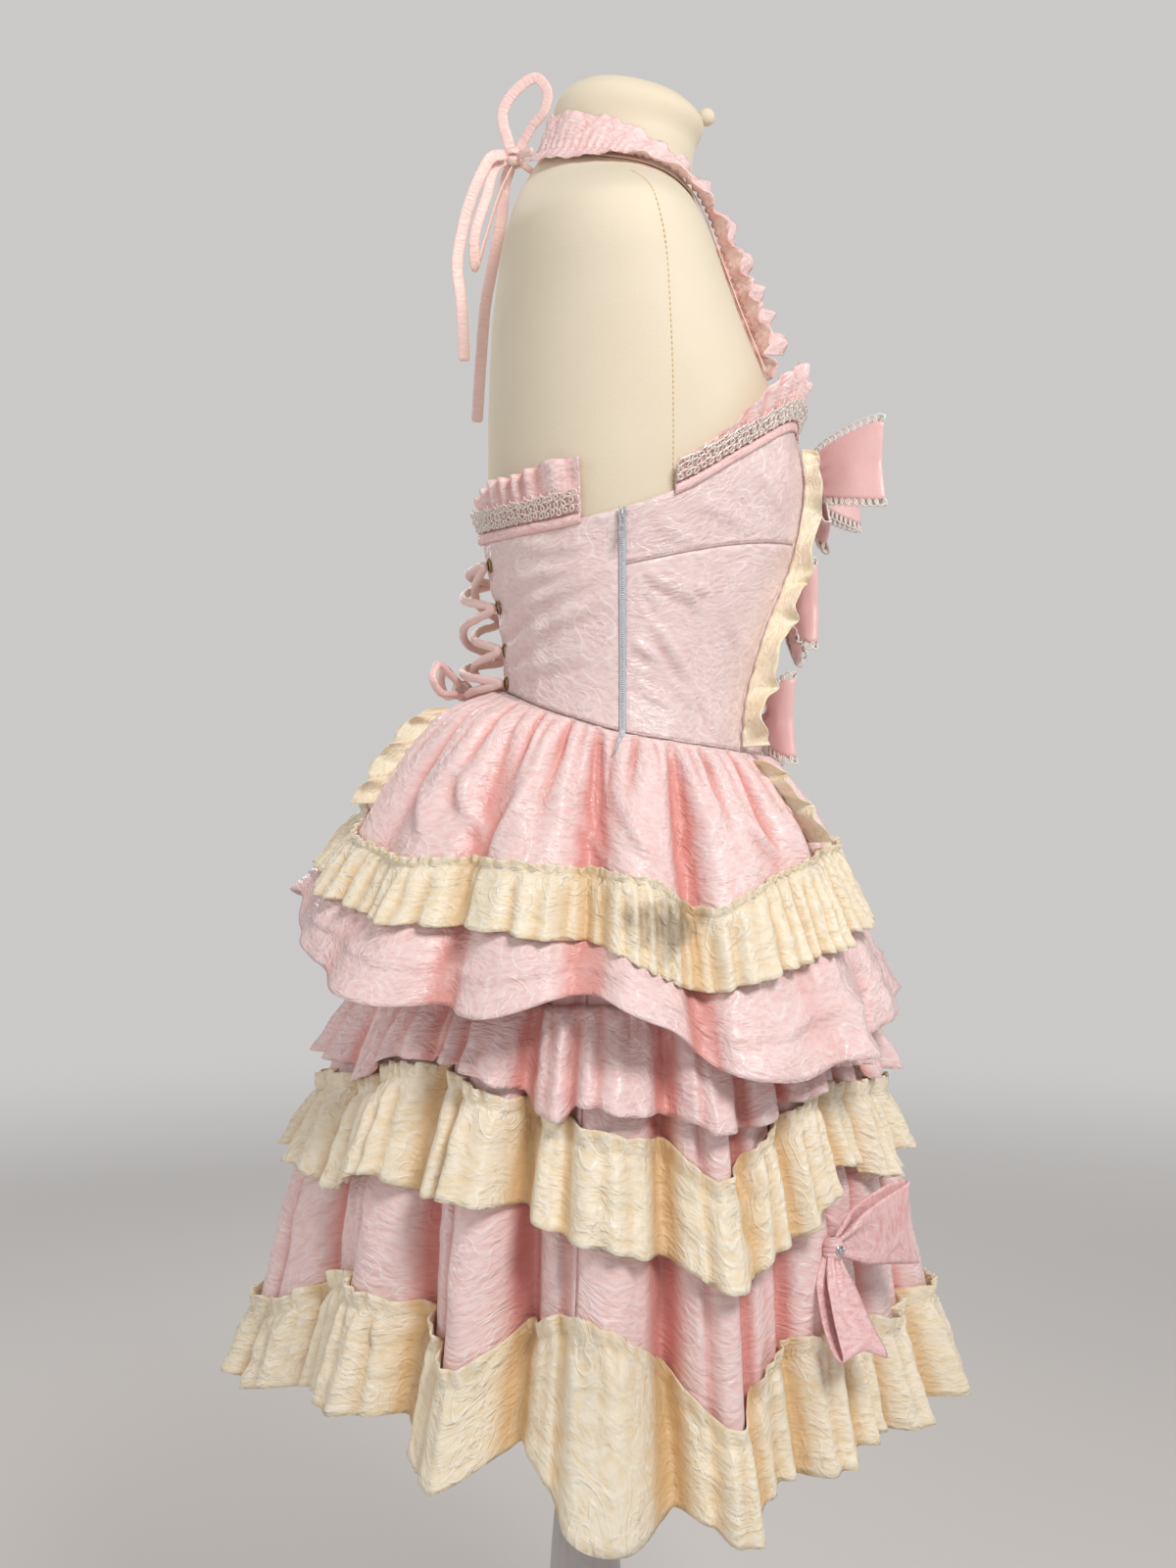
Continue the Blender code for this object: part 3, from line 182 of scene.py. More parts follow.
def fold_depth(grid, ring):
    """How deep each point lies in a fold, from 0 to 1, against the mean of the cloth near it: the share of
    painted fold shade that the materials put there.
    """
    radius = np.hypot(grid[..., 0], grid[..., 1] - AXIS_Y)
    step = float(np.median(np.linalg.norm(np.diff(grid, axis=1), axis=2)))
    total = 0.0
    for reach, full_depth, share in ((0.008, 0.0017, 0.50), (0.030, 0.0110, 0.75)):
        half = max(min(int(reach / step), grid.shape[1] // 2 - 1), 1)
        wide = np.pad(radius, ((0, 0), (half, half)), mode="wrap" if ring else "edge")
        summed = np.cumsum(np.pad(wide, ((0, 0), (1, 0))), axis=1)
        mean = (summed[:, 2 * half + 1:] - summed[:, :-2 * half - 1]) / (2 * half + 1)
        total = total + share * np.clip((mean - radius) / full_depth, 0, 1)
    return np.clip(total, 0, 1)


def grid_mesh(name, grid, look, ring=False, thickness=0.0, caps=False):
    """A grid of points as a smooth mesh, its wall inwards from the grid. Its UV map `cloth` is in metres."""
    rows, columns = grid.shape[:2]
    across, along = flat_size(grid, ring)
    around = across.shape[1]
    row, column = np.meshgrid(np.arange(rows - 1), np.arange(around), indexing="ij")
    after = (column + 1) % columns
    quads = np.stack([row * columns + column, row * columns + after,
                      (row + 1) * columns + after, (row + 1) * columns + column], axis=-1).reshape(-1, 4)
    u = np.concatenate([[0], np.cumsum(across.mean(axis=0))])
    v = np.concatenate([[0], np.cumsum(along.mean(axis=1))])
    corners = np.stack([np.stack([u[column], v[row]], -1), np.stack([u[column + 1], v[row]], -1),
                        np.stack([u[column + 1], v[row + 1]], -1), np.stack([u[column], v[row + 1]], -1)],
                       axis=2).reshape(-1, 4, 2)
    centre = np.array([0.0, AXIS_Y, 0.0])
    points = grid.reshape(-1, 3)
    normal = np.cross(points[quads[:, 2]] - points[quads[:, 0]], points[quads[:, 3]] - points[quads[:, 1]])
    away = points[quads].mean(axis=1) - centre
    away[:, 2] *= 0.2
    if np.sum(normal * away) < 0:
        quads = quads[:, ::-1]
        corners = corners[:, ::-1]
    faces = quads.tolist()
    if caps:
        ends = [list(range(columns)), list(range((rows - 1) * columns, rows * columns))]
        faces += [ends[0][::-1], ends[1]] if grid[0, 0, 2] < grid[-1, 0, 2] else ends
    mesh = bpy.data.meshes.new(name)
    mesh.from_pydata(points.tolist(), [], faces)
    layer = mesh.uv_layers.new(name="cloth")
    uv = np.zeros((len(mesh.loops), 2), np.float32)
    uv[:corners.size // 2] = corners.reshape(-1, 2)
    layer.data.foreach_set("uv", uv.ravel())
    # Painted shade: each point keeps its fold depth, by which the materials darken the folds as painted
    # shade.
    if columns > 30:
        shade = mesh.attributes.new("painted_recess_shade", "FLOAT", "POINT")
        shade.data.foreach_set("value", fold_depth(grid, ring).astype(np.float32).ravel())
    mesh.materials.append(look)
    mesh.shade_smooth()
    piece = bpy.data.objects.new(name, mesh)
    bpy.context.scene.collection.objects.link(piece)
    if thickness:
        wall = piece.modifiers.new("wall", "SOLIDIFY")
        wall.thickness = thickness
        wall.offset = -1
    piece["cut"] = [float(across.sum(axis=1).mean()), float(along.sum(axis=0).mean())]
    return piece


def wear(piece, slot, *nodes, body="dress_on_form"):
    """The piece stands for CAD nodes and moves with a body; its slot is not used."""
    if nodes:
        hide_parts(*nodes)
    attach(piece, body)
    return piece


def colour(red, green, blue):
    """A display colour as scene light."""
    return [share / 12.92 if share <= 0.04045 else ((share + 0.055) / 1.055) ** 2.4
            for share in (red / 255, green / 255, blue / 255)] + [1.0]


def put(tree, kind, inputs=None, **settings):
    """A node with its settings. Each input is a value or another node's socket."""
    node = tree.nodes.new(kind)
    for name, value in settings.items():
        setattr(node, name, value)
    for key, value in (inputs or {}).items():
        if isinstance(value, bpy.types.NodeSocket):
            tree.links.new(value, node.inputs[key])
        else:
            node.inputs[key].default_value = value
    return node


def maths(tree, operation, *values):
    """A sum on one to three values."""
    return put(tree, "ShaderNodeMath", dict(enumerate(values)), operation=operation)


def vector_maths(tree, operation, first, second):
    return put(tree, "ShaderNodeVectorMath", {0: first, 1: second}, operation=operation)


def scaled(tree, vector, size):
    return put(tree, "ShaderNodeVectorMath", {0: vector, "Scale": size}, operation="SCALE")


def noise(tree, vector, scale, **others):
    return put(tree, "ShaderNodeTexNoise", {"Vector": vector, "Scale": scale, **others})


def mapped(tree, value, start, end, first=0.0, last=1.0, kind="LINEAR"):
    """A value between start and end, turned into one between first and last."""
    ends = {"From Min": start, "From Max": end, "To Min": first, "To Max": last}
    return put(tree, "ShaderNodeMapRange", {"Value": value, **ends}, interpolation_type=kind)


def new_material(name, **constants):
    """A material, its tree and its Principled shader, whose constants sit on the shader's own sockets."""
    made = bpy.data.materials.new(name)
    made.use_nodes = True
    shader = made.node_tree.nodes["Principled BSDF"]
    for key, value in constants.items():
        shader.inputs[key.replace("_", " ")].default_value = value
    return made, made.node_tree, shader


def tint(tree, shader, share, first, second):
    """The shader's colour runs from the first colour to the second by a share."""
    mixed = put(tree, "ShaderNodeMix", {"Factor": share, "A": first, "B": second}, data_type="RGBA")
    tree.links.new(mixed.outputs["Result"], shader.inputs["Base Color"])


def relieve(tree, shader, height, strength, distance):
    """The shader's surface is roughened by a height."""
    raised = put(tree, "ShaderNodeBump", {"Height": height, "Strength": strength, "Distance": distance})
    tree.links.new(raised.outputs["Normal"], shader.inputs["Normal"])


def knit_group():
    """Fine knitting: a colour share and a height, from rows of small loops."""
    tree = bpy.data.node_groups.new("knitted jersey", "ShaderNodeTree")
    tree.interface.new_socket("Vector", in_out="INPUT", socket_type="NodeSocketVector")
    tree.interface.new_socket("Loops per metre", in_out="INPUT", socket_type="NodeSocketFloat")
    tree.interface.new_socket("Mottle", in_out="OUTPUT", socket_type="NodeSocketFloat")
    tree.interface.new_socket("Height", in_out="OUTPUT", socket_type="NodeSocketFloat")
    given = tree.nodes.new("NodeGroupInput")
    result = tree.nodes.new("NodeGroupOutput")
    mottle = noise(tree, given.outputs["Vector"], 9.0, Detail=4.0)
    loops = put(tree, "ShaderNodeTexVoronoi", {"Vector": given.outputs["Vector"],
                                               "Scale": given.outputs["Loops per metre"]})
    tree.links.new(mottle.outputs["Fac"], result.inputs["Mottle"])
    tree.links.new(loops.outputs["Distance"], result.inputs["Height"])
    return tree


jersey, tree, shader = new_material("cream jersey", Roughness=0.82, Sheen_Weight=0.25, Sheen_Roughness=0.5)
shader.inputs["Sheen Tint"].default_value = (1.0, 0.94, 0.84, 1)
place = put(tree, "ShaderNodeTexCoord")
knit = put(tree, "ShaderNodeGroup", node_tree=knit_group())
knit.inputs["Loops per metre"].default_value = 1100.0
tree.links.new(place.outputs["Object"], knit.inputs["Vector"])
tint(tree, shader, knit.outputs["Mottle"], colour(222, 210, 184), colour(237, 227, 206))
relieve(tree, shader, knit.outputs["Height"], 0.25, 0.0004)

height = np.concatenate([np.linspace(0.785, 0.80, 6), np.linspace(0.81, 1.35, 44),
                         np.linspace(1.36, 1.485, 34), [1.4864, 1.4872]])[:, None]
azimuth = np.linspace(0, 360, 120, endpoint=False)[None, :]
radius = form_radius(azimuth, height)
radius[-1] *= 0.93
torso_grid = polar_points(azimuth, radius, height)
torso_grid[..., 2] += 0.15 * np.clip((height - 1.43) / 0.05, 0, 1) * (torso_grid[..., 1] - AXIS_Y)
torso = wear(grid_mesh("torso_cover", torso_grid, jersey, ring=True, caps=True), "jersey", "form_torso")

# The small jersey-covered knob at the neck's front edge; the neck's flat top under the same cover is the
# torso's cap, made above.
bpy.ops.mesh.primitive_uv_sphere_add(segments=32, ring_count=20, radius=0.0066, location=(0, -0.0914, 1.474))
knob = bpy.context.object
bpy.ops.object.transform_apply(location=True, rotation=True, scale=True)
knob.name = "neck_knob"
knob.data.shade_smooth()
knob.data.materials.append(jersey)
wear(knob, "jersey", "form_knob")


# The side seams of the jersey cover: short chain stitches in sand-coloured thread, worked along the join.
def stitch_tree():
    """Stitches of one length, evenly spaced along each line of points."""
    tree = bpy.data.node_groups.new("stitches along a line", "GeometryNodeTree")
    tree.interface.new_socket("Geometry", in_out="INPUT", socket_type="NodeSocketGeometry")
    for name, value in (("Spacing", 0.0034), ("Length", 0.0024), ("Width", 0.0007)):
        tree.interface.new_socket(name, in_out="INPUT", socket_type="NodeSocketFloat").default_value = value
    tree.interface.new_socket("Thread", in_out="INPUT", socket_type="NodeSocketMaterial")
    tree.interface.new_socket("Geometry", in_out="OUTPUT", socket_type="NodeSocketGeometry")
    given = tree.nodes.new("NodeGroupInput").outputs
    line = put(tree, "GeometryNodeMeshToCurve", {"Mesh": given["Geometry"]})
    spots = put(tree, "GeometryNodeCurveToPoints", {"Curve": line.outputs[0], "Length": given["Spacing"]},
                mode="LENGTH")
    bead = put(tree, "GeometryNodeMeshUVSphere", {"Segments": 6, "Rings": 4, "Radius": 0.5})
    size = put(tree, "ShaderNodeCombineXYZ", {"X": given["Width"], "Y": given["Width"], "Z": given["Length"]})
    placed = put(tree, "GeometryNodeInstanceOnPoints", {"Points": spots.outputs["Points"],
                                                        "Instance": bead.outputs["Mesh"],
                                                        "Rotation": spots.outputs["Rotation"],
                                                        "Scale": size.outputs[0]})
    real = put(tree, "GeometryNodeRealizeInstances", {"Geometry": placed.outputs[0]})
    smooth_faces = put(tree, "GeometryNodeSetShadeSmooth", {"Geometry": real.outputs[0]})
    painted = put(tree, "GeometryNodeSetMaterial", {"Geometry": smooth_faces.outputs[0],
                                                    "Material": given["Thread"]})
    tree.links.new(painted.outputs[0], tree.nodes.new("NodeGroupOutput").inputs[0])
    return tree


def along_lines(name, tree, lines, **values):
    """What a node tree makes along lines of points, as a plain mesh piece."""
    points = np.concatenate(lines)
    edges = []
    first = 0
    for line in lines:
        edges += [(first + i, first + i + 1) for i in range(len(line) - 1)]
        first += len(line)
    mesh = bpy.data.meshes.new(name + "_line")
    mesh.from_pydata(points.tolist(), edges, [])
    source = bpy.data.objects.new(name + "_line", mesh)
    bpy.context.scene.collection.objects.link(source)
    worked = source.modifiers.new("worked", "NODES")
    worked.node_group = tree
    for socket in tree.interface.items_tree:
        if socket.in_out == "INPUT" and socket.name in values:
            worked[socket.identifier] = values[socket.name]
    made = bpy.data.meshes.new_from_object(source.evaluated_get(bpy.context.evaluated_depsgraph_get()))
    bpy.data.objects.remove(source)
    piece = bpy.data.objects.new(name, made)
    bpy.context.scene.collection.objects.link(piece)
    return piece


stitches = stitch_tree()
sand_thread, tree, shader = new_material("sand thread", Roughness=0.6)
fibre = put(tree, "ShaderNodeTexNoise", {"Scale": 900.0, "Detail": 2.0})
tint(tree, shader, fibre.outputs["Fac"], colour(205, 172, 120), colour(232, 205, 160))
seam_height = np.linspace(1.16, 1.392, 60)
seam_azimuth = smooth(FORM_SEAM, seam_height)
seam_line = polar_points(seam_azimuth, form_radius(seam_azimuth, seam_height) + 0.0001, seam_height)
cover_seam = along_lines("cover_side_seams", stitches, [seam_line, seam_line * (-1, 1, 1)],
    Thread=sand_thread, Spacing=0.0036, Length=0.0027, Width=0.0009)
wear(cover_seam, "jersey")

# The stand: a tapered enamelled pole, wider towards the floor, screwed into a flat round steel plate.
enamel, tree, shader = new_material("grey enamel", Roughness=0.38, Coat_Weight=0.25, Coat_Roughness=0.2)
scuff = put(tree, "ShaderNodeTexNoise", {"Scale": 34.0, "Detail": 6.0, "Roughness": 0.65})
tint(tree, shader, scuff.outputs["Fac"], colour(176, 173, 172), colour(203, 200, 199))
gloss = mapped(tree, scuff.outputs["Fac"], 0.0, 1.0, 0.30, 0.48)
relieve(tree, shader, scuff.outputs["Fac"], 0.06, 0.0005)
tree.links.new(gloss.outputs["Result"], shader.inputs["Roughness"])


def turned(name, outline, look, segments=72):
    """A solid turned round the stand's line from (radius, height) points."""
    angles = np.linspace(0, 2 * math.pi, segments, endpoint=False)
    rings = np.array([[(r * math.cos(a), r * math.sin(a), z) for a in angles] for r, z in outline])
    piece = grid_mesh(name, rings, look, ring=True, caps=True)
    piece.data.set_sharp_from_angle(angle=math.radians(40))
    return piece


pole_profile = ((0.0123, 0.050), (0.11, 0.040), (0.25, 0.032), (0.39, 0.026), (0.48, 0.0185), (0.60, 0.0150),
                (0.7847, 0.0135))
pole_heights = np.linspace(0.0123, 0.7847, 60)
pole = turned("stand_pole", [(float(smooth(pole_profile, z)), z) for z in pole_heights], enamel)
wear(pole, "stand", "form_pole")
plate = turned("stand_plate", ((0.149, 0.0), (0.150, 0.001), (0.150, 0.0085), (0.1492, 0.0102),
    (0.1475, 0.0114), (0.145, 0.012), (0.06, 0.012), (0.0525, 0.0121)), enamel, 120)
wear(plate, "stand", "form_base")

# The skirt: two panels of pink rose brocade, front and back, sewn at the sides and gathered at the waist.
# The cloth is crinkled all over, falls in deep flutes, and has tone-on-tone roses woven in a shinier
# thread.
SKIRT_SECTIONS = (  # height, back y, front y, half width
    (0.52, 0.256, -0.272, 0.262), (0.60, 0.240, -0.256, 0.246), (0.70, 0.212, -0.232, 0.226),
    (0.78, 0.180, -0.208, 0.205), (0.82, 0.158, -0.188, 0.190), (0.86, 0.135, -0.168, 0.176),
    (0.90, 0.112, -0.152, 0.164), (0.95, 0.092, -0.142, 0.151), (1.04, 0.070, -0.136, 0.134),
)
SKIRT_FLUTES = (  # azimuth, radius at the hem, height of the panel's lower edge
    (-90, 0.283, 0.545), (-79, 0.266, 0.548), (-64, 0.222, 0.585), (-50, 0.245, 0.586), (-38, 0.212, 0.575),
    (-29, 0.246, 0.560), (-19, 0.210, 0.580), (-3, 0.262, 0.560), (6, 0.216, 0.550), (15, 0.243, 0.530),
    (27, 0.200, 0.560), (38, 0.214, 0.566), (50, 0.200, 0.560), (61, 0.214, 0.560), (73, 0.204, 0.560),
    (88, 0.238, 0.555), (104, 0.208, 0.560), (118, 0.234, 0.545), (131, 0.203, 0.565), (143, 0.238, 0.560),
    (155, 0.208, 0.550), (169, 0.260, 0.545), (182, 0.212, 0.580), (195, 0.250, 0.565), (208, 0.208, 0.580),
    (221, 0.250, 0.575), (234, 0.220, 0.585), (249, 0.262, 0.555), (259, 0.236, 0.560),
)
SKIRT_CREASES = (  # azimuth and height of both ends, half width, depth
    (-31, 0.690, -24, 0.655, 0.004, 0.0018), (-33, 0.672, -26, 0.640, 0.004, -0.0016),
    (-30, 0.652, -23, 0.622, 0.0035, 0.0018), (-33, 0.640, -27, 0.606, 0.004, 0.0016),
    (-29, 0.628, -24, 0.600, 0.003, -0.0014), (-5, 0.668, 1, 0.640, 0.004, 0.0018),
    (-2, 0.650, 3, 0.622, 0.0035, -0.0016), (-6, 0.640, 0, 0.612, 0.004, 0.0016),
    (-52, 0.668, -45, 0.640, 0.004, 0.0015), (-55, 0.650, -49, 0.628, 0.004, -0.0014),
    (13, 0.640, 19, 0.610, 0.004, 0.0016), (36, 0.690, 42, 0.660, 0.004, 0.0015),
    (58, 0.670, 64, 0.640, 0.004, 0.0016), (85, 0.668, 93, 0.630, 0.005, 0.0018),
    (116, 0.670, 121, 0.634, 0.004, -0.0016), (141, 0.664, 147, 0.630, 0.004, 0.0016),
    (167, 0.668, 172, 0.630, 0.004, 0.0018), (193, 0.670, 199, 0.640, 0.004, 0.0016),
    (219, 0.676, 225, 0.640, 0.004, -0.0016), (246, 0.676, 252, 0.640, 0.004, 0.0018),
    (266, 0.680, 272, 0.640, 0.005, 0.0016),
)
WAIST_LINE = ((-69, 1.038), (-60, 1.036), (-21, 1.017), (-2, 1.005), (17, 0.998), (34, 0.994), (90, 0.989))
SKIRT_CLOTH = 0.0022
LAYER_CLEARANCE = 0.0017


def mirrored(table, azimuth, column=1):
    """A table given for the right half only, read at any azimuth."""
    return smooth(table, np.degrees(np.arcsin(np.sin(np.radians(azimuth)))), column)


def waist_height(azimuth):
    return mirrored(WAIST_LINE, azimuth)


def skirt_outer(azimuth, height):
    """Outer face of the skirt before its fine creases."""
    mean = section_radius(SKIRT_SECTIONS, azimuth, height)
    hem_mean = section_radius(SKIRT_SECTIONS, azimuth, 0.52)
    opened = np.clip((0.88 - height) / 0.36, 0, 1)
    fluted = mean + opened * (smooth(SKIRT_FLUTES, azimuth, 1, 360) - hem_mean)
    blend = np.clip((waist_height(azimuth) - height) / 0.06, 0, 1)
    return (1 - blend) * (form_radius(azimuth, height) + 0.0018) + blend * fluted + SKIRT_CLOTH


# Where the skirt folds in sharply between two flutes.
FLUTE_VALLEYS = (  # azimuth, half width in degrees, depth
    (-70, 2.2, 0.015), (-57, 1.8, 0.011), (-41, 2.4, 0.018), (-33.5, 1.3, 0.008), (-20, 2.8, 0.022),
    (-11, 1.4, 0.008), (5.5, 2.4, 0.020), (12.5, 1.0, 0.006), (20.5, 2.2, 0.018), (31, 1.7, 0.012),
    (44, 2.2, 0.013), (55, 1.8, 0.011), (67, 1.8, 0.012), (79, 2.2, 0.014), (100, 2.4, 0.018),
    (111, 1.6, 0.010), (128, 2.4, 0.018), (137, 1.5, 0.009), (152, 2.4, 0.018), (161, 1.4, 0.010),
    (181, 2.6, 0.021), (189, 1.3, 0.008), (205, 2.4, 0.018), (214, 1.4, 0.010), (231, 2.4, 0.017),
    (241, 1.5, 0.009), (257, 2.2, 0.015), (278, 1.8, 0.010),
)


def fluted_outer(azimuth, height):
    """The skirt's outer face with the sharp valleys between its flutes."""
    opened = np.clip((0.885 - height) / 0.12, 0, 1)
    inward = 0.0
    for turn, half, depth in FLUTE_VALLEYS:
        away = np.mod(azimuth - turn + 180, 360) - 180
        inward = inward + depth * np.exp(-np.abs(away / half) ** 2.6)
    return skirt_outer(azimuth, height) - np.minimum(inward, 0.024) * opened


def flute_steps(azimuth, seed, size):
    """A height for each flute's own hem, so that an edge jumps where it crosses a valley."""
    rng = np.random.default_rng(seed)
    turns = sorted(np.mod(turn, 360) for turn, _, _ in FLUTE_VALLEYS)
    levels = rng.uniform(-size, size, len(turns))
    knots, values = [], []
    for number, turn in enumerate(turns):
        knots += [turn - 0.8, turn + 0.8]
        values += [levels[number - 1], levels[number]]
    return np.interp(np.mod(azimuth, 360), knots, values, period=360)


def ripples(azimuth, height, size, seed, stretch=1.0):
    """Soft random unevenness of about one size, from -1 to 1, with no break anywhere round the body."""
    rng = np.random.default_rng(seed)
    angle = np.radians(azimuth)
    around, depth, up = 0.2 * np.cos(angle), 0.2 * np.sin(angle), np.asarray(height) / stretch
    total = 0.0
    for _ in range(10):
        direction = rng.normal(size=3)
        direction /= np.linalg.norm(direction)
        wave = 2 * math.pi / (size * rng.uniform(0.7, 1.6))
        total = total + np.cos(wave * (around * direction[0] + depth * direction[1] + up * direction[2])
                               + rng.uniform(0, 2 * math.pi))
    return total / 4.5


def creases(azimuth, height, lines, reach=0.2):
    """Creases: a ridge along each line with a shallow dip on one side of it."""
    x = np.radians(azimuth) * reach
    total = 0 * x + 0 * height
    for first_turn, first_height, last_turn, last_height, half, depth in lines:
        start = math.radians(first_turn) * reach
        run = math.radians(last_turn - first_turn) * reach
        rise = last_height - first_height
        length = math.hypot(run, rise)
        along = ((x - start) * run + (height - first_height) * rise) / length**2
        off = ((x - start) * rise - (height - first_height) * run) / length
        off = off + 0.10 * length * along * (along - 1)
        fade = np.sin(math.pi * np.clip(along, 0, 1)) ** 0.7
        dip = 0.55 * np.exp(-((off - 1.7 * half) / half) ** 2)
        total += depth * fade * (np.exp(-(off / half) ** 2) - dip)
    return total


def gathered_phase(azimuth, count, seed):
    """The phase of uneven folds round a gathered line: some wide, some narrow."""
    rng = np.random.default_rng(seed)
    angle = np.radians(azimuth)
    drift = sum(rng.uniform(0.10, 0.22) / turns * np.sin(turns * angle + rng.uniform(0, 6.28))
                for turns in (3, 5, 8, 13))
    return count * (angle + drift)


def brocade_group():
    """Crinkled brocade from a cloth UV in metres: woven roses, leaves between, and rows of small puckers."""
    tree = bpy.data.node_groups.new("crinkled rose brocade", "ShaderNodeTree")
    tree.interface.new_socket("Vector", in_out="INPUT", socket_type="NodeSocketVector")
    for name, value in (("Roses per metre", 17.0), ("Puckers per metre", 260.0)):
        tree.interface.new_socket(name, in_out="INPUT", socket_type="NodeSocketFloat").default_value = value
    for name in ("Motif", "Pucker", "Dent", "Tone"):
        tree.interface.new_socket(name, in_out="OUTPUT", socket_type="NodeSocketFloat")
    given = tree.nodes.new("NodeGroupInput").outputs
    result = tree.nodes.new("NodeGroupOutput").inputs
    drift = noise(tree, given["Vector"], 24.0, Detail=2.0)
    centred = vector_maths(tree, "SUBTRACT", drift.outputs["Color"], (0.5, 0.5, 0.5))
    small = scaled(tree, centred.outputs[0], 0.022)
    bent = vector_maths(tree, "ADD", given["Vector"], small.outputs[0])
    cell = put(tree, "ShaderNodeTexVoronoi", {"Vector": bent.outputs[0], "Scale": given["Roses per metre"],
                                              "Randomness": 0.55}, voronoi_dimensions="2D")
    local = vector_maths(tree, "SUBTRACT", bent.outputs[0], cell.outputs["Position"])
    rose_space = scaled(tree, local.outputs[0], given["Roses per metre"])
    axes = put(tree, "ShaderNodeSeparateXYZ", {0: rose_space.outputs[0]})
    turn = maths(tree, "ARCTAN2", axes.outputs["Y"], axes.outputs["X"])
    spiral = maths(tree, "MULTIPLY", cell.outputs["Distance"], 13.0)
    petals = maths(tree, "MULTIPLY_ADD", turn.outputs[0], 3.0, spiral.outputs[0])
    scallop = maths(tree, "SINE", petals.outputs[0])
    rings = maths(tree, "MULTIPLY", cell.outputs["Distance"], 7.0)
    petal_rings = maths(tree, "MULTIPLY_ADD", scallop.outputs[0], 0.42, rings.outputs[0])
    fold = maths(tree, "PINGPONG", petal_rings.outputs[0], 0.5)
    petal_line = mapped(tree, fold.outputs[0], 0.0, 0.20, 1.0, 0.0, kind="SMOOTHSTEP")
    in_rose = mapped(tree, cell.outputs["Distance"], 0.36, 0.44, 1.0, 0.0, kind="SMOOTHSTEP")
    leaf = noise(tree, bent.outputs[0], 46.0, Detail=1.0)
    contour = maths(tree, "PINGPONG", leaf.outputs["Fac"], 0.075)
    leaf_line = mapped(tree, contour.outputs[0], 0.0, 0.022, 0.30, 0.0, kind="SMOOTHSTEP")
    motif = put(tree, "ShaderNodeMix", {"Factor": in_rose.outputs[0], "A": leaf_line.outputs[0],
                                        "B": petal_line.outputs[0]}, data_type="FLOAT")
    rows = vector_maths(tree, "MULTIPLY", bent.outputs[0], (0.42, 1.0, 1.0))
    pucker = noise(tree, rows.outputs[0], given["Puckers per metre"], Detail=3.0, Distortion=0.12)
    dent = noise(tree, given["Vector"], 42.0, Detail=2.0, Distortion=0.9)
    wrinkle = noise(tree, rows.outputs[0], 105.0, Detail=2.0, Distortion=0.5)
    level = maths(tree, "SUBTRACT", wrinkle.outputs["Fac"], 0.5)
    ridge = maths(tree, "ABSOLUTE", level.outputs[0])
    sharp = maths(tree, "MULTIPLY_ADD", ridge.outputs[0], 1.1, dent.outputs["Fac"])
    tone = noise(tree, given["Vector"], 8.0, Detail=3.0)
    tree.links.new(motif.outputs["Result"], result["Motif"])
    tree.links.new(pucker.outputs["Fac"], result["Pucker"])
    tree.links.new(sharp.outputs[0], result["Dent"])
    tree.links.new(tone.outputs["Fac"], result["Tone"])
    return tree


brocade = brocade_group()


def brocade_material(name, ground, painted_recess_shade, motif, fold, roughness, pucker_depth, roses=17.0, puckers=260.0,
                     sheen=0.35, dent_depth=0.0020):
    """Brocade with painted shade in the low parts of its puckers and in its folds, and with paler, glossier
    woven lines.
    """
    made, tree, shader = new_material(name, Sheen_Weight=sheen, Sheen_Roughness=0.35)
    shader.inputs["Sheen Tint"].default_value = motif
    shader.inputs["Specular IOR Level"].default_value = 0.55
    cloth = put(tree, "ShaderNodeUVMap", uv_map="cloth")
    weave = put(tree, "ShaderNodeGroup", node_tree=brocade)
    tree.links.new(cloth.outputs["UV"], weave.inputs["Vector"])
    weave.inputs["Roses per metre"].default_value = roses
    weave.inputs["Puckers per metre"].default_value = puckers
    # Painted shade: the low parts of the puckers take the darker recess colour.
    deep = mapped(tree, weave.outputs["Pucker"], 0.34, 0.56)
    base = put(tree, "ShaderNodeMix", {"Factor": deep.outputs[0], "A": painted_recess_shade, "B": ground}, data_type="RGBA")
    line = maths(tree, "MULTIPLY", weave.outputs["Motif"], 0.60)
    figured = put(tree, "ShaderNodeMix", {"Factor": line.outputs[0], "A": base.outputs["Result"], "B": motif},
                  data_type="RGBA")
    level = mapped(tree, weave.outputs["Tone"], 0.3, 0.7, 0.93, 1.05)
    toned = scaled(tree, figured.outputs["Result"], level.outputs[0])
    # Painted shade: the deeper a point lies in a fold, the more it takes the darker fold colour.
    painted_fold_shade = put(tree, "ShaderNodeAttribute", attribute_name="painted_recess_shade")
    fold_shade_share = maths(tree, "MULTIPLY", painted_fold_shade.outputs["Fac"], 0.74)
    shaded = put(tree, "ShaderNodeMix", {"Factor": fold_shade_share.outputs[0], "A": toned.outputs[0], "B": fold},
                 data_type="RGBA")
    gloss = mapped(tree, weave.outputs["Motif"], 0.0, 1.0, roughness + 0.06, roughness - 0.10)
    raised = maths(tree, "MULTIPLY_ADD", weave.outputs["Motif"], 0.22, weave.outputs["Pucker"])
    dents = dent_depth / pucker_depth
    dented = maths(tree, "MULTIPLY_ADD", weave.outputs["Dent"], dents, raised.outputs[0])
    relief = put(tree, "ShaderNodeBump", {"Height": dented.outputs[0], "Strength": 1.0,
                                          "Distance": pucker_depth})
    tree.links.new(shaded.outputs["Result"], shader.inputs["Base Color"])
    tree.links.new(gloss.outputs[0], shader.inputs["Roughness"])
    tree.links.new(relief.outputs["Normal"], shader.inputs["Normal"])
    return made


# The second and fourth colours are painted shade, for the pucker hollows and for the folds.
pink_brocade = brocade_material("pink rose brocade", colour(247, 220, 219), colour(243, 205, 202),
                                colour(253, 240, 240), colour(222, 134, 122), 0.31, 0.0011, puckers=330.0)


def cloth_sheet(piece):
    """Returns the piece unchanged."""
    return piece


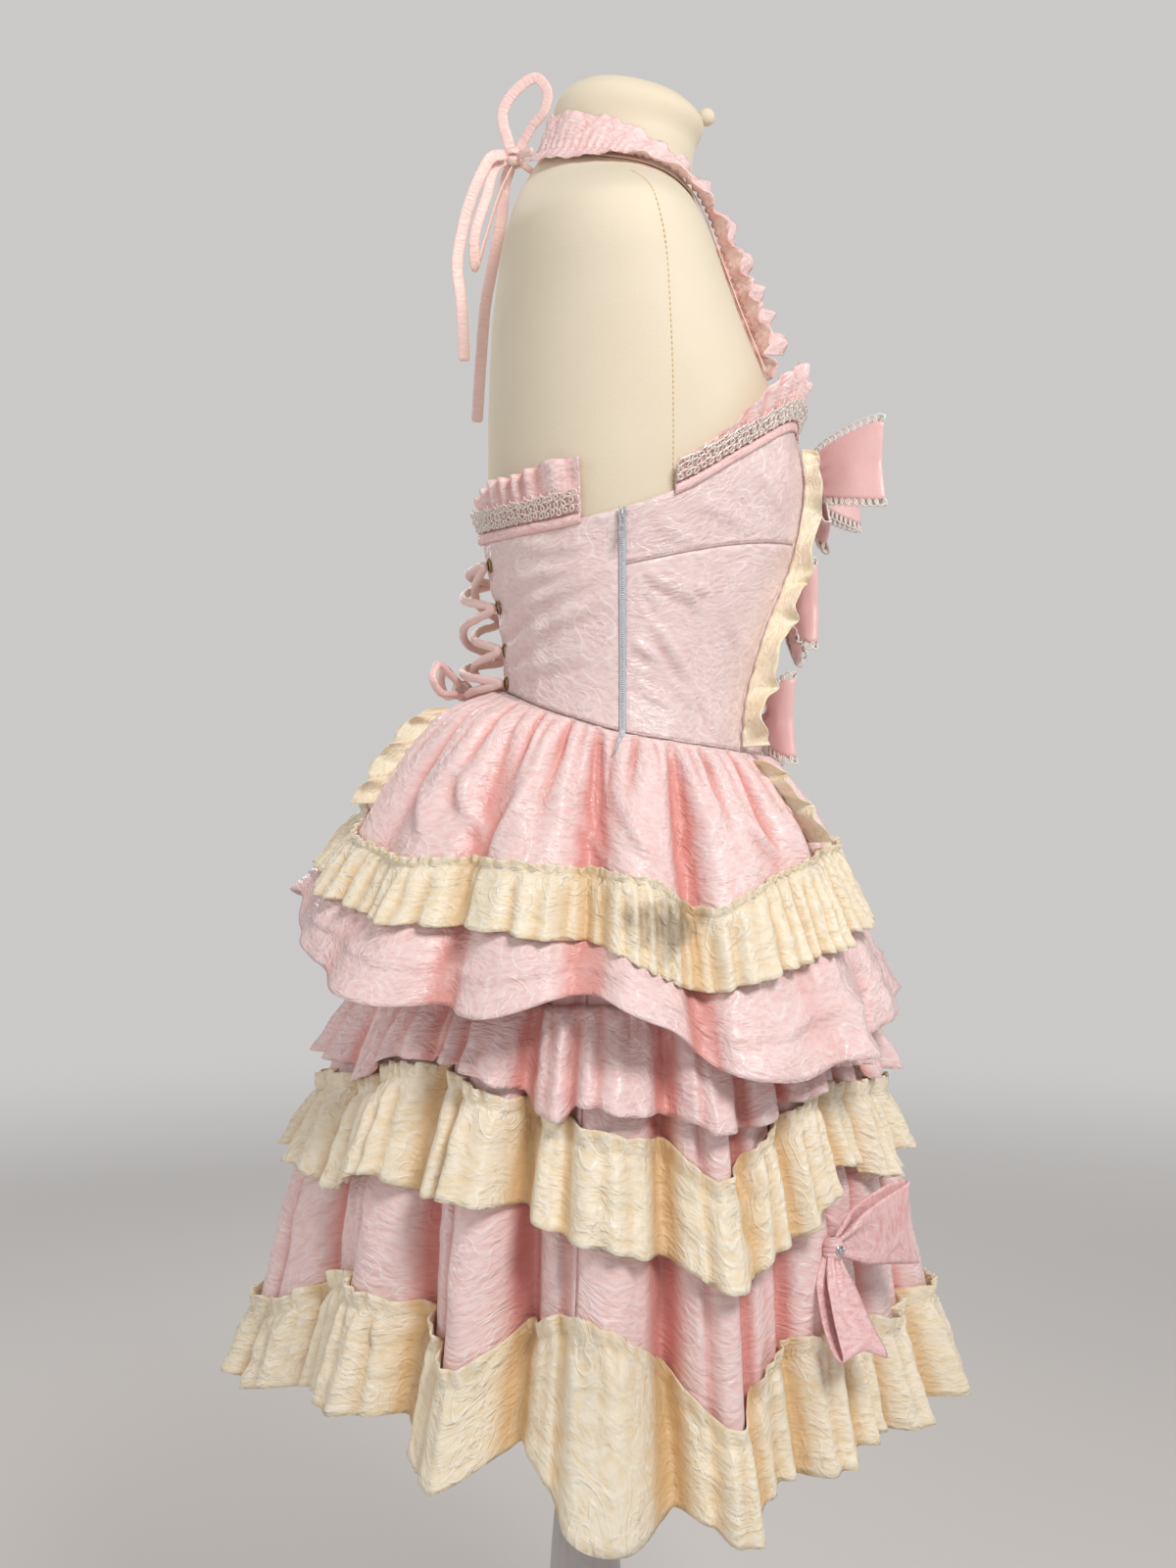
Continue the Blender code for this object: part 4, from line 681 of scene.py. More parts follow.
share = np.linspace(0, 1, 46)[:, None]
for name, node, first, last, columns in (("skirt_front_panel", "skirt_front", -8.93, 184.43, 330),
                                         ("skirt_back_panel", "skirt_back", 184.57, 350.93, 285)):
    azimuth = np.linspace(first, last, columns)[None, :]
    edge = smooth(SKIRT_FLUTES, azimuth, 2, 360)
    height = waist_height(azimuth) - 0.0003 - (waist_height(azimuth) - 0.0003 - edge) * share
    shown = np.clip((0.715 - height) / 0.02, 0, 1) * np.clip((height - 0.60) / 0.03, 0, 1)
    fine = 0.0012 * ripples(azimuth, height, 0.030, 3) * (0.35 + 0.9 * shown)
    fine += 0.0006 * ripples(azimuth, height, 0.012, 4, 0.6) * shown
    fine += creases(azimuth, height, SKIRT_CREASES) * shown
    seam = np.minimum(np.abs(azimuth - first), np.abs(azimuth - last))
    fine -= 0.0010 * np.exp(-(seam / 0.45) ** 2)
    limited = np.minimum(fine, 0.0010 + 0.003 * shown)
    panel = grid_mesh(name, polar_points(azimuth, fluted_outer(azimuth, height) + limited, height),
        pink_brocade, thickness=0.0012)
    wear(panel, "pink_jacquard", node)
    cloth_sheet(panel)

# The skirt's frills: strips about half as long again as the skirt is round, gathered on a thread and
# stitched down. The pink one is of the skirt's brocade; the two cream ones stand up in a small heading
# over the stitches.
FRILL_LINES = (  # azimuth; upper and lower edge of the pink frill, of the cream frill and of the hem frill
    (-90, 0.833, 0.772, 0.752, 0.700, 0.592, 0.532), (-79, 0.830, 0.770, 0.762, 0.705, 0.596, 0.535),
    (-64, 0.832, 0.768, 0.764, 0.688, 0.632, 0.556), (-50, 0.834, 0.772, 0.782, 0.718, 0.634, 0.557),
    (-38, 0.832, 0.766, 0.781, 0.702, 0.620, 0.546), (-29, 0.828, 0.770, 0.775, 0.700, 0.600, 0.530),
    (-19, 0.826, 0.762, 0.763, 0.690, 0.624, 0.548), (-3, 0.828, 0.760, 0.751, 0.680, 0.636, 0.517),
    (6, 0.824, 0.756, 0.741, 0.668, 0.600, 0.520), (15, 0.815, 0.752, 0.720, 0.651, 0.571, 0.515),
    (27, 0.820, 0.758, 0.742, 0.670, 0.600, 0.525), (38, 0.826, 0.768, 0.763, 0.700, 0.612, 0.528),
    (61, 0.828, 0.770, 0.762, 0.700, 0.600, 0.530), (88, 0.826, 0.766, 0.752, 0.694, 0.600, 0.524),
    (104, 0.826, 0.765, 0.748, 0.684, 0.606, 0.528), (131, 0.828, 0.768, 0.756, 0.690, 0.610, 0.530),
    (155, 0.824, 0.760, 0.742, 0.672, 0.596, 0.520), (182, 0.830, 0.768, 0.764, 0.690, 0.625, 0.548),
    (208, 0.828, 0.764, 0.752, 0.684, 0.622, 0.540), (234, 0.834, 0.772, 0.776, 0.704, 0.632, 0.556),
    (259, 0.830, 0.768, 0.757, 0.694, 0.604, 0.536),
)
# The second and fourth colours are painted shade, for the pucker hollows and for the folds.
cream_brocade = brocade_material("cream crinkled brocade", colour(248, 238, 216), colour(243, 226, 192),
                                 colour(252, 248, 236), colour(220, 178, 118), 0.44, 0.0015, roses=17.0,
                                 puckers=230.0, sheen=0.25)


def gathered_frill(name, top, stitched, hem, base, flare, swing, folds, seed, look, heading=0, step=0.0):
    """A strip gathered on its stitched line: tight small pleats there, opening into wide uneven folds."""
    azimuth = np.linspace(-90, 270, 620, endpoint=False)[None, :]
    top, stitched, hem = (line(azimuth) for line in (top, stitched, hem))
    wide = gathered_phase(azimuth, folds, seed)
    fold = (0.5 + 0.5 * np.cos(wide)) ** 0.8
    tight = gathered_phase(azimuth, folds * 6.4, seed + 1)
    uneven = 0.75 + 0.25 * ripples(azimuth, 0, 0.09, seed + 2)
    down = np.linspace(0, 1, 17)[:, None]
    hem = hem + 0.0016 * ripples(azimuth, 0, 0.05, seed + 3) - 0.0022 * fold * uneven
    hem = hem + flute_steps(azimuth, seed + 6, step)
    height = stitched * (1 - down) + hem * down
    below = stitched - height
    spread = flare * down**0.8 + swing * uneven * fold * down**0.9
    pull = 0.55 + 0.45 * ripples(azimuth, 0, 0.05, seed + 7)
    pinch = np.exp(-below / (0.014 + 0.012 * pull)) * np.clip(below / 0.003, 0.3, 1)
    pleats = 0.0056 * pull * np.abs(np.sin(tight / 2)) * pinch
    middle = gathered_phase(azimuth, folds * 3.1, seed + 8) + 14 * below * ripples(azimuth, 0, 0.12, seed + 9)
    crumple = 0.0012 * ripples(azimuth, height, 0.022, seed + 4, 0.8) * np.clip(below / 0.01, 0, 1)
    crumple = crumple + 0.0030 * np.cos(middle) * (0.5 + 0.5 * pull) * np.clip(below / 0.012, 0, 1)
    turned_hem = 0.0005 * np.clip((hem + 0.006 - height) / 0.001, 0, 1)
    radius = base(azimuth, height) + spread + pleats + crumple + turned_hem
    if heading:
        up = np.linspace(1, 0, 6)[:-1, None]
        ragged = 0.0009 * np.cos(tight * 0.5) + 0.0010 * ripples(azimuth, 0, 0.02, seed + 5)
        head_height = stitched + (top + ragged - stitched) * up
        heading_folds = 0.0022 * (1 + np.cos(tight)) * up**0.6
        head_radius = base(azimuth, head_height) + 0.0006 + 0.0014 * up + heading_folds
        height = np.concatenate([head_height, height])
        radius = np.concatenate([head_radius, radius])
    wide_azimuth = azimuth + 0.35 * np.sin(wide) * np.clip((stitched - height) / 0.05, 0, 1)
    piece = grid_mesh(name, polar_points(wide_azimuth, radius, height), look, ring=True, thickness=0.0011)
    return piece


def over_skirt(azimuth, height):
    return fluted_outer(azimuth, height) + LAYER_CLEARANCE + SKIRT_CLOTH - 0.0002


def frill_line(column, shift=0.0):
    return lambda azimuth: smooth(FRILL_LINES, azimuth, column, 360) + shift


def pink_hem(azimuth):
    return np.maximum(frill_line(2)(azimuth), frill_line(3)(azimuth) + 0.006)


pink_frill = gathered_frill("pink_skirt_frill", frill_line(1), frill_line(1), pink_hem, over_skirt, 0.009,
    0.0064, 20, 21, pink_brocade, step=0.007)
wear(pink_frill, "pink_jacquard", "skirt_frill_pink")
cloth_sheet(pink_frill)
for name, node, column, seed, swing in (("cream_skirt_frill", "skirt_frill_cream", 3, 41, 0.0096),
                                        ("cream_hem_frill", "hem_frill_cream", 5, 61, 0.0104)):
    frill = gathered_frill(name, frill_line(column), frill_line(column, -0.012), frill_line(column + 1),
                           over_skirt, 0.010, swing, 22, seed, cream_brocade, heading=1, step=0.008)
    wear(frill, "cream_jacquard", node)
    cloth_sheet(frill)

# The overskirt: a wide piece of the same brocade, drawn up on a thread at the waist, so that deep soft folds
# fall from it. It is shorter at the back, and its lower edge carries the cream band and the flounce.
OVERSKIRT_PROFILE = (  # depth below the waist seam, back y, front y, half width
    (0.000, 0.070, -0.139, 0.128), (0.012, 0.098, -0.146, 0.141), (0.030, 0.118, -0.158, 0.153),
    (0.055, 0.136, -0.172, 0.168), (0.085, 0.153, -0.181, 0.182), (0.115, 0.172, -0.191, 0.193),
    (0.150, 0.188, -0.201, 0.202), (0.200, 0.200, -0.212, 0.210),
)
OVERSKIRT_LINES = (  # azimuth, top and bottom of the cream band, bottom of the flounce
    (-90, 0.948, 0.915, 0.872), (-68, 0.928, 0.896, 0.848), (-48, 0.914, 0.880, 0.832),
    (-26, 0.914, 0.878, 0.826), (-12, 0.909, 0.872, 0.834), (-3, 0.906, 0.866, 0.838),
    (5, 0.900, 0.848, 0.822), (13, 0.882, 0.838, 0.794), (24, 0.893, 0.848, 0.784),
    (42, 0.910, 0.857, 0.789), (62, 0.918, 0.868, 0.797), (90, 0.922, 0.870, 0.808),
    (120, 0.914, 0.864, 0.800), (150, 0.898, 0.850, 0.790), (172, 0.896, 0.848, 0.800),
    (192, 0.910, 0.868, 0.830), (222, 0.914, 0.880, 0.832), (248, 0.930, 0.898, 0.850),
)
WAIST_GATHERS = (  # azimuth at the seam, drift of the azimuth, length, depth
    (-62, -2, 0.050, 1.0), (-55, -1, 0.075, 0.8), (-48, 0, 0.045, 1.0), (-41, -2, 0.085, 0.9),
    (-34, 0, 0.050, 0.7), (-28, -1, 0.095, 1.1), (-23, -2, 0.040, 0.8), (-18, -2, 0.090, 1.2),
    (-13, 0, 0.050, 0.8), (-9, 1, 0.110, 1.1), (-4, -2, 0.050, 0.8), (2, -4, 0.060, 1.0), (7, 2, 0.045, 0.8),
    (12, 1, 0.110, 1.1), (17, 2, 0.045, 0.8), (22, 1, 0.075, 1.0), (28, 2, 0.040, 0.7), (34, 3, 0.085, 1.0),
    (41, 2, 0.050, 0.8), (48, 2, 0.070, 0.9), (56, 3, 0.045, 0.9), (63, 2, 0.090, 1.0), (71, 2, 0.050, 0.8),
    (80, 1, 0.080, 1.0), (89, 0, 0.055, 0.9),
)


def waist_pleats(azimuth, below):
    """How far each point lies in a pleat drawn up at the waist, from 0 to about 1."""
    total = 0.0
    places = list(WAIST_GATHERS)
    for turn, drift, long, deep in WAIST_GATHERS[:-1]:
        places.append((180 - turn + 2.5, -drift, 0.9 * long + 0.01, deep))
    places += [(turn, 0, 0.06, 0.9) for turn in (-90, -83, -76, -69, 249, 256, 263)]
    for turn, drift, long, deep in places:
        away = np.mod(azimuth - turn - drift * below / long + 180, 360) - 180
        deep = deep * (0.55 if long < 0.06 else 1.15)
        width = (0.7 if long < 0.06 else 1.3) + 17 * below
        fade = np.clip(1.15 - below / long, 0, 1) ** 0.7
        total = np.maximum(total, deep * np.exp(-(away / width) ** 2) * fade)
    return total


def overskirt_outer(azimuth, height):
    """Outer face of the overskirt before its small pleats and creases."""
    below = np.clip(waist_height(azimuth) - height, 0, None)
    mean = section_radius(OVERSKIRT_PROFILE, azimuth, below)
    full = np.clip(below / 0.05, 0, 1)
    folds = 0.0042 * full * (1 + np.cos(np.radians(16 * azimuth)))
    deep = full * (0.016 * np.exp(-np.abs((azimuth + 8.0) / 4.6) ** 3)
                   + 0.014 * np.exp(-np.abs((azimuth - 12.0) / 3.0) ** 3)
                   + 0.009 * np.exp(-np.abs((azimuth + 33.0) / 3.5) ** 3))
    return np.maximum(mean + folds - deep, skirt_outer(azimuth, height) + 0.0012 + 0.002 * full) + 0.0016


def overskirt_line(column, shift=0.0):
    return lambda azimuth: smooth(OVERSKIRT_LINES, azimuth, column, 360) + shift


OVERSKIRT_CREASES = (
    (-44, 0.990, -31, 0.930, 0.0050, 0.0050), (-56, 0.985, -42, 0.930, 0.0055, 0.0042),
    (-22, 0.972, -30, 0.922, 0.0045, 0.0046), (-3, 0.968, 5, 0.918, 0.0050, 0.0052),
    (-12, 0.952, -4, 0.915, 0.0040, 0.0036), (22, 0.960, 10, 0.905, 0.0048, 0.0046),
    (26, 0.955, 39, 0.918, 0.0050, 0.0044), (48, 0.965, 58, 0.925, 0.0055, 0.0040),
    (72, 0.965, 83, 0.928, 0.0055, 0.0040), (108, 0.960, 97, 0.925, 0.0055, 0.0042),
    (138, 0.965, 149, 0.918, 0.0055, 0.0044), (168, 0.968, 157, 0.920, 0.0055, 0.0042),
    (190, 0.972, 179, 0.928, 0.0055, 0.0044), (217, 0.980, 206, 0.932, 0.0055, 0.0042),
    (241, 0.990, 229, 0.942, 0.0055, 0.0040),
)
azimuth = np.linspace(-90, 270, 560, endpoint=False)[None, :]
share = np.linspace(0, 1, 36)[:, None] ** 1.3
waist = waist_height(azimuth) - 0.0003
height = waist * (1 - share) + overskirt_line(2, 0.013)(azimuth) * share
below = waist - height
pleat = waist_pleats(azimuth, below)
puff = 0.0042 * (1 - np.exp(-below / 0.005)) * np.exp(-below / 0.09)
waist_pinch = 0.0034 * pleat * np.clip(below / 0.02, 0, 1)
radius = overskirt_outer(azimuth, height) + puff * (1 - 1.9 * pleat) - waist_pinch
radius += 0.0010 * ripples(azimuth, height, 0.030, 11, 1.6) * np.clip(below / 0.02, 0, 1)
radius += creases(azimuth, height, OVERSKIRT_CREASES, 0.17)
radius = np.maximum(radius, skirt_outer(azimuth, height) + 0.0016)
overskirt = grid_mesh("overskirt_cloth", polar_points(azimuth, radius, height), pink_brocade, ring=True,
                      thickness=0.0010)
wear(overskirt, "pink_jacquard", "overskirt")
cloth_sheet(overskirt)

# The overskirt's cream band: a strip of the crinkled cream brocade, gathered along its upper edge and
# stitched over the seam between the overskirt and the flounce. It has one grey-brown water stain on the
# wearer's right.
stained_brocade = cream_brocade.copy()
stained_brocade.name = "cream brocade with a stain"
tree = stained_brocade.node_tree
shader = next(node for node in tree.nodes if node.type == "BSDF_PRINCIPLED")
clean = shader.inputs["Base Color"].links[0].from_socket
place = put(tree, "ShaderNodeTexCoord")
ragged = noise(tree, place.outputs["Object"], 55.0, Detail=4.0)
offset = vector_maths(tree, "SUBTRACT", place.outputs["Object"], (-0.20, -0.053, 0.879))
flat = vector_maths(tree, "MULTIPLY", offset.outputs[0], (0.25, 1.0, 1.35))
away = put(tree, "ShaderNodeVectorMath", {0: flat.outputs[0]}, operation="LENGTH")
shore = maths(tree, "MULTIPLY_ADD", ragged.outputs["Fac"], -0.050, away.outputs["Value"])
strength = mapped(tree, shore.outputs[0], -0.014, 0.003, 0.80, 0.0)
stained = put(tree, "ShaderNodeMix", {"Factor": strength.outputs[0], "A": clean, "B": colour(142, 124, 100)},
              data_type="RGBA")
tree.links.new(stained.outputs["Result"], shader.inputs["Base Color"])
band = gathered_frill("cream_overskirt_band", overskirt_line(1, 0.008), overskirt_line(1, 0.002),
    overskirt_line(2), lambda turn, at: overskirt_outer(turn, at) + 0.0031, 0.0056, 0.0084, 30, 81,
    stained_brocade, heading=1)
wear(band, "cream_jacquard", "overskirt_band")
cloth_sheet(band)

# The overskirt's flounce: a wide pink strip gathered under the band. It stands well away from the skirt,
# with the deep fold of its turned-up hem pressed into it as a crease.
azimuth = np.linspace(-90, 270, 600, endpoint=False)[None, :]
band_bottom = overskirt_line(2)(azimuth)
back_lift = 0.020 * np.exp(-((np.mod(azimuth + 90 + 180, 360) - 180) / 28) ** 2)
front_lift = 0.010 * np.exp(-((azimuth - 90) / 30) ** 2)
wide = gathered_phase(azimuth, 15, 91)
fold = 0.5 + 0.5 * np.cos(wide)
bottom = overskirt_line(3)(azimuth) + back_lift + front_lift - 0.003 * fold
bottom = bottom + 0.0015 * ripples(azimuth, 0, 0.05, 92)
down = np.linspace(0, 1, 23)[:, None]
height = (band_bottom + 0.010) * (1 - down) + bottom * down
broad = 1 + np.cos(np.radians(8 * azimuth + 40))
start = overskirt_outer(azimuth, band_bottom + 0.010)
clear = skirt_outer(azimuth, bottom) + LAYER_CLEARANCE + SKIRT_CLOTH + 0.016 + 0.0060
end = np.maximum(overskirt_outer(azimuth, band_bottom) + 0.026 + 0.006 * broad, clear)
tight = np.cos(gathered_phase(azimuth, 85, 93))
crease = np.exp(-((down - 0.60 - 0.05 * ripples(azimuth, 0, 0.12, 94)) / 0.035) ** 2)
radius = start + (end - start) * down**0.9 + 0.0060 * (fold - 0.5) * down
radius += 0.0010 * tight * np.clip(1 - down / 0.5, 0, 1) + 0.0026 * crease
radius += 0.0019 * ripples(azimuth, height, 0.028, 95, 0.8) * np.clip(down / 0.3, 0, 1)
radius = np.maximum(radius, start + 0.0004 * down)
flounce = grid_mesh("pink_flounce", polar_points(azimuth, radius, height), pink_brocade, ring=True,
                    thickness=0.0012)
wear(flounce, "pink_jacquard", "overskirt_flounce")
cloth_sheet(flounce)

# The bodice: seven panels of the rose brocade, a little cooler in tone than the skirt, cut close to the
# body and seamed. It is worn tight, so that long shallow creases run across it between the zip, the bust
# and the waist.
TOP_LINE = ((-69, 1.148), (-40, 1.146), (-14, 1.150), (-2, 1.156), (12, 1.168), (32, 1.197), (50, 1.219),
            (75, 1.231), (90, 1.228))
CUP_LINE = ((-2, 1.118), (33, 1.135), (70, 1.144), (90, 1.146))
FRONT_SEAM = ((0.985, 42), (1.050, 52), (1.090, 59), (1.120, 67), (1.170, 71), (1.235, 73))  # height, azimuth
BODICE_CREASES = (
    (-82, 1.078, -4, 1.116, 0.0055, 0.0026), (-66, 1.062, -4, 1.098, 0.0055, 0.0028),
    (-82, 1.112, -5, 1.121, 0.0045, 0.0020), (-58, 1.050, -12, 1.060, 0.0050, 0.0018),
    (-48, 1.142, -10, 1.130, 0.0050, 0.0012), (-60, 1.096, -30, 1.088, 0.0040, -0.0010),
    (5, 1.114, 20, 1.094, 0.0032, 0.0028), (13, 1.113, 24, 1.087, 0.0030, 0.0025),
    (19, 1.107, 27, 1.098, 0.0026, 0.0020), (1, 1.067, 10, 1.054, 0.0036, 0.0027),
    (7, 1.089, 22, 1.036, 0.0042, 0.0029), (4, 1.100, 14, 1.066, 0.0036, -0.0018),
    (24, 1.040, 33, 0.997, 0.0040, 0.0015), (12, 1.046, 24, 1.020, 0.0035, 0.0013),
    (2, 1.040, 14, 1.022, 0.0035, 0.0012), (30, 1.098, 48, 1.060, 0.0050, 0.0012),
    (6, 1.150, 24, 1.126, 0.0040, 0.0012), (16, 1.166, 40, 1.146, 0.0050, 0.0013),
    (36, 1.192, 58, 1.160, 0.0060, 0.0012), (70, 1.090, 108, 1.094, 0.0050, 0.0010),
    (64, 1.060, 116, 1.055, 0.0050, 0.0011), (60, 1.028, 120, 1.032, 0.0050, 0.0011),
)


def bodice_outer(azimuth, height):
    """Outer face of the bodice, which stands off the body a little at the top of the back."""
    behind = np.clip((-np.sin(np.radians(azimuth)) - 0.4) / 0.4, 0, 1)
    return form_radius(azimuth, height) + 0.0034 + 0.006 * behind * np.clip((height - 1.085) / 0.06, 0, 1)


def top_height(azimuth):
    return mirrored(TOP_LINE, azimuth)


def cup_height(azimuth):
    return mirrored(CUP_LINE, azimuth)


def front_seam(height):
    return smooth(FRONT_SEAM, height)


def side_seam(height):
    return -2.0 + 0 * height


def lacing_edge(height):
    return -69.0 + 0 * height


def seam_shares(count, end):
    """Shares from 0 to 1 that lie close together near both ends, where the cloth turns into its seams."""
    share = np.linspace(0, 1, count)
    return (1 - end) * share + end * (0.5 - 0.5 * np.cos(math.pi * share))


def bodice_panel(name, node, slack, left, right, low, high, rows, columns, mirror=False):
    """A panel between two seams, its edges rolled in, with the creases of tight wear."""
    across = seam_shares(columns, 0.45)[None, :]
    up = seam_shares(rows, 0.45)[:, None]
    azimuth = left(1.10) * (1 - across) + right(1.10) * across
    for _ in range(8):
        height = low(azimuth) * (1 - up) + high(azimuth) * up
        azimuth = (left(height) + 0.07) * (1 - across) + (right(height) - 0.07) * across
    reach = 0.14 * np.radians(right(height) - left(height))
    side = np.minimum(across, 1 - across) * reach
    end = np.minimum(up, 1 - up) * (high(azimuth) - low(azimuth))
    roll = 0.0013 * (np.exp(-(side / 0.0016) ** 2) + np.exp(-(end / 0.0013) ** 2))
    puckers = 0.00045 * ripples(azimuth, height, 0.011, slack, 0.5) * np.exp(-np.minimum(side, end) / 0.012)
    settle = np.clip(np.minimum(side, end) / 0.006, 0, 1)
    fine = creases(azimuth, height, BODICE_CREASES, 0.14)
    fine = fine + 0.0006 * ripples(azimuth, height, 0.045, slack + 1)
    radius = bodice_outer(azimuth, height) + np.maximum(fine * settle + puckers - roll, -0.0013)
    grid = polar_points(azimuth, radius, height)
    if mirror:
        grid = grid * (-1, 1, 1)
    piece = grid_mesh(name, grid, bodice_brocade, thickness=0.0011)
    wear(piece, "pink_jacquard", node)
    return cloth_sheet(piece)


# The second and fourth colours are painted shade, for the pucker hollows and for the folds.
bodice_brocade = brocade_material("bodice brocade", colour(238, 217, 215), colour(232, 203, 201),
                                  colour(250, 238, 238), colour(204, 146, 142), 0.30, 0.0007, roses=19.0,
                                  puckers=360.0, dent_depth=0.0012)
for side, mirror in (("right", False), ("left", True)):
    seed = 140 if mirror else 120
    bodice_panel(f"bodice_back_panel_{side}", f"bodice_back_{side}", seed, lacing_edge, side_seam,
        waist_height, top_height, 48, 72, mirror)
    bodice_panel(f"bodice_lower_front_{side}", f"bodice_side_front_{side}", seed + 3, side_seam, front_seam,
                 waist_height, lambda turn: cup_height(turn) - 0.0003, 56, 62, mirror)
    bodice_panel(f"bodice_cup_panel_{side}", f"bodice_cup_{side}", seed + 6, side_seam, front_seam,
        cup_height, top_height, 38, 72, mirror)
bodice_panel("bodice_front_panel", "bodice_front_centre", 160, front_seam,
             lambda at: 180 - front_seam(at), waist_height, top_height, 68, 48)

# The bodice's seams: a row of fine pink machine stitches beside each join, and one round the waist.
pink_thread, tree, shader = new_material("pink thread", Roughness=0.5)
fibre = put(tree, "ShaderNodeTexNoise", {"Scale": 900.0, "Detail": 2.0})
tint(tree, shader, fibre.outputs["Fac"], colour(226, 178, 176), colour(244, 212, 210))
right_turn = np.linspace(-1, 66, 160)
cup_stitches = polar_points(right_turn, bodice_outer(right_turn, cup_height(right_turn) + 0.0024) + 0.0002,
                            cup_height(right_turn) + 0.0024)
all_round = np.linspace(-66, 246, 700)
waist_stitches = polar_points(all_round, bodice_outer(all_round, waist_height(all_round) + 0.0028) + 0.0002,
                              waist_height(all_round) + 0.0028)
seam_height = np.linspace(1.000, 1.224, 120)
front_stitches = polar_points(front_seam(seam_height) + 1.0,
                              bodice_outer(front_seam(seam_height) + 1.0, seam_height) + 0.0002, seam_height)
bodice_seams = along_lines("bodice_seam_stitches", stitches,
                           [cup_stitches, cup_stitches * (-1, 1, 1), waist_stitches, front_stitches,
                            front_stitches * (-1, 1, 1)],
                           Thread=pink_thread, Spacing=0.0027, Length=0.0020, Width=0.00045)
wear(bodice_seams, "pink_jacquard")

# The side zip on the wearer's right: two woven grey tapes, a nylon coil between them, and a die-cast
# slider at the top whose pull tab hangs from a small crown. The zip runs on a little way below the waist
# seam.
zip_weave, tree, shader = new_material("zip tape", Roughness=0.55, Sheen_Weight=0.2)
place = put(tree, "ShaderNodeTexCoord")
ribs = put(tree, "ShaderNodeTexWave", {"Vector": place.outputs["Object"], "Scale": 420.0, "Distortion": 0.4},
           bands_direction="Z")
tint(tree, shader, ribs.outputs["Fac"], colour(178, 186, 194), colour(206, 212, 217))
relieve(tree, shader, ribs.outputs["Fac"], 0.5, 0.0003)
nickel, tree, shader = new_material("nickel-plated metal", Metallic=1.0, Roughness=0.28)
place = put(tree, "ShaderNodeTexCoord")
rubbed = noise(tree, place.outputs["Object"], 520.0, Detail=4.0)
tint(tree, shader, rubbed.outputs["Fac"], colour(206, 209, 214), colour(242, 244, 246))
gloss = mapped(tree, rubbed.outputs["Fac"], 0.0, 1.0, 0.18, 0.42)
tree.links.new(gloss.outputs["Result"], shader.inputs["Roughness"])


def zip_face(height):
    """Place of the zip's middle line: on the bodice, and below the waist in the overskirt's placket."""
    below = np.clip(waist_height(-2) - height, 0, None)
    azimuth = -2.0 - 140 * below
    cloth = np.where(below > 0, overskirt_outer(azimuth, height) + 0.0030 * (1 - np.exp(-below / 0.005)),
                     bodice_outer(azimuth, height))
    return azimuth, cloth + 0.0010


height = np.linspace(0.991, 1.1465, 70)[:, None]
middle, radius = zip_face(height)
narrow = np.clip((height - 0.991) / 0.012, 0.25, 1)
tape_parts = []
for name, inner_edge, outer_edge in (("back", -0.95, -0.28), ("front", 0.28, 0.95)):
    across = np.linspace(inner_edge, outer_edge, 6)[None, :] * narrow
    bulge = 0.0003 * np.cos(math.pi * (np.abs(across) / narrow - 0.6) / 0.7)
    tape_parts.append(grid_mesh(f"zip_tape_{name}", polar_points(middle + across, radius + bulge, height),
        zip_weave, thickness=0.0006))
for tape in tape_parts:
    wear(tape, "zip_tape", "zip_chain")


def teeth_tree():
    """Rounded teeth laid across a line: each is long across it, thin along it and faces one way."""
    tree = bpy.data.node_groups.new("coil along a line", "GeometryNodeTree")
    tree.interface.new_socket("Geometry", in_out="INPUT", socket_type="NodeSocketGeometry")
    for name, value in (("Spacing", 0.0013), ("Across", 0.0034), ("Thickness", 0.0011), ("Along", 0.0009)):
        tree.interface.new_socket(name, in_out="INPUT", socket_type="NodeSocketFloat").default_value = value
    tree.interface.new_socket("Facing", in_out="INPUT", socket_type="NodeSocketVector")
    tree.interface.new_socket("Look", in_out="INPUT", socket_type="NodeSocketMaterial")
    tree.interface.new_socket("Geometry", in_out="OUTPUT", socket_type="NodeSocketGeometry")
    given = tree.nodes.new("NodeGroupInput").outputs
    line = put(tree, "GeometryNodeMeshToCurve", {"Mesh": given["Geometry"]})
    spots = put(tree, "GeometryNodeCurveToPoints", {"Curve": line.outputs[0], "Length": given["Spacing"]},
                mode="LENGTH")
    turned_out = put(tree, "FunctionNodeAlignRotationToVector", {"Rotation": spots.outputs["Rotation"],
                                                                 "Vector": given["Facing"]},
                     axis="X", pivot_axis="Z")
    tooth = put(tree, "GeometryNodeMeshUVSphere", {"Segments": 8, "Rings": 5, "Radius": 0.5})
    size = put(tree, "ShaderNodeCombineXYZ",
        {"X": given["Thickness"], "Y": given["Across"], "Z": given["Along"]})
    placed = put(tree, "GeometryNodeInstanceOnPoints",
        {"Points": spots.outputs["Points"], "Instance": tooth.outputs["Mesh"],
        "Rotation": turned_out.outputs[0], "Scale": size.outputs[0]})
    real = put(tree, "GeometryNodeRealizeInstances", {"Geometry": placed.outputs[0]})
    rounded = put(tree, "GeometryNodeSetShadeSmooth", {"Geometry": real.outputs[0]})
    painted = put(tree, "GeometryNodeSetMaterial",
        {"Geometry": rounded.outputs[0], "Material": given["Look"]})
    tree.links.new(painted.outputs[0], tree.nodes.new("NodeGroupOutput").inputs[0])
    return tree


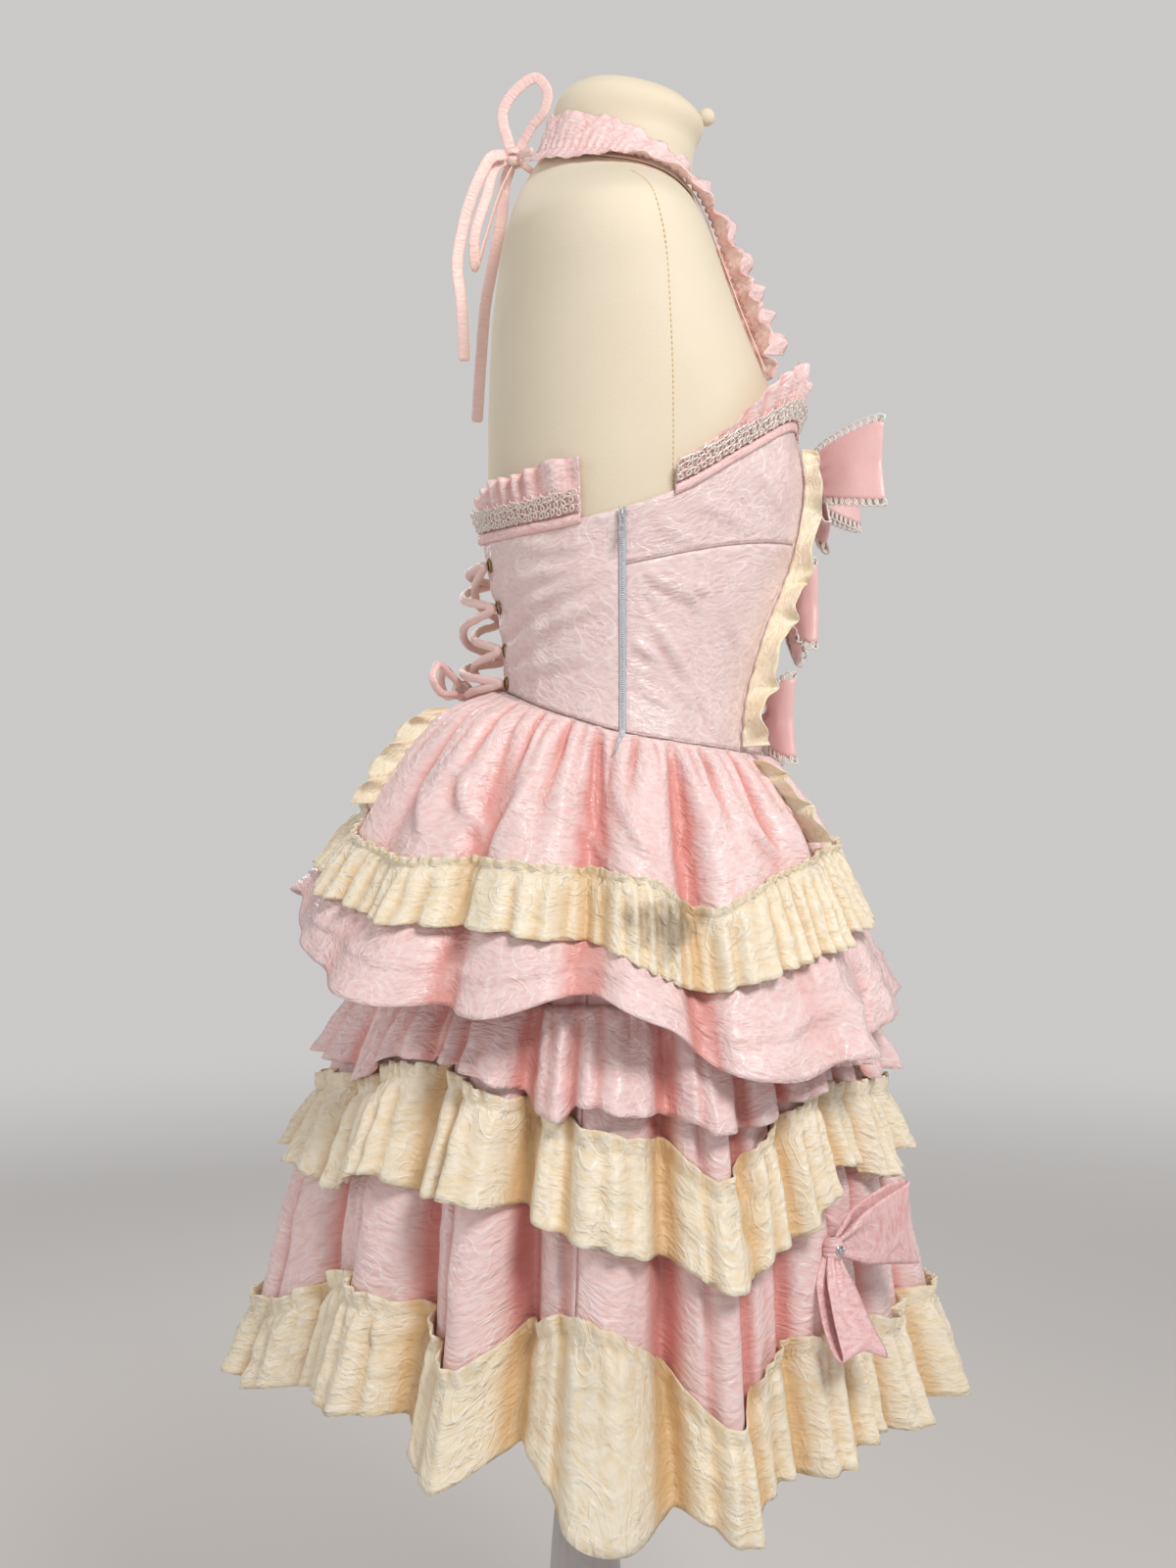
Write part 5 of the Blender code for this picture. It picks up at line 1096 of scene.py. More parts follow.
coil_nylon, tree, shader = new_material("zip coil nylon", Roughness=0.30, Coat_Weight=0.3)
place = put(tree, "ShaderNodeTexCoord")
worn = noise(tree, place.outputs["Object"], 60.0, Detail=3.0)
tint(tree, shader, worn.outputs["Fac"], colour(196, 204, 212), colour(234, 238, 241))
coil_line = polar_points(middle[:, 0], radius[:, 0] + 0.0002, height[:, 0])
coil = along_lines("zip_coil", teeth_tree(), [coil_line[5:]], Facing=(-1.0, 0.0, 0.0), Look=coil_nylon,
    Across=0.0030, Spacing=0.0012)
wear(coil, "zip_tape", "zip_chain")


def cast_plate(name, outline, thickness, centre, look, hole=()):
    """A small cast part: an outline in the plane across the zip, with or without a hole, rounded."""
    mesh = bpy.data.meshes.new(name)
    shaped = bmesh.new()
    edges = []
    for loop in (outline, hole):
        corners = [shaped.verts.new((0, y, z)) for y, z in loop]
        edges += [shaped.edges.new((corners[i], corners[(i + 1) % len(corners)]))
            for i in range(len(corners))]
    filled = bmesh.ops.triangle_fill(shaped, edges=edges, use_beauty=True)
    faces = [part for part in filled["geom"] if isinstance(part, bmesh.types.BMFace)]
    grown = bmesh.ops.extrude_face_region(shaped, geom=faces)
    moved = [part for part in grown["geom"] if isinstance(part, bmesh.types.BMVert)]
    bmesh.ops.translate(shaped, vec=(thickness, 0, 0), verts=moved)
    bmesh.ops.translate(shaped, vec=np.array(centre) - (thickness / 2, 0, 0), verts=shaped.verts)
    bmesh.ops.recalc_face_normals(shaped, faces=shaped.faces)
    shaped.to_mesh(mesh)
    shaped.free()
    mesh.materials.append(look)
    mesh.shade_smooth()
    mesh.set_sharp_from_angle(angle=math.radians(50))
    piece = bpy.data.objects.new(name, mesh)
    bpy.context.scene.collection.objects.link(piece)
    rounded = piece.modifiers.new("rounded", "BEVEL")
    rounded.width = thickness * 0.22
    rounded.segments = 2
    return piece


def round_outline(points, count=40):
    """A smooth closed outline through a few points."""
    points = np.array(points + points[:1], float)
    lengths = np.concatenate([[0], np.cumsum(np.linalg.norm(np.diff(points, axis=0), axis=1))])
    at = np.linspace(0, lengths[-1], count, endpoint=False)
    return [(float(np.interp(a, lengths, points[:, 0])), float(np.interp(a, lengths, points[:, 1])))
        for a in at]


slider_x = float(polar_points(-2.0, bodice_outer(-2.0, 1.152), 1.1515)[0])
slider_y = float(polar_points(-2.0, bodice_outer(-2.0, 1.152), 1.1515)[1])
slider_outline = [(0.0012, 0.0043), (0.0030, 0.0036), (0.0031, 0.0008), (0.0022, -0.0030),
    (0.0013, -0.0044), (-0.0013, -0.0044), (-0.0022, -0.0030), (-0.0031, 0.0008), (-0.0030, 0.0036),
    (-0.0012, 0.0043), (0.0, 0.0030)]
slider = cast_plate("zip_slider_body", slider_outline, 0.0030, (slider_x - 0.0024, slider_y, 1.1515), nickel)
wear(slider, "zip_metal", "zip_slider")


def swept(name, path, half_width, half_thickness, look, sides=14, start=(0, 0, 1), squareness=1.0,
        wrinkle=0.0, seed=0):
    """A round or flat cord along a smooth path, its flat side kept from twisting, with cross wrinkles."""
    path = np.asarray(path, float)
    forward = np.gradient(path, axis=0)
    forward /= np.linalg.norm(forward, axis=1, keepdims=True)
    normal = np.array(start, float)
    frames = []
    for way in forward:
        normal = normal - way * np.dot(normal, way)
        normal /= np.linalg.norm(normal)
        frames.append((normal, np.cross(way, normal)))
    turns = np.linspace(0, 2 * math.pi, sides, endpoint=False)
    cos, sin = np.cos(turns), np.sin(turns)
    cos = np.sign(cos) * np.abs(cos) ** squareness
    sin = np.sign(sin) * np.abs(sin) ** squareness
    rng = np.random.default_rng(seed)
    along = np.arange(len(path)) * np.linalg.norm(path[1] - path[0])
    uneven = sum(rng.uniform(0.5, 1) * np.sin(2 * math.pi * along / rng.uniform(0.004, 0.016)
        + rng.uniform(0, 6)) for _ in range(5)) / 2.2
    grid = []
    for point, (up, side), bump in zip(path, frames, uneven):
        slant = 1 + wrinkle * bump * np.cos(turns[:, None] - seed)
        grid.append(point + slant * (half_thickness * cos[:, None] * up + half_width * sin[:, None] * side))
    grid = np.array(grid)
    grid[0] = path[0] + (grid[0] - path[0]) * 0.7
    grid[-1] = path[-1] + (grid[-1] - path[-1]) * 0.7
    rows, columns = grid.shape[:2]
    faces = []
    for row in range(rows - 1):
        for column in range(columns):
            after = (column + 1) % columns
            faces.append((row * columns + column, (row + 1) * columns + column, (row + 1) * columns + after,
                          row * columns + after))
    faces.append(tuple(range(columns)))
    faces.append(tuple(range(rows * columns - 1, (rows - 1) * columns - 1, -1)))
    mesh = bpy.data.meshes.new(name)
    mesh.from_pydata(grid.reshape(-1, 3).tolist(), [], faces)
    layer = mesh.uv_layers.new(name="cloth")
    around = half_width * 2 * math.pi / sides
    for polygon in mesh.polygons:
        for loop in polygon.loop_indices:
            row, column = divmod(mesh.loops[loop].vertex_index, columns)
            layer.data[loop].uv = (column * around, float(along[row]))
    shaped = bmesh.new()
    shaped.from_mesh(mesh)
    bmesh.ops.recalc_face_normals(shaped, faces=shaped.faces)
    shaped.to_mesh(mesh)
    shaped.free()
    mesh.materials.append(look)
    mesh.shade_smooth()
    piece = bpy.data.objects.new(name, mesh)
    bpy.context.scene.collection.objects.link(piece)
    return piece


def smooth_route(points, count):
    """Evenly spaced points on a smooth curve through a route's own points."""
    points = np.asarray(points, float)
    lengths = np.concatenate([[0], np.cumsum(np.linalg.norm(np.diff(points, axis=0), axis=1))])
    at = np.linspace(0, lengths[-1], count)
    return np.stack([smooth(list(zip(lengths, values)), at) for values in points.T], axis=-1)


crown_route = [(slider_x - 0.0037, slider_y, 1.1540), (slider_x - 0.0056, slider_y, 1.1530),
               (slider_x - 0.0062, slider_y, 1.1508), (slider_x - 0.0056, slider_y, 1.1490),
               (slider_x - 0.0036, slider_y, 1.1484)]
crown = swept("zip_crown", smooth_route(crown_route, 16), 0.0009, 0.0005, nickel, start=(0, 1, 0))
wear(crown, "zip_metal")
tab_centre = (slider_x - 0.00525, slider_y, 1.1420)
tab_outline = round_outline([(0.0010, 0.0074), (0.0016, 0.0066), (0.0018, 0.0040), (0.0017, 0.0010),
                             (0.0022, -0.0050), (0.0020, -0.0068), (0.0010, -0.0075), (-0.0010, -0.0075),
                             (-0.0020, -0.0068), (-0.0022, -0.0050), (-0.0017, 0.0010), (-0.0018, 0.0040),
                             (-0.0016, 0.0066), (-0.0010, 0.0074)], 48)
tab_hole = [(0.0009 * math.cos(a), 0.0052 + 0.0013 * math.sin(a)) for a in np.linspace(0, 2 * math.pi, 16,
                                                                                       endpoint=False)]
tab = cast_plate("zip_pull_tab", tab_outline, 0.0010, tab_centre, nickel, hole=tab_hole)
wear(tab, "zip_metal", "zip_pull", body="zip_tab")

# The back's eyelets: pressed brass rings, gone brown with age, four in each back panel. The padded cord is
# laced through them from side to side and tied in a small bow over the waist seam.
EYELET_HEIGHTS = (1.128, 1.098, 1.067, 1.043)
LACE_KNOT = np.array([0.0, 0.0930, 1.0405])


def ring_tree():
    """A rolled metal ring on each point, facing the way that the point's attribute says."""
    tree = bpy.data.node_groups.new("rings on points", "GeometryNodeTree")
    tree.interface.new_socket("Geometry", in_out="INPUT", socket_type="NodeSocketGeometry")
    for name, value in (("Ring radius", 0.0042), ("Rim", 0.0012), ("Flatness", 0.60)):
        tree.interface.new_socket(name, in_out="INPUT", socket_type="NodeSocketFloat").default_value = value
    tree.interface.new_socket("Look", in_out="INPUT", socket_type="NodeSocketMaterial")
    tree.interface.new_socket("Geometry", in_out="OUTPUT", socket_type="NodeSocketGeometry")
    given = tree.nodes.new("NodeGroupInput").outputs
    facing = put(tree, "GeometryNodeInputNamedAttribute", {"Name": "facing"}, data_type="FLOAT_VECTOR")
    turned_out = put(tree, "FunctionNodeAlignRotationToVector", {"Vector": facing.outputs["Attribute"]},
        axis="Z")
    round_line = put(tree, "GeometryNodeCurvePrimitiveCircle",
        {"Resolution": 30, "Radius": given["Ring radius"]})
    rim = put(tree, "GeometryNodeCurvePrimitiveCircle", {"Resolution": 10, "Radius": given["Rim"]})
    ring = put(tree, "GeometryNodeCurveToMesh",
        {"Curve": round_line.outputs[0], "Profile Curve": rim.outputs[0]})
    flat = put(tree, "ShaderNodeCombineXYZ", {"X": 1.0, "Y": 1.0, "Z": given["Flatness"]})
    placed = put(tree, "GeometryNodeInstanceOnPoints",
        {"Points": given["Geometry"], "Instance": ring.outputs[0], "Rotation": turned_out.outputs[0],
        "Scale": flat.outputs[0]})
    real = put(tree, "GeometryNodeRealizeInstances", {"Geometry": placed.outputs[0]})
    rounded = put(tree, "GeometryNodeSetShadeSmooth", {"Geometry": real.outputs[0]})
    painted = put(tree, "GeometryNodeSetMaterial",
        {"Geometry": rounded.outputs[0], "Material": given["Look"]})
    tree.links.new(painted.outputs[0], tree.nodes.new("NodeGroupOutput").inputs[0])
    return tree


aged_brass, tree, shader = new_material("aged brass", Metallic=1.0)
place = put(tree, "ShaderNodeTexCoord")
tarnish = noise(tree, place.outputs["Object"], 420.0, Detail=4.0)
tint(tree, shader, tarnish.outputs["Fac"], colour(120, 88, 50), colour(186, 150, 96))
gloss = mapped(tree, tarnish.outputs["Fac"], 0.0, 1.0, 0.45, 0.26)
tree.links.new(gloss.outputs["Result"], shader.inputs["Roughness"])


def polar_frame(azimuth, height):
    """A point on the bodice and the direction out of it, found from the directions round it and up it."""
    def at(turn, rise):
        return polar_points(azimuth + turn, bodice_outer(azimuth + turn, height + rise), height + rise)

    centre = at(0, 0)
    around = (at(1, 0) - centre) / np.linalg.norm(at(1, 0) - centre)
    up = (at(0, 0.002) - centre) / np.linalg.norm(at(0, 0.002) - centre)
    out = np.cross(around, up)
    return centre, out * np.sign(out[1] * np.sign(centre[1]))


eyelet_places = []
eyelet_facings = []
anchors = {}
for number, height in enumerate(EYELET_HEIGHTS, start=1):
    centre, out = polar_frame(-61.0, height)
    for side, sign in (("right", 1), ("left", -1)):
        eyelet_places.append((centre + 0.0009 * out) * (sign, 1, 1))
        eyelet_facings.append(out * (sign, 1, 1))
        anchors[(side, number)] = (centre + 0.0053 * out) * (sign, 1, 1)
points_mesh = bpy.data.meshes.new("eyelet_places")
points_mesh.from_pydata(np.array(eyelet_places).tolist(), [], [])
facing = points_mesh.attributes.new("facing", "FLOAT_VECTOR", "POINT")
facing.data.foreach_set("vector", np.array(eyelet_facings, np.float32).ravel())
source = bpy.data.objects.new("eyelet_places", points_mesh)
bpy.context.scene.collection.objects.link(source)
pressed = source.modifiers.new("rings", "NODES")
pressed.node_group = ring_tree()
for socket in pressed.node_group.interface.items_tree:
    if socket.in_out == "INPUT" and socket.name == "Look":
        pressed[socket.identifier] = aged_brass
rings = bpy.data.meshes.new_from_object(source.evaluated_get(bpy.context.evaluated_depsgraph_get()))
bpy.data.objects.remove(source)
eyelets = bpy.data.objects.new("back_eyelets", rings)
bpy.context.scene.collection.objects.link(eyelets)
eyelet_nodes = [f"eyelet_{side}_{number}" for side in ("right", "left") for number in (1, 2, 3, 4)]
wear(eyelets, "eyelet_brass", *eyelet_nodes)

tie_cloth, tree, shader = new_material("pink tie cloth", Roughness=0.42, Sheen_Weight=0.35,
    Sheen_Roughness=0.35)
shader.inputs["Sheen Tint"].default_value = colour(252, 232, 230)
cloth_place = put(tree, "ShaderNodeUVMap", uv_map="cloth")
squeezed = vector_maths(tree, "MULTIPLY", cloth_place.outputs["UV"], (0.35, 1.0, 1.0))
wrinkles = noise(tree, squeezed.outputs[0], 420.0, Detail=3.0, Distortion=0.5)
tint(tree, shader, wrinkles.outputs["Fac"], colour(242, 200, 194), colour(252, 228, 223))
relieve(tree, shader, wrinkles.outputs["Fac"], 0.9, 0.0010)

crossing = [("left", 4), ("right", 3), ("left", 2), ("right", 1), ("left", 1), ("right", 2), ("left", 3),
            ("right", 4)]
bulge = [0.0815, 0.0815, 0.0815, 0.0860, 0.0895, 0.0895, 0.0895]
route = [LACE_KNOT + (0.0069, -0.0041, -0.0040), LACE_KNOT + (0.024, -0.0100, -0.0020)]
for near, far, depth in zip(crossing, crossing[1:], bulge):
    route.append(anchors[near])
    for part_way in (0.32, 0.68):
        crossing_point = anchors[near] * (1 - part_way) + anchors[far] * part_way
        crossing_point[1] = depth
        route.append(crossing_point)
route += [anchors[crossing[-1]], LACE_KNOT + (-0.024, -0.0100, -0.0020),
          LACE_KNOT + (-0.0069, -0.0041, -0.0040)]
back_lace = swept("back_lacing", smooth_route(route, 330), 0.0032, 0.0030, tie_cloth, wrinkle=0.09, seed=4)
wear(back_lace, "tie_cloth", "back_lace")

lace_loop = [(0.0015, 0.0008, 0.0032), (0.012, 0.008, 0.0110), (0.026, 0.016, 0.018), (0.036, 0.019, 0.007),
             (0.029, 0.015, -0.002), (0.013, 0.008, -0.0034), (0.0015, 0.0008, -0.0032)]
for side, sign in (("right", -1), ("left", 1)):
    loop_path = smooth_route(LACE_KNOT + np.array(lace_loop) * (sign, 1, 1), 90)
    loop = swept(f"lace_bow_loop_{side}", loop_path, 0.0030, 0.0027, tie_cloth, wrinkle=0.10, seed=6 + sign)
    wear(loop, "tie_cloth", "back_lace_bow")


def wrapped_knot(name, centre, size, tilt, half_width, look, slot, node):
    """A pulled-tight knot: two flat turns of the tie round each other, and a small core in the middle."""
    parts = []
    for number, (turn, grow) in enumerate(((tilt, 1.0), (tilt + 75, 0.86))):
        angles = np.linspace(0, 2 * math.pi, 40)
        lean = math.radians(turn)
        ring = np.stack([np.cos(angles) * size[0] * grow * 0.5, np.sin(angles) * size[1] * grow * 0.5,
                         0 * angles], axis=1)
        tipped = np.stack([ring[:, 0] * math.cos(lean), ring[:, 1], ring[:, 0] * math.sin(lean)], axis=1)
        across = (-math.sin(lean), 0.0, math.cos(lean))
        parts.append(swept(f"{name}_turn_{number}", np.array(centre) + tipped, half_width, 0.0018, look, 14,
                           start=np.cross((0, 1, 0), across), wrinkle=0.16, seed=11 + number))
    core = bpy.data.meshes.new(f"{name}_core")
    shaped = bmesh.new()
    bmesh.ops.create_icosphere(shaped, subdivisions=3, radius=0.5)
    bmesh.ops.scale(shaped, vec=np.array(size) * 0.86, verts=shaped.verts)
    bmesh.ops.translate(shaped, vec=centre, verts=shaped.verts)
    shaped.to_mesh(core)
    shaped.free()
    core.materials.append(look)
    core.shade_smooth()
    core.uv_layers.new(name="cloth")
    middle_part = bpy.data.objects.new(f"{name}_core", core)
    bpy.context.scene.collection.objects.link(middle_part)
    for part in (*parts, middle_part):
        wear(part, slot, node)


wrapped_knot("lace_knot", LACE_KNOT, (0.0150, 0.0125, 0.0155), 40, 0.0032, tie_cloth, "tie_cloth",
    "back_lace_bow")

# The neckline's trim, in front and on each half of the back: a gathered pink frill that stands up from the
# edge, a strip of silver lace in front of its foot, and a rolled pink binding stitched over both.
# The second and fourth colours are painted shade, for the pucker hollows and for the folds.
frill_brocade = brocade_material("pale crinkled frill", colour(247, 220, 219), colour(242, 200, 197),
                                 colour(253, 240, 240), colour(226, 146, 138), 0.38, 0.0010, roses=30.0,
                                 puckers=420.0, dent_depth=0.0012)
# The second and fourth colours are painted shade, for the pucker hollows and for the folds.
binding_brocade = brocade_material("rolled binding", colour(247, 212, 210), colour(238, 188, 184),
                                   colour(252, 232, 230), colour(220, 150, 144), 0.40, 0.0006, roses=34.0,
                                   puckers=520.0, dent_depth=0.0006)
silver_lace, tree, shader = new_material("silver lace", Sheen_Weight=0.3)
place = put(tree, "ShaderNodeUVMap", uv_map="cloth")
net = put(tree, "ShaderNodeTexVoronoi", {"Vector": place.outputs["UV"], "Scale": 300.0},
          feature="DISTANCE_TO_EDGE")
threads = mapped(tree, net.outputs["Distance"], 0.03, 0.16, 1.0, 0.0)
glint = noise(tree, place.outputs["UV"], 1500.0, Detail=2.0)
tint(tree, shader, threads.outputs[0], colour(240, 176, 168), colour(255, 230, 220))
metal_share = maths(tree, "MULTIPLY", threads.outputs[0], 0.08)
gloss = mapped(tree, glint.outputs["Fac"], 0.35, 0.65, 0.22, 0.60)
relieve(tree, shader, threads.outputs[0], 0.6, 0.0003)
tree.links.new(metal_share.outputs[0], shader.inputs["Metallic"])
tree.links.new(gloss.outputs[0], shader.inputs["Roughness"])
silver_thread, tree, shader = new_material("silver thread", Roughness=0.30)
place = put(tree, "ShaderNodeTexCoord")
twist = noise(tree, place.outputs["Object"], 1300.0, Detail=1.0)
tint(tree, shader, twist.outputs["Fac"], colour(216, 206, 198), colour(255, 250, 244))
metal_share = mapped(tree, twist.outputs["Fac"], 0.0, 1.0, 0.1, 0.35)
tree.links.new(metal_share.outputs[0], shader.inputs["Metallic"])


def thread_tree():
    """A round thread along each line of points."""
    tree = bpy.data.node_groups.new("thread along a line", "GeometryNodeTree")
    tree.interface.new_socket("Geometry", in_out="INPUT", socket_type="NodeSocketGeometry")
    tree.interface.new_socket("Radius", in_out="INPUT", socket_type="NodeSocketFloat").default_value = 0.0004
    tree.interface.new_socket("Sides", in_out="INPUT", socket_type="NodeSocketInt").default_value = 5
    tree.interface.new_socket("Look", in_out="INPUT", socket_type="NodeSocketMaterial")
    tree.interface.new_socket("Geometry", in_out="OUTPUT", socket_type="NodeSocketGeometry")
    given = tree.nodes.new("NodeGroupInput").outputs
    line = put(tree, "GeometryNodeMeshToCurve", {"Mesh": given["Geometry"]})
    section = put(tree, "GeometryNodeCurvePrimitiveCircle", {"Resolution": given["Sides"],
                                                             "Radius": given["Radius"]})
    tube = put(tree, "GeometryNodeCurveToMesh",
        {"Curve": line.outputs[0], "Profile Curve": section.outputs[0], "Fill Caps": True})
    rounded = put(tree, "GeometryNodeSetShadeSmooth", {"Geometry": tube.outputs[0]})
    real = put(tree, "GeometryNodeRealizeInstances", {"Geometry": rounded.outputs[0]})
    painted = put(tree, "GeometryNodeSetMaterial", {"Geometry": real.outputs[0], "Material": given["Look"]})
    tree.links.new(painted.outputs[0], tree.nodes.new("NodeGroupOutput").inputs[0])
    return tree


threading = thread_tree()
FRONT_FRILL_HEIGHT = ((12, 0.016), (25, 0.022), (38, 0.034), (55, 0.043), (72, 0.040), (90, 0.034))
BACK_FRILL_HEIGHT = ((-69, 0.026), (-55, 0.034), (-35, 0.038), (-13, 0.041))


def stand_up(azimuth, rise, lean, wave):
    """Inner radius of a piece that stands on the bodice's edge, clear of the body at every height."""
    edge = top_height(azimuth)
    free = np.clip(rise - 0.0042, 0, None)
    ripple = 0.0040 * np.clip(free / 0.030, 0, 1) * (1 + wave)
    upright = bodice_outer(azimuth, edge) - 0.0016 + lean * free + ripple
    return np.maximum(upright, form_radius(azimuth, edge + rise) + 0.0018 + ripple)


def neckline_trim(place, first, last, heights, lean, seed, mirror=False):
    """The frill, the lace and the binding of one stretch of the neckline, from one azimuth to another."""
    flip = np.array((-1, 1, 1) if mirror else (1, 1, 1))
    span = last - first
    azimuth = np.linspace(first, last, int(span * 2.8))[None, :]
    edge = top_height(azimuth)
    full = mirrored(heights, azimuth) + 0.0016 * ripples(azimuth, 0, 0.05, seed)
    share = np.linspace(0, 1, 15)[:, None]
    rise = 0.0009 + share * (full - 0.0009)
    fold = gathered_phase(azimuth, 42, seed + 1)
    wave = np.cos(fold + 0.6 * share) * (0.75 + 0.25 * ripples(azimuth, 0, 0.06, seed + 2))
    gathers = 0.0007 * np.cos(gathered_phase(azimuth, 170, seed + 3)) * np.exp(-share * 3.0)
    gathers = gathers * np.clip(share * 9, 0, 1)
    crumple = 0.0010 * ripples(azimuth, edge + rise, 0.020, seed + 4) * np.clip(share * 2 - 0.3, 0, 1)
    radius = stand_up(azimuth, rise, lean, np.clip(wave, -1, 1)) + 0.0013 + gathers
    radius = radius + np.maximum(crumple, -0.0008)
    shown = grid_mesh(f"neckline_frill_{place}", polar_points(azimuth, radius, edge + rise) * flip,
        frill_brocade, thickness=0.0007)
    wear(shown, "pink_satin", f"neck_frill_{place}")
    cloth_sheet(shown)

    columns = int(span * 3.4)
    azimuth = np.linspace(first, last, columns)[None, :]
    edge = top_height(azimuth)
    along = np.radians(azimuth) * 0.155
    points_up = 0.0052 * (2 * np.abs(np.mod(along / 0.0086, 1) - 0.5)) ** 1.5
    points_up = points_up + 0.0012 * ripples(azimuth, 0, 0.02, seed + 5)
    share = np.linspace(0, 1, 7)[:, None]
    rise = 0.0040 + share * (0.0118 + points_up)
    base = stand_up(azimuth, rise, lean, 1 + 0 * azimuth) + 0.0022
    radius = base + 0.0010 + 0.0006 * ripples(azimuth, edge + rise, 0.016, seed + 6)
    strip = grid_mesh(f"neckline_lace_{place}", polar_points(azimuth, radius, edge + rise) * flip,
        silver_lace, thickness=0.0005)
    wear(strip, "silver_lace", f"neck_lace_{place}")
    cloth_sheet(strip)
    lines = []
    length = math.radians(span) * 0.155
    scroll_rows = ((0.0068, 0.0022, 0.0056, 0.0), (0.0118, 0.0024, 0.0064, 1.0),
                   (0.0158, 0.0019, 0.0052, 2.2))
    for row, (rise_middle, swing, pitch, shift) in enumerate(scroll_rows):
        turns = np.linspace(0, 2 * math.pi * length / pitch, int(length / pitch * 11))
        way = first + span * (turns / turns[-1]) + np.degrees(0.0031 * np.sin(turns + shift) / 0.155)
        way = np.clip(way, first, last)
        lift = rise_middle + swing * np.cos(turns + shift) + 0.0007 * np.sin(turns * 0.37 + seed)
        curl = stand_up(way, lift, lean, 1 + 0 * way) + 0.0049 + 0.0003 * np.sin(turns * 2.3)
        lines.append(polar_points(way, curl, top_height(way) + lift) * flip)
    scrolls = along_lines(f"lace_scrolls_{place}", threading, lines, Radius=0.00062, Look=silver_thread)
    wear(scrolls, "silver_lace")

    azimuth = np.linspace(first, last, int(span * 1.6))[None, :]
    share = np.linspace(-1, 1, 9)[:, None]
    rise = -0.0003 + 0.0039 * share
    height = top_height(azimuth) + rise
    roll = 0.0021 * np.sqrt(np.clip(1 - np.abs(share) ** 2.4, 0, 1))
    roll = roll + 0.00035 * ripples(azimuth, height, 0.009, seed + 7)
    radius = bodice_outer(azimuth, np.minimum(height, top_height(azimuth))) + 0.0008 + roll
    edge_band = grid_mesh(f"neckline_binding_{place}", polar_points(azimuth, radius, height) * flip,
        binding_brocade, thickness=0.0007)
    wear(edge_band, "pink_satin", f"neck_binding_{place}")
    cloth_sheet(edge_band)
    stitch_rise = 0.0027
    stitch_turn = np.linspace(first + 0.5, last - 0.5, int(span * 2))
    edge_line = polar_points(stitch_turn, bodice_outer(stitch_turn, top_height(stitch_turn)) + 0.0026,
                             top_height(stitch_turn) + stitch_rise) * flip
    sewn = along_lines(f"binding_stitches_{place}", stitches, [edge_line], Thread=pink_thread, Spacing=0.0030,
                       Length=0.0021, Width=0.00045)
    wear(sewn, "pink_satin")


neckline_trim("front", 12, 168, FRONT_FRILL_HEIGHT, 0.18, 200)
neckline_trim("back_right", -68.5, -13.5, BACK_FRILL_HEIGHT, 0.10, 220)
neckline_trim("back_left", -68.5, -13.5, BACK_FRILL_HEIGHT, 0.10, 240, mirror=True)

# The halter: a flat strap of peach satin from each cup, over the chest and round the neck, with a double-
# edged frill gathered along a line in its lower third. Its narrow flat ties are knotted in a bow behind
# the neck.
HALTER_LINE = ((61, 1.266), (59, 1.300), (53, 1.345), (41, 1.384), (20, 1.408), (-8, 1.424), (-42, 1.434),
               (-72, 1.440))  # azimuth, height
peach_satin, tree, shader = new_material("peach satin", Roughness=0.34, Sheen_Weight=0.3, Sheen_Roughness=0.3)
place = put(tree, "ShaderNodeUVMap", uv_map="cloth")
weave = noise(tree, place.outputs["UV"], 190.0, Detail=4.0)
tint(tree, shader, weave.outputs["Fac"], colour(240, 194, 178), colour(252, 220, 206))
relieve(tree, shader, weave.outputs["Fac"], 0.6, 0.0006)


def strap_frame(count):
    """Points along the halter's line with the directions out of the body and across the strap."""
    line = np.array(HALTER_LINE, float)
    rough = polar_points(line[:, 0], form_radius(line[:, 0], line[:, 1]), line[:, 1])
    lengths = np.concatenate([[0], np.cumsum(np.linalg.norm(np.diff(rough, axis=0), axis=1))])
    at = np.linspace(0, lengths[-1], count)
    azimuth = smooth(list(zip(lengths, line[:, 0])), at)
    height = smooth(list(zip(lengths, line[:, 1])), at)

    def surface(turn, rise):
        return polar_points(azimuth + turn, form_radius(azimuth + turn, height + rise), height + rise)

    points = surface(0, 0)
    out = np.cross(surface(1, 0) - surface(-1, 0), surface(0, 0.004) - surface(0, -0.004))
    out /= np.linalg.norm(out, axis=1, keepdims=True)
    away = points - np.array([0.0, AXIS_Y, 0.0])
    away[:, 2] = 0
    out *= np.sign(np.sum(out * away, axis=1, keepdims=True))
    forward = np.gradient(points, axis=0)
    forward /= np.linalg.norm(forward, axis=1, keepdims=True)
    across = np.cross(out, forward)
    across *= np.sign(across[-1, 2])
    return points, out, across, at


def off_the_form(points, clearance):
    """The same points, none nearer the form than the clearance."""
    offset = points - np.array([0.0, AXIS_Y, 0.0])
    azimuth = np.degrees(np.arctan2(-offset[..., 1], -offset[..., 0]))
    radius = np.hypot(offset[..., 0], offset[..., 1])
    return polar_points(azimuth, np.maximum(radius, form_radius(azimuth, points[..., 2]) + clearance),
        points[..., 2])


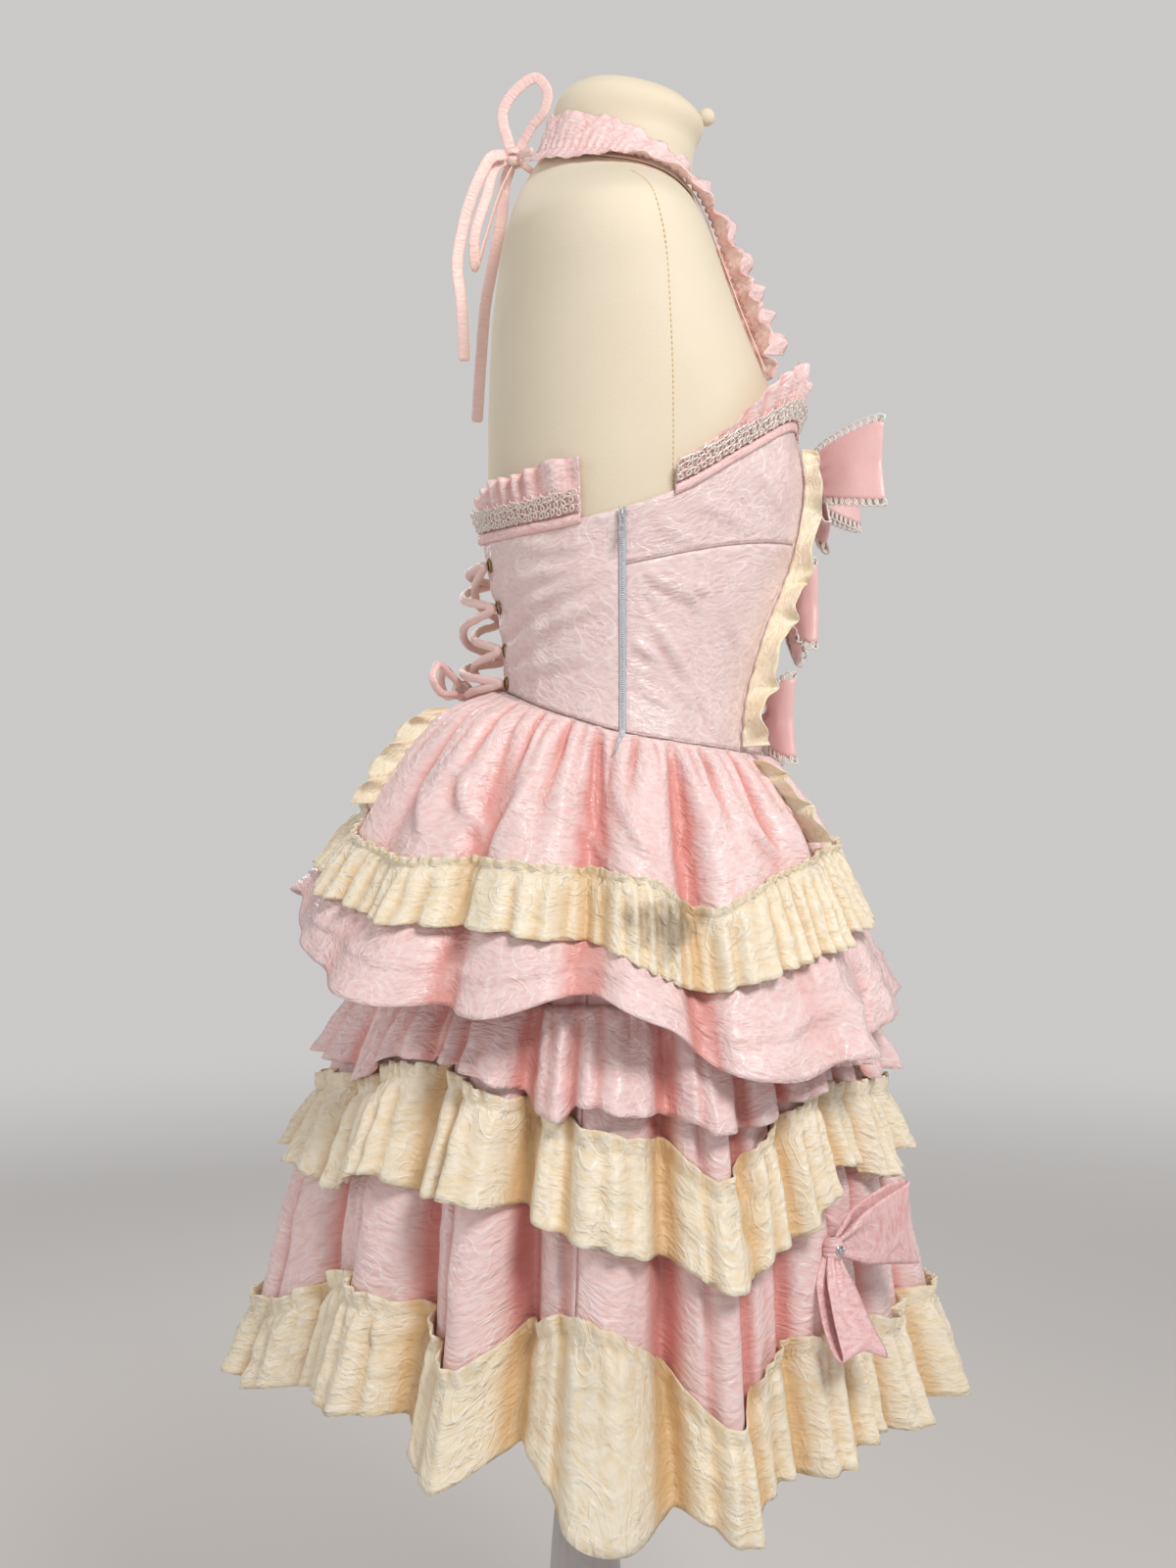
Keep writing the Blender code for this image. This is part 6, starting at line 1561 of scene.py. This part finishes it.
points, out, across, at = strap_frame(240)
strap_widths = np.linspace(-0.0062, 0.0062, 9)
strap_grid = points[None] + across[None] * strap_widths[:, None, None]
strap_grid = off_the_form(strap_grid + out[None] * 0.0012, 0.0032)
widths = np.concatenate([np.linspace(-0.0150, -0.0035, 7), np.linspace(-0.0025, 0.0235, 14)])[:, None]
reach = np.where(widths < -0.0035, (-0.0035 - widths) / 0.0115, (widths + 0.0035) / 0.0270)
rng = np.random.default_rng(300)
wander = sum(rng.uniform(0.2, 0.5) * np.sin(2 * math.pi * at / rng.uniform(0.05, 0.16) + rng.uniform(0, 6))
             for _ in range(4))
fold = 2 * math.pi * at / 0.0225 + wander
small = 2 * math.pi * at / 0.0058 + 1.3 * wander
wave = np.cos(fold[None] + 0.5 * reach)
calm = 1 - 0.60 * np.clip((at / at[-1] - 0.42) / 0.25, 0, 1)
amplitude = np.where(widths < -0.0035, 0.0030, 0.0042) * calm
on_chest = np.clip((0.50 - at / at[-1]) / 0.18, 0, 1)
stand_off = np.where(widths < -0.0035, 0.0034 + 0.004 * on_chest, 0.0040 + 0.009 * on_chest)
lift = stand_off * reach + amplitude * reach * (1 + wave)
lift += 0.0010 * np.cos(small[None]) * np.exp(-reach * 2.6)
lift += 0.0007 * np.sin(2.7 * fold[None] + 14 * reach) * reach
edge_wave = 1 + 0.05 * calm * np.cos(fold[None] + 1.1) + 0.03 * np.sin(2.3 * fold[None])
frill_grid = points[None] + across[None] * (widths * edge_wave)[..., None]
frill_grid = frill_grid + out[None] * (0.0046 + lift)[..., None]
frill_grid = off_the_form(frill_grid, 0.0049)
first = 12
for side, sign in (("right", 1), ("left", -1)):
    flip = np.array((sign, 1, 1))
    strap = grid_mesh(f"halter_strap_{side}", strap_grid * flip, peach_satin, thickness=0.0009)
    wear(strap, "pink_satin", f"strap_{side}")
    cloth_sheet(strap)
    strap_frill = grid_mesh(f"halter_frill_{side}", frill_grid[:, first:] * flip, frill_brocade,
        thickness=0.0007)
    wear(strap_frill, "pink_satin", f"strap_frill_{side}")
    cloth_sheet(strap_frill)
gather_line = points + across * -0.0035 + out * 0.0056
sewn = along_lines("halter_frill_stitches", stitches, [gather_line[first:], gather_line[first:] * (-1, 1, 1)],
                   Thread=pink_thread, Spacing=0.0032, Length=0.0022, Width=0.0006)
wear(sewn, "pink_satin")

halter_knot = (0.0, 0.0540, 1.4430)
wrapped_knot("neck_knot", halter_knot, (0.0140, 0.0125, 0.0140), -35, 0.0034, tie_cloth, "tie_cloth",
    "halter_knot")
upper_loop = [(0.000, 0.0550, 1.4445), (-0.002, 0.0585, 1.4560), (-0.004, 0.0622, 1.4760),
              (-0.008, 0.0505, 1.4925), (-0.011, 0.0370, 1.4990), (-0.012, 0.0285, 1.4885),
              (-0.010, 0.0310, 1.4745), (-0.003, 0.0400, 1.4660), (0.003, 0.0485, 1.4540),
              (0.004, 0.0535, 1.4450)]
lower_loop = [(-0.001, 0.0570, 1.4430), (-0.0035, 0.0660, 1.4370), (-0.006, 0.0740, 1.4130),
              (-0.007, 0.0837, 1.3744), (-0.002, 0.0825, 1.3600), (0.0035, 0.0750, 1.3850),
              (0.003, 0.0635, 1.4200), (0.001, 0.0535, 1.4395)]
for name, route, facing in (("neck_bow_upper_loop", upper_loop, (1, 0, 0)),
                            ("neck_bow_lower_loop", lower_loop, (1, 0.2, 0))):
    loop = swept(name, smooth_route(route, 130), 0.0040, 0.0010, tie_cloth, 16, facing, 0.7, 0.05, 31)
    wear(loop, "tie_cloth", "halter_knot")
for side, sign in (("right", -1), ("left", 1)):
    short_tie = [(sign * 0.0223, 0.0393, 1.4400), (sign * 0.012, 0.0470, 1.4420),
        (sign * 0.002, 0.0530, 1.4430)]
    tie = swept(f"neck_tie_{side}", smooth_route(short_tie, 24), 0.0032, 0.0013, tie_cloth, 14, (0, 1, 0),
        0.8, 0.08, 37)
    wear(tie, "tie_cloth", "halter_knot")
tail_routes = {
    "right": [(-0.0068, 0.0597, 1.4432), (-0.0120, 0.0690, 1.4400), (-0.0150, 0.0780, 1.4250),
              (-0.0160, 0.0860, 1.4050), (-0.0160, 0.0925, 1.3800), (-0.0165, 0.0956, 1.3589),
              (-0.0165, 0.0925, 1.3300), (-0.0160, 0.0904, 1.2856)],
    "left": [(0.0072, 0.0570, 1.4395), (0.0125, 0.0610, 1.4300), (0.0140, 0.0640, 1.4026),
             (0.0150, 0.0700, 1.3707), (0.0160, 0.0765, 1.3359), (0.0165, 0.0795, 1.3011),
             (0.0165, 0.0830, 1.2470)],
}
for side, route in tail_routes.items():
    path = smooth_route(route, 110)
    tail = swept(f"neck_tail_{side}", path, 0.0044, 0.0010, tie_cloth, 16, (1, 0.1, 0), 0.7, 0.05, 41)
    wear(tail, "tie_cloth", f"halter_tail_{side}")

# The cream frills: a strip set in each seam of the bodice's front panel, standing straight out and waving
# from side to side. It runs on down the overskirt, and the overskirt's back has one like it on each side.
# The second and fourth colours are painted shade, for the pucker hollows and for the folds.
cream_edge = brocade_material("cream frill edge", colour(249, 240, 216), colour(243, 226, 190),
                              colour(252, 247, 234), colour(226, 184, 120), 0.5, 0.0010, roses=26.0,
                              puckers=380.0, sheen=0.25, dent_depth=0.0008)


def standing_frill(name, node, azimuth, height, foot_radius, width, ripple, pitch, seed, mirror):
    """A strip on edge along a seam, its outer edge longer than its stitched one, so that it waves."""
    foot = polar_points(azimuth, foot_radius, height)
    along = np.concatenate([[0], np.cumsum(np.linalg.norm(np.diff(foot, axis=0), axis=1))])
    rng = np.random.default_rng(seed)
    wander = sum(rng.uniform(0.2, 0.5) * np.sin(2 * math.pi * along / rng.uniform(0.06, 0.2)
        + rng.uniform(0, 6)) for _ in range(4))
    fold = 2 * math.pi * along / pitch + wander
    angle = np.radians(azimuth)
    outward = np.stack([-np.cos(angle), -np.sin(angle), 0 * angle], axis=1)
    sideways = np.stack([np.sin(angle), -np.cos(angle), 0 * angle], axis=1)
    rows = []
    for share in np.linspace(0, 1, 9):
        swing = 1.25 * ripple * share**1.3 * (np.sin(fold) + 0.22 * np.sin(2.6 * fold + 2 * share))
        gathers = 0.0005 * np.sin(fold * 3.1) * (1 - share)
        reach = width * share * (1 + 0.09 * np.cos(fold + 0.8) + 0.05 * np.sin(1.7 * fold))
        droop = -0.0025 * share**2 * np.cos(fold)
        rows.append(foot + outward * reach[:, None] + sideways * (swing + gathers)[:, None]
                    + np.array((0, 0, 1.0)) * droop[:, None])
    grid = np.array(rows)
    if mirror:
        grid = grid * (-1, 1, 1)
    piece = grid_mesh(name, grid, cream_edge)
    wall = piece.modifiers.new("wall", "SOLIDIFY")
    wall.thickness = 0.0009
    wall.offset = 0
    wear(piece, "cream_jacquard", node)
    return cloth_sheet(piece)


height = np.linspace(1.215, 0.996, 200)
azimuth = smooth(FRONT_SEAM, height)
width = np.interp(height, (0.99, 1.08, 1.15, 1.22), (0.021, 0.020, 0.014, 0.012))
for side, mirror in (("right", False), ("left", True)):
    standing_frill(f"front_seam_frill_{side}", f"front_frill_{side}", azimuth, height,
        bodice_outer(azimuth, height) + 0.0012, width, 0.0062, 0.044, 400, mirror)
    for place, route in (("front", ((0.006, 43), (0.034, 47), (0.062, 54))),
                         ("back", ((0.012, -76), (0.035, -74), (0.082, -73)))):
        below = np.linspace(route[0][0], route[-1][0], 110)
        turn = smooth(route, below)
        level = waist_height(turn) - below
        standing_frill(f"overskirt_{place}_edge_{side}", f"overskirt_{place}_frill_{side}", turn, level,
                       overskirt_outer(turn, level) + 0.0016, 0.0185 + 0 * turn, 0.0052, 0.034, 420, mirror)

# The three bows down the front panel: dusty pink satin folded into loops, drawn in by a pleated band, with a
# crocheted edging of white picot loops along every edge.
bow_satin, tree, shader = new_material("bow satin", Sheen_Weight=0.4, Sheen_Roughness=0.3)
shader.inputs["Sheen Tint"].default_value = colour(255, 236, 234)
place = put(tree, "ShaderNodeUVMap", uv_map="cloth")
drawn_out = vector_maths(tree, "MULTIPLY", place.outputs["UV"], (0.25, 1.0, 1.0))
slubs = noise(tree, drawn_out.outputs[0], 700.0, Detail=3.0)
shade = noise(tree, place.outputs["UV"], 36.0, Detail=3.0)
tint(tree, shader, shade.outputs["Fac"], colour(228, 176, 176), colour(246, 212, 211))
gloss = mapped(tree, slubs.outputs["Fac"], 0.0, 1.0, 0.26, 0.42)
both = maths(tree, "MULTIPLY_ADD", shade.outputs["Fac"], 2.0, slubs.outputs["Fac"])
relieve(tree, shader, both.outputs[0], 0.5, 0.0005)
tree.links.new(gloss.outputs["Result"], shader.inputs["Roughness"])
picot_cotton, tree, shader = new_material("white picot cotton", Roughness=0.7, Sheen_Weight=0.2)
place = put(tree, "ShaderNodeTexCoord")
twist = noise(tree, place.outputs["Object"], 1400.0, Detail=2.0)
tint(tree, shader, twist.outputs["Fac"], colour(222, 214, 204), colour(250, 246, 240))
relieve(tree, shader, twist.outputs["Fac"], 0.7, 0.0003)


def bow_loop_grid(turn, length, end_height, lift, gap, seed):
    """A strip that leaves the knot, folds over at its end and comes back, creased near the knot."""
    rng = np.random.default_rng(seed)
    share = np.linspace(0, 1, 48)[:, None]
    knots = np.linspace(0, 1, 7)
    reach = smooth(list(zip(knots, (0.045, 0.42, 0.92, 1.03, 0.92, 0.42, 0.045))), share)
    half_gap = smooth(list(zip(knots, (0.30, 0.90, 0.85, 0.0, -0.85, -0.90, -0.30))), share) * gap
    half = np.interp(reach, (0, 0.35, 1.0), (0.0036, end_height * 0.30, end_height * 0.5))
    across = np.linspace(-1, 1, 18)[None, :]
    creases_in = sum(rng.uniform(0.5, 1.0) * np.cos(across * rng.uniform(4, 11) + rng.uniform(0, 6.28))
                     for _ in range(4)) / 2
    out = lift * reach**1.5 + half_gap + 0.0022 * creases_in * np.exp(-((reach - 0.22) / 0.22) ** 2)
    out = out + 0.0016 * np.abs(across) ** 2 * np.sin(reach * 5.0 + rng.uniform(0, 6.28)) * reach
    dip = 0.10 * length * (1 - np.abs(across)) * np.clip((reach - 0.80) / 0.2, 0, 1)
    along = reach * length - dip + 0 * across
    up = across * half
    angle = math.radians(turn)
    return np.stack([along * math.cos(angle) - up * math.sin(angle), out + 0 * up,
                     along * math.sin(angle) + up * math.cos(angle)], axis=-1)


def placed_bow(knot, facing, grid):
    angle = math.radians(facing)
    right = np.array([math.sin(angle), -math.cos(angle), 0.0])
    out = np.array([-math.cos(angle), -math.sin(angle), 0.0])
    return np.array(knot) + grid[..., :1] * right + grid[..., 1:2] * out + grid[..., 2:] * (0, 0, 1)


def strip_mesh(name, grid, look, thickness):
    """A cloth strip with its wall grown evenly to both sides."""
    piece = grid_mesh(name, grid, look)
    wall = piece.modifiers.new("wall", "SOLIDIFY")
    wall.thickness = thickness
    wall.offset = 0
    return piece


def picot_line(edge, inner, pitch, height):
    """A crocheted edge: one small loop after another, standing out from the cloth's edge."""
    lengths = np.concatenate([[0], np.cumsum(np.linalg.norm(np.diff(edge, axis=0), axis=1))])
    count = max(int(lengths[-1] / pitch), 1)
    turns = np.linspace(0, 2 * math.pi * count, count * 11)
    at = turns / turns[-1] * lengths[-1]
    base = np.stack([np.interp(at, lengths, column) for column in edge.T], axis=-1)
    away = edge - inner
    away /= np.linalg.norm(away, axis=1, keepdims=True)
    away = np.stack([np.interp(at, lengths, column) for column in away.T], axis=-1)
    way = np.gradient(base, axis=0)
    way /= np.linalg.norm(way, axis=1, keepdims=True) + 1e-9
    grow = height * 0.5 * (1 - np.cos(turns)) - 0.0003
    return base + away * grow[:, None] - way * (pitch * 0.40 * np.sin(turns))[:, None]


def bow_band_grid(size):
    """The short band that draws a bow in: it wraps round the middle, with pleats that run along it."""
    turn = np.linspace(0, 2 * math.pi, 40, endpoint=False)[None, :]
    up = np.linspace(-1, 1, 26)[:, None]
    swell = np.sqrt(np.clip(1 - 0.80 * up**4, 0.02, 1)) + 0.045 * np.cos(up * 15)
    swell = swell * np.where(np.abs(up) > 0.98, 0.4, 1)
    return np.stack([np.cos(turn) * swell * size[0] / 2, np.sin(turn) * swell * size[1] / 2,
                     up * size[2] / 2 + 0 * turn], axis=-1)


def tied_bow(name, node, knot, facing, loops, look, slot, seed, picots=True):
    lines = []
    for number, (turn, length, end_height, lift, gap) in enumerate(loops):
        grid = placed_bow(knot, facing, bow_loop_grid(turn, length, end_height, lift, gap, seed + number))
        loop = strip_mesh(f"{name}_loop_{number}", grid, look, 0.0009)
        wear(loop, slot, node)
        cloth_sheet(loop)
        for column, neighbour in ((0, 1), (-1, -2)):
            lines.append(picot_line(grid[5:-5, column], grid[5:-5, neighbour], 0.0058, 0.0054))
    band_grid = placed_bow(knot, facing, bow_band_grid((0.0140, 0.0130, 0.0160)))
    drawn_in = grid_mesh(f"{name}_band", band_grid, look, ring=True, caps=True)
    wear(drawn_in, slot, node)
    if picots:
        edging = along_lines(f"{name}_picots", threading, lines, Radius=0.00070, Look=picot_cotton, Sides=5)
        wear(edging, slot)


BOW_ROWS = (
    ("front_bow_top", "bow_top", 1.198, ((5, 0.056, 0.058, 0.042, 0.0055),
    (174, 0.056, 0.058, 0.041, 0.0052), (-60, 0.048, 0.024, 0.010, 0.0036),
    (-119, 0.047, 0.024, 0.009, 0.0033))),
    ("front_bow_middle", "bow_middle", 1.100, ((3, 0.036, 0.058, 0.014, 0.0055),
    (176, 0.036, 0.058, 0.013, 0.0052), (-60, 0.036, 0.021, 0.005, 0.0036),
    (-119, 0.035, 0.021, 0.004, 0.0033))),
    ("front_bow_bottom", "bow_bottom", 1.016, ((3, 0.036, 0.058, 0.012, 0.0055),
    (176, 0.036, 0.058, 0.011, 0.0052))),
)
for number, (name, node, height, loops) in enumerate(BOW_ROWS):
    knot = polar_points(90, float(bodice_outer(90, height)) + 0.0070, height)
    tied_bow(name, node, knot, 90, loops, bow_satin, "pink_satin", 500 + 10 * number)

# The two bows on the skirt's cream frill, right front and left front: wide loops of the rose brocade with a
# narrow hem and a hanging loop under them. A small round crystal in a claw setting covers each knot.
crystal, tree, shader = new_material("crystal", Roughness=0.04, Coat_Weight=1.0)
place = put(tree, "ShaderNodeTexCoord")
# Painted reflections: bright glints and dark reflections of the facets are painted into the crystal's colour.
facet_glints = put(tree, "ShaderNodeTexVoronoi", {"Vector": place.outputs["Object"], "Scale": 900.0})
tint(tree, shader, facet_glints.outputs["Distance"], colour(235, 238, 245), colour(120, 126, 140))
metal_share = mapped(tree, facet_glints.outputs["Distance"], 0.0, 1.0, 0.4, 0.9)
tree.links.new(metal_share.outputs[0], shader.inputs["Metallic"])
# The second and fourth colours are painted shade, for the pucker hollows and for the folds.
bow_brocade = brocade_material("bow brocade", colour(243, 202, 202), colour(234, 178, 178),
    colour(251, 226, 228), colour(206, 120, 116), 0.32, 0.0008, roses=22.0, puckers=340.0)
for name, node, facing, turns in (("skirt_bow_right", "skirt_bow_right", 40.5, (10, -98)),
                                  ("skirt_bow_left", "skirt_bow_left", 144, (170, -82))):
    knot = polar_points(facing, float(skirt_outer(facing, 0.662)) + 0.0052, 0.662)
    loops = ((turns[0], 0.062, 0.058, 0.014, 0.0065), (turns[1], 0.062, 0.044, 0.031, 0.0058))
    tied_bow(name, node, knot, facing, loops, bow_brocade, "pink_satin", 560,
        picots=False)
    stone_place = placed_bow(knot, facing, np.array([[0.0, 0.0072, 0.0]]))[0]
    stone_mesh = bpy.data.meshes.new(f"{name}_crystal")
    shaped = bmesh.new()
    bmesh.ops.create_icosphere(shaped, subdivisions=2, radius=0.0030)
    bmesh.ops.translate(shaped, vec=stone_place, verts=shaped.verts)
    shaped.to_mesh(stone_mesh)
    shaped.free()
    stone_mesh.materials.append(crystal)
    stone = bpy.data.objects.new(f"{name}_crystal", stone_mesh)
    bpy.context.scene.collection.objects.link(stone)
    wear(stone, "pink_satin")
    circle = np.linspace(0, 2 * math.pi, 33)
    setting_path = placed_bow(knot, facing, np.stack([0.0031 * np.cos(circle), 0 * circle + 0.0064,
                                                      0.0031 * np.sin(circle)], axis=-1))
    setting = along_lines(f"{name}_setting", threading, [setting_path], Radius=0.0006, Sides=6, Look=nickel)
    wear(setting, "pink_satin")
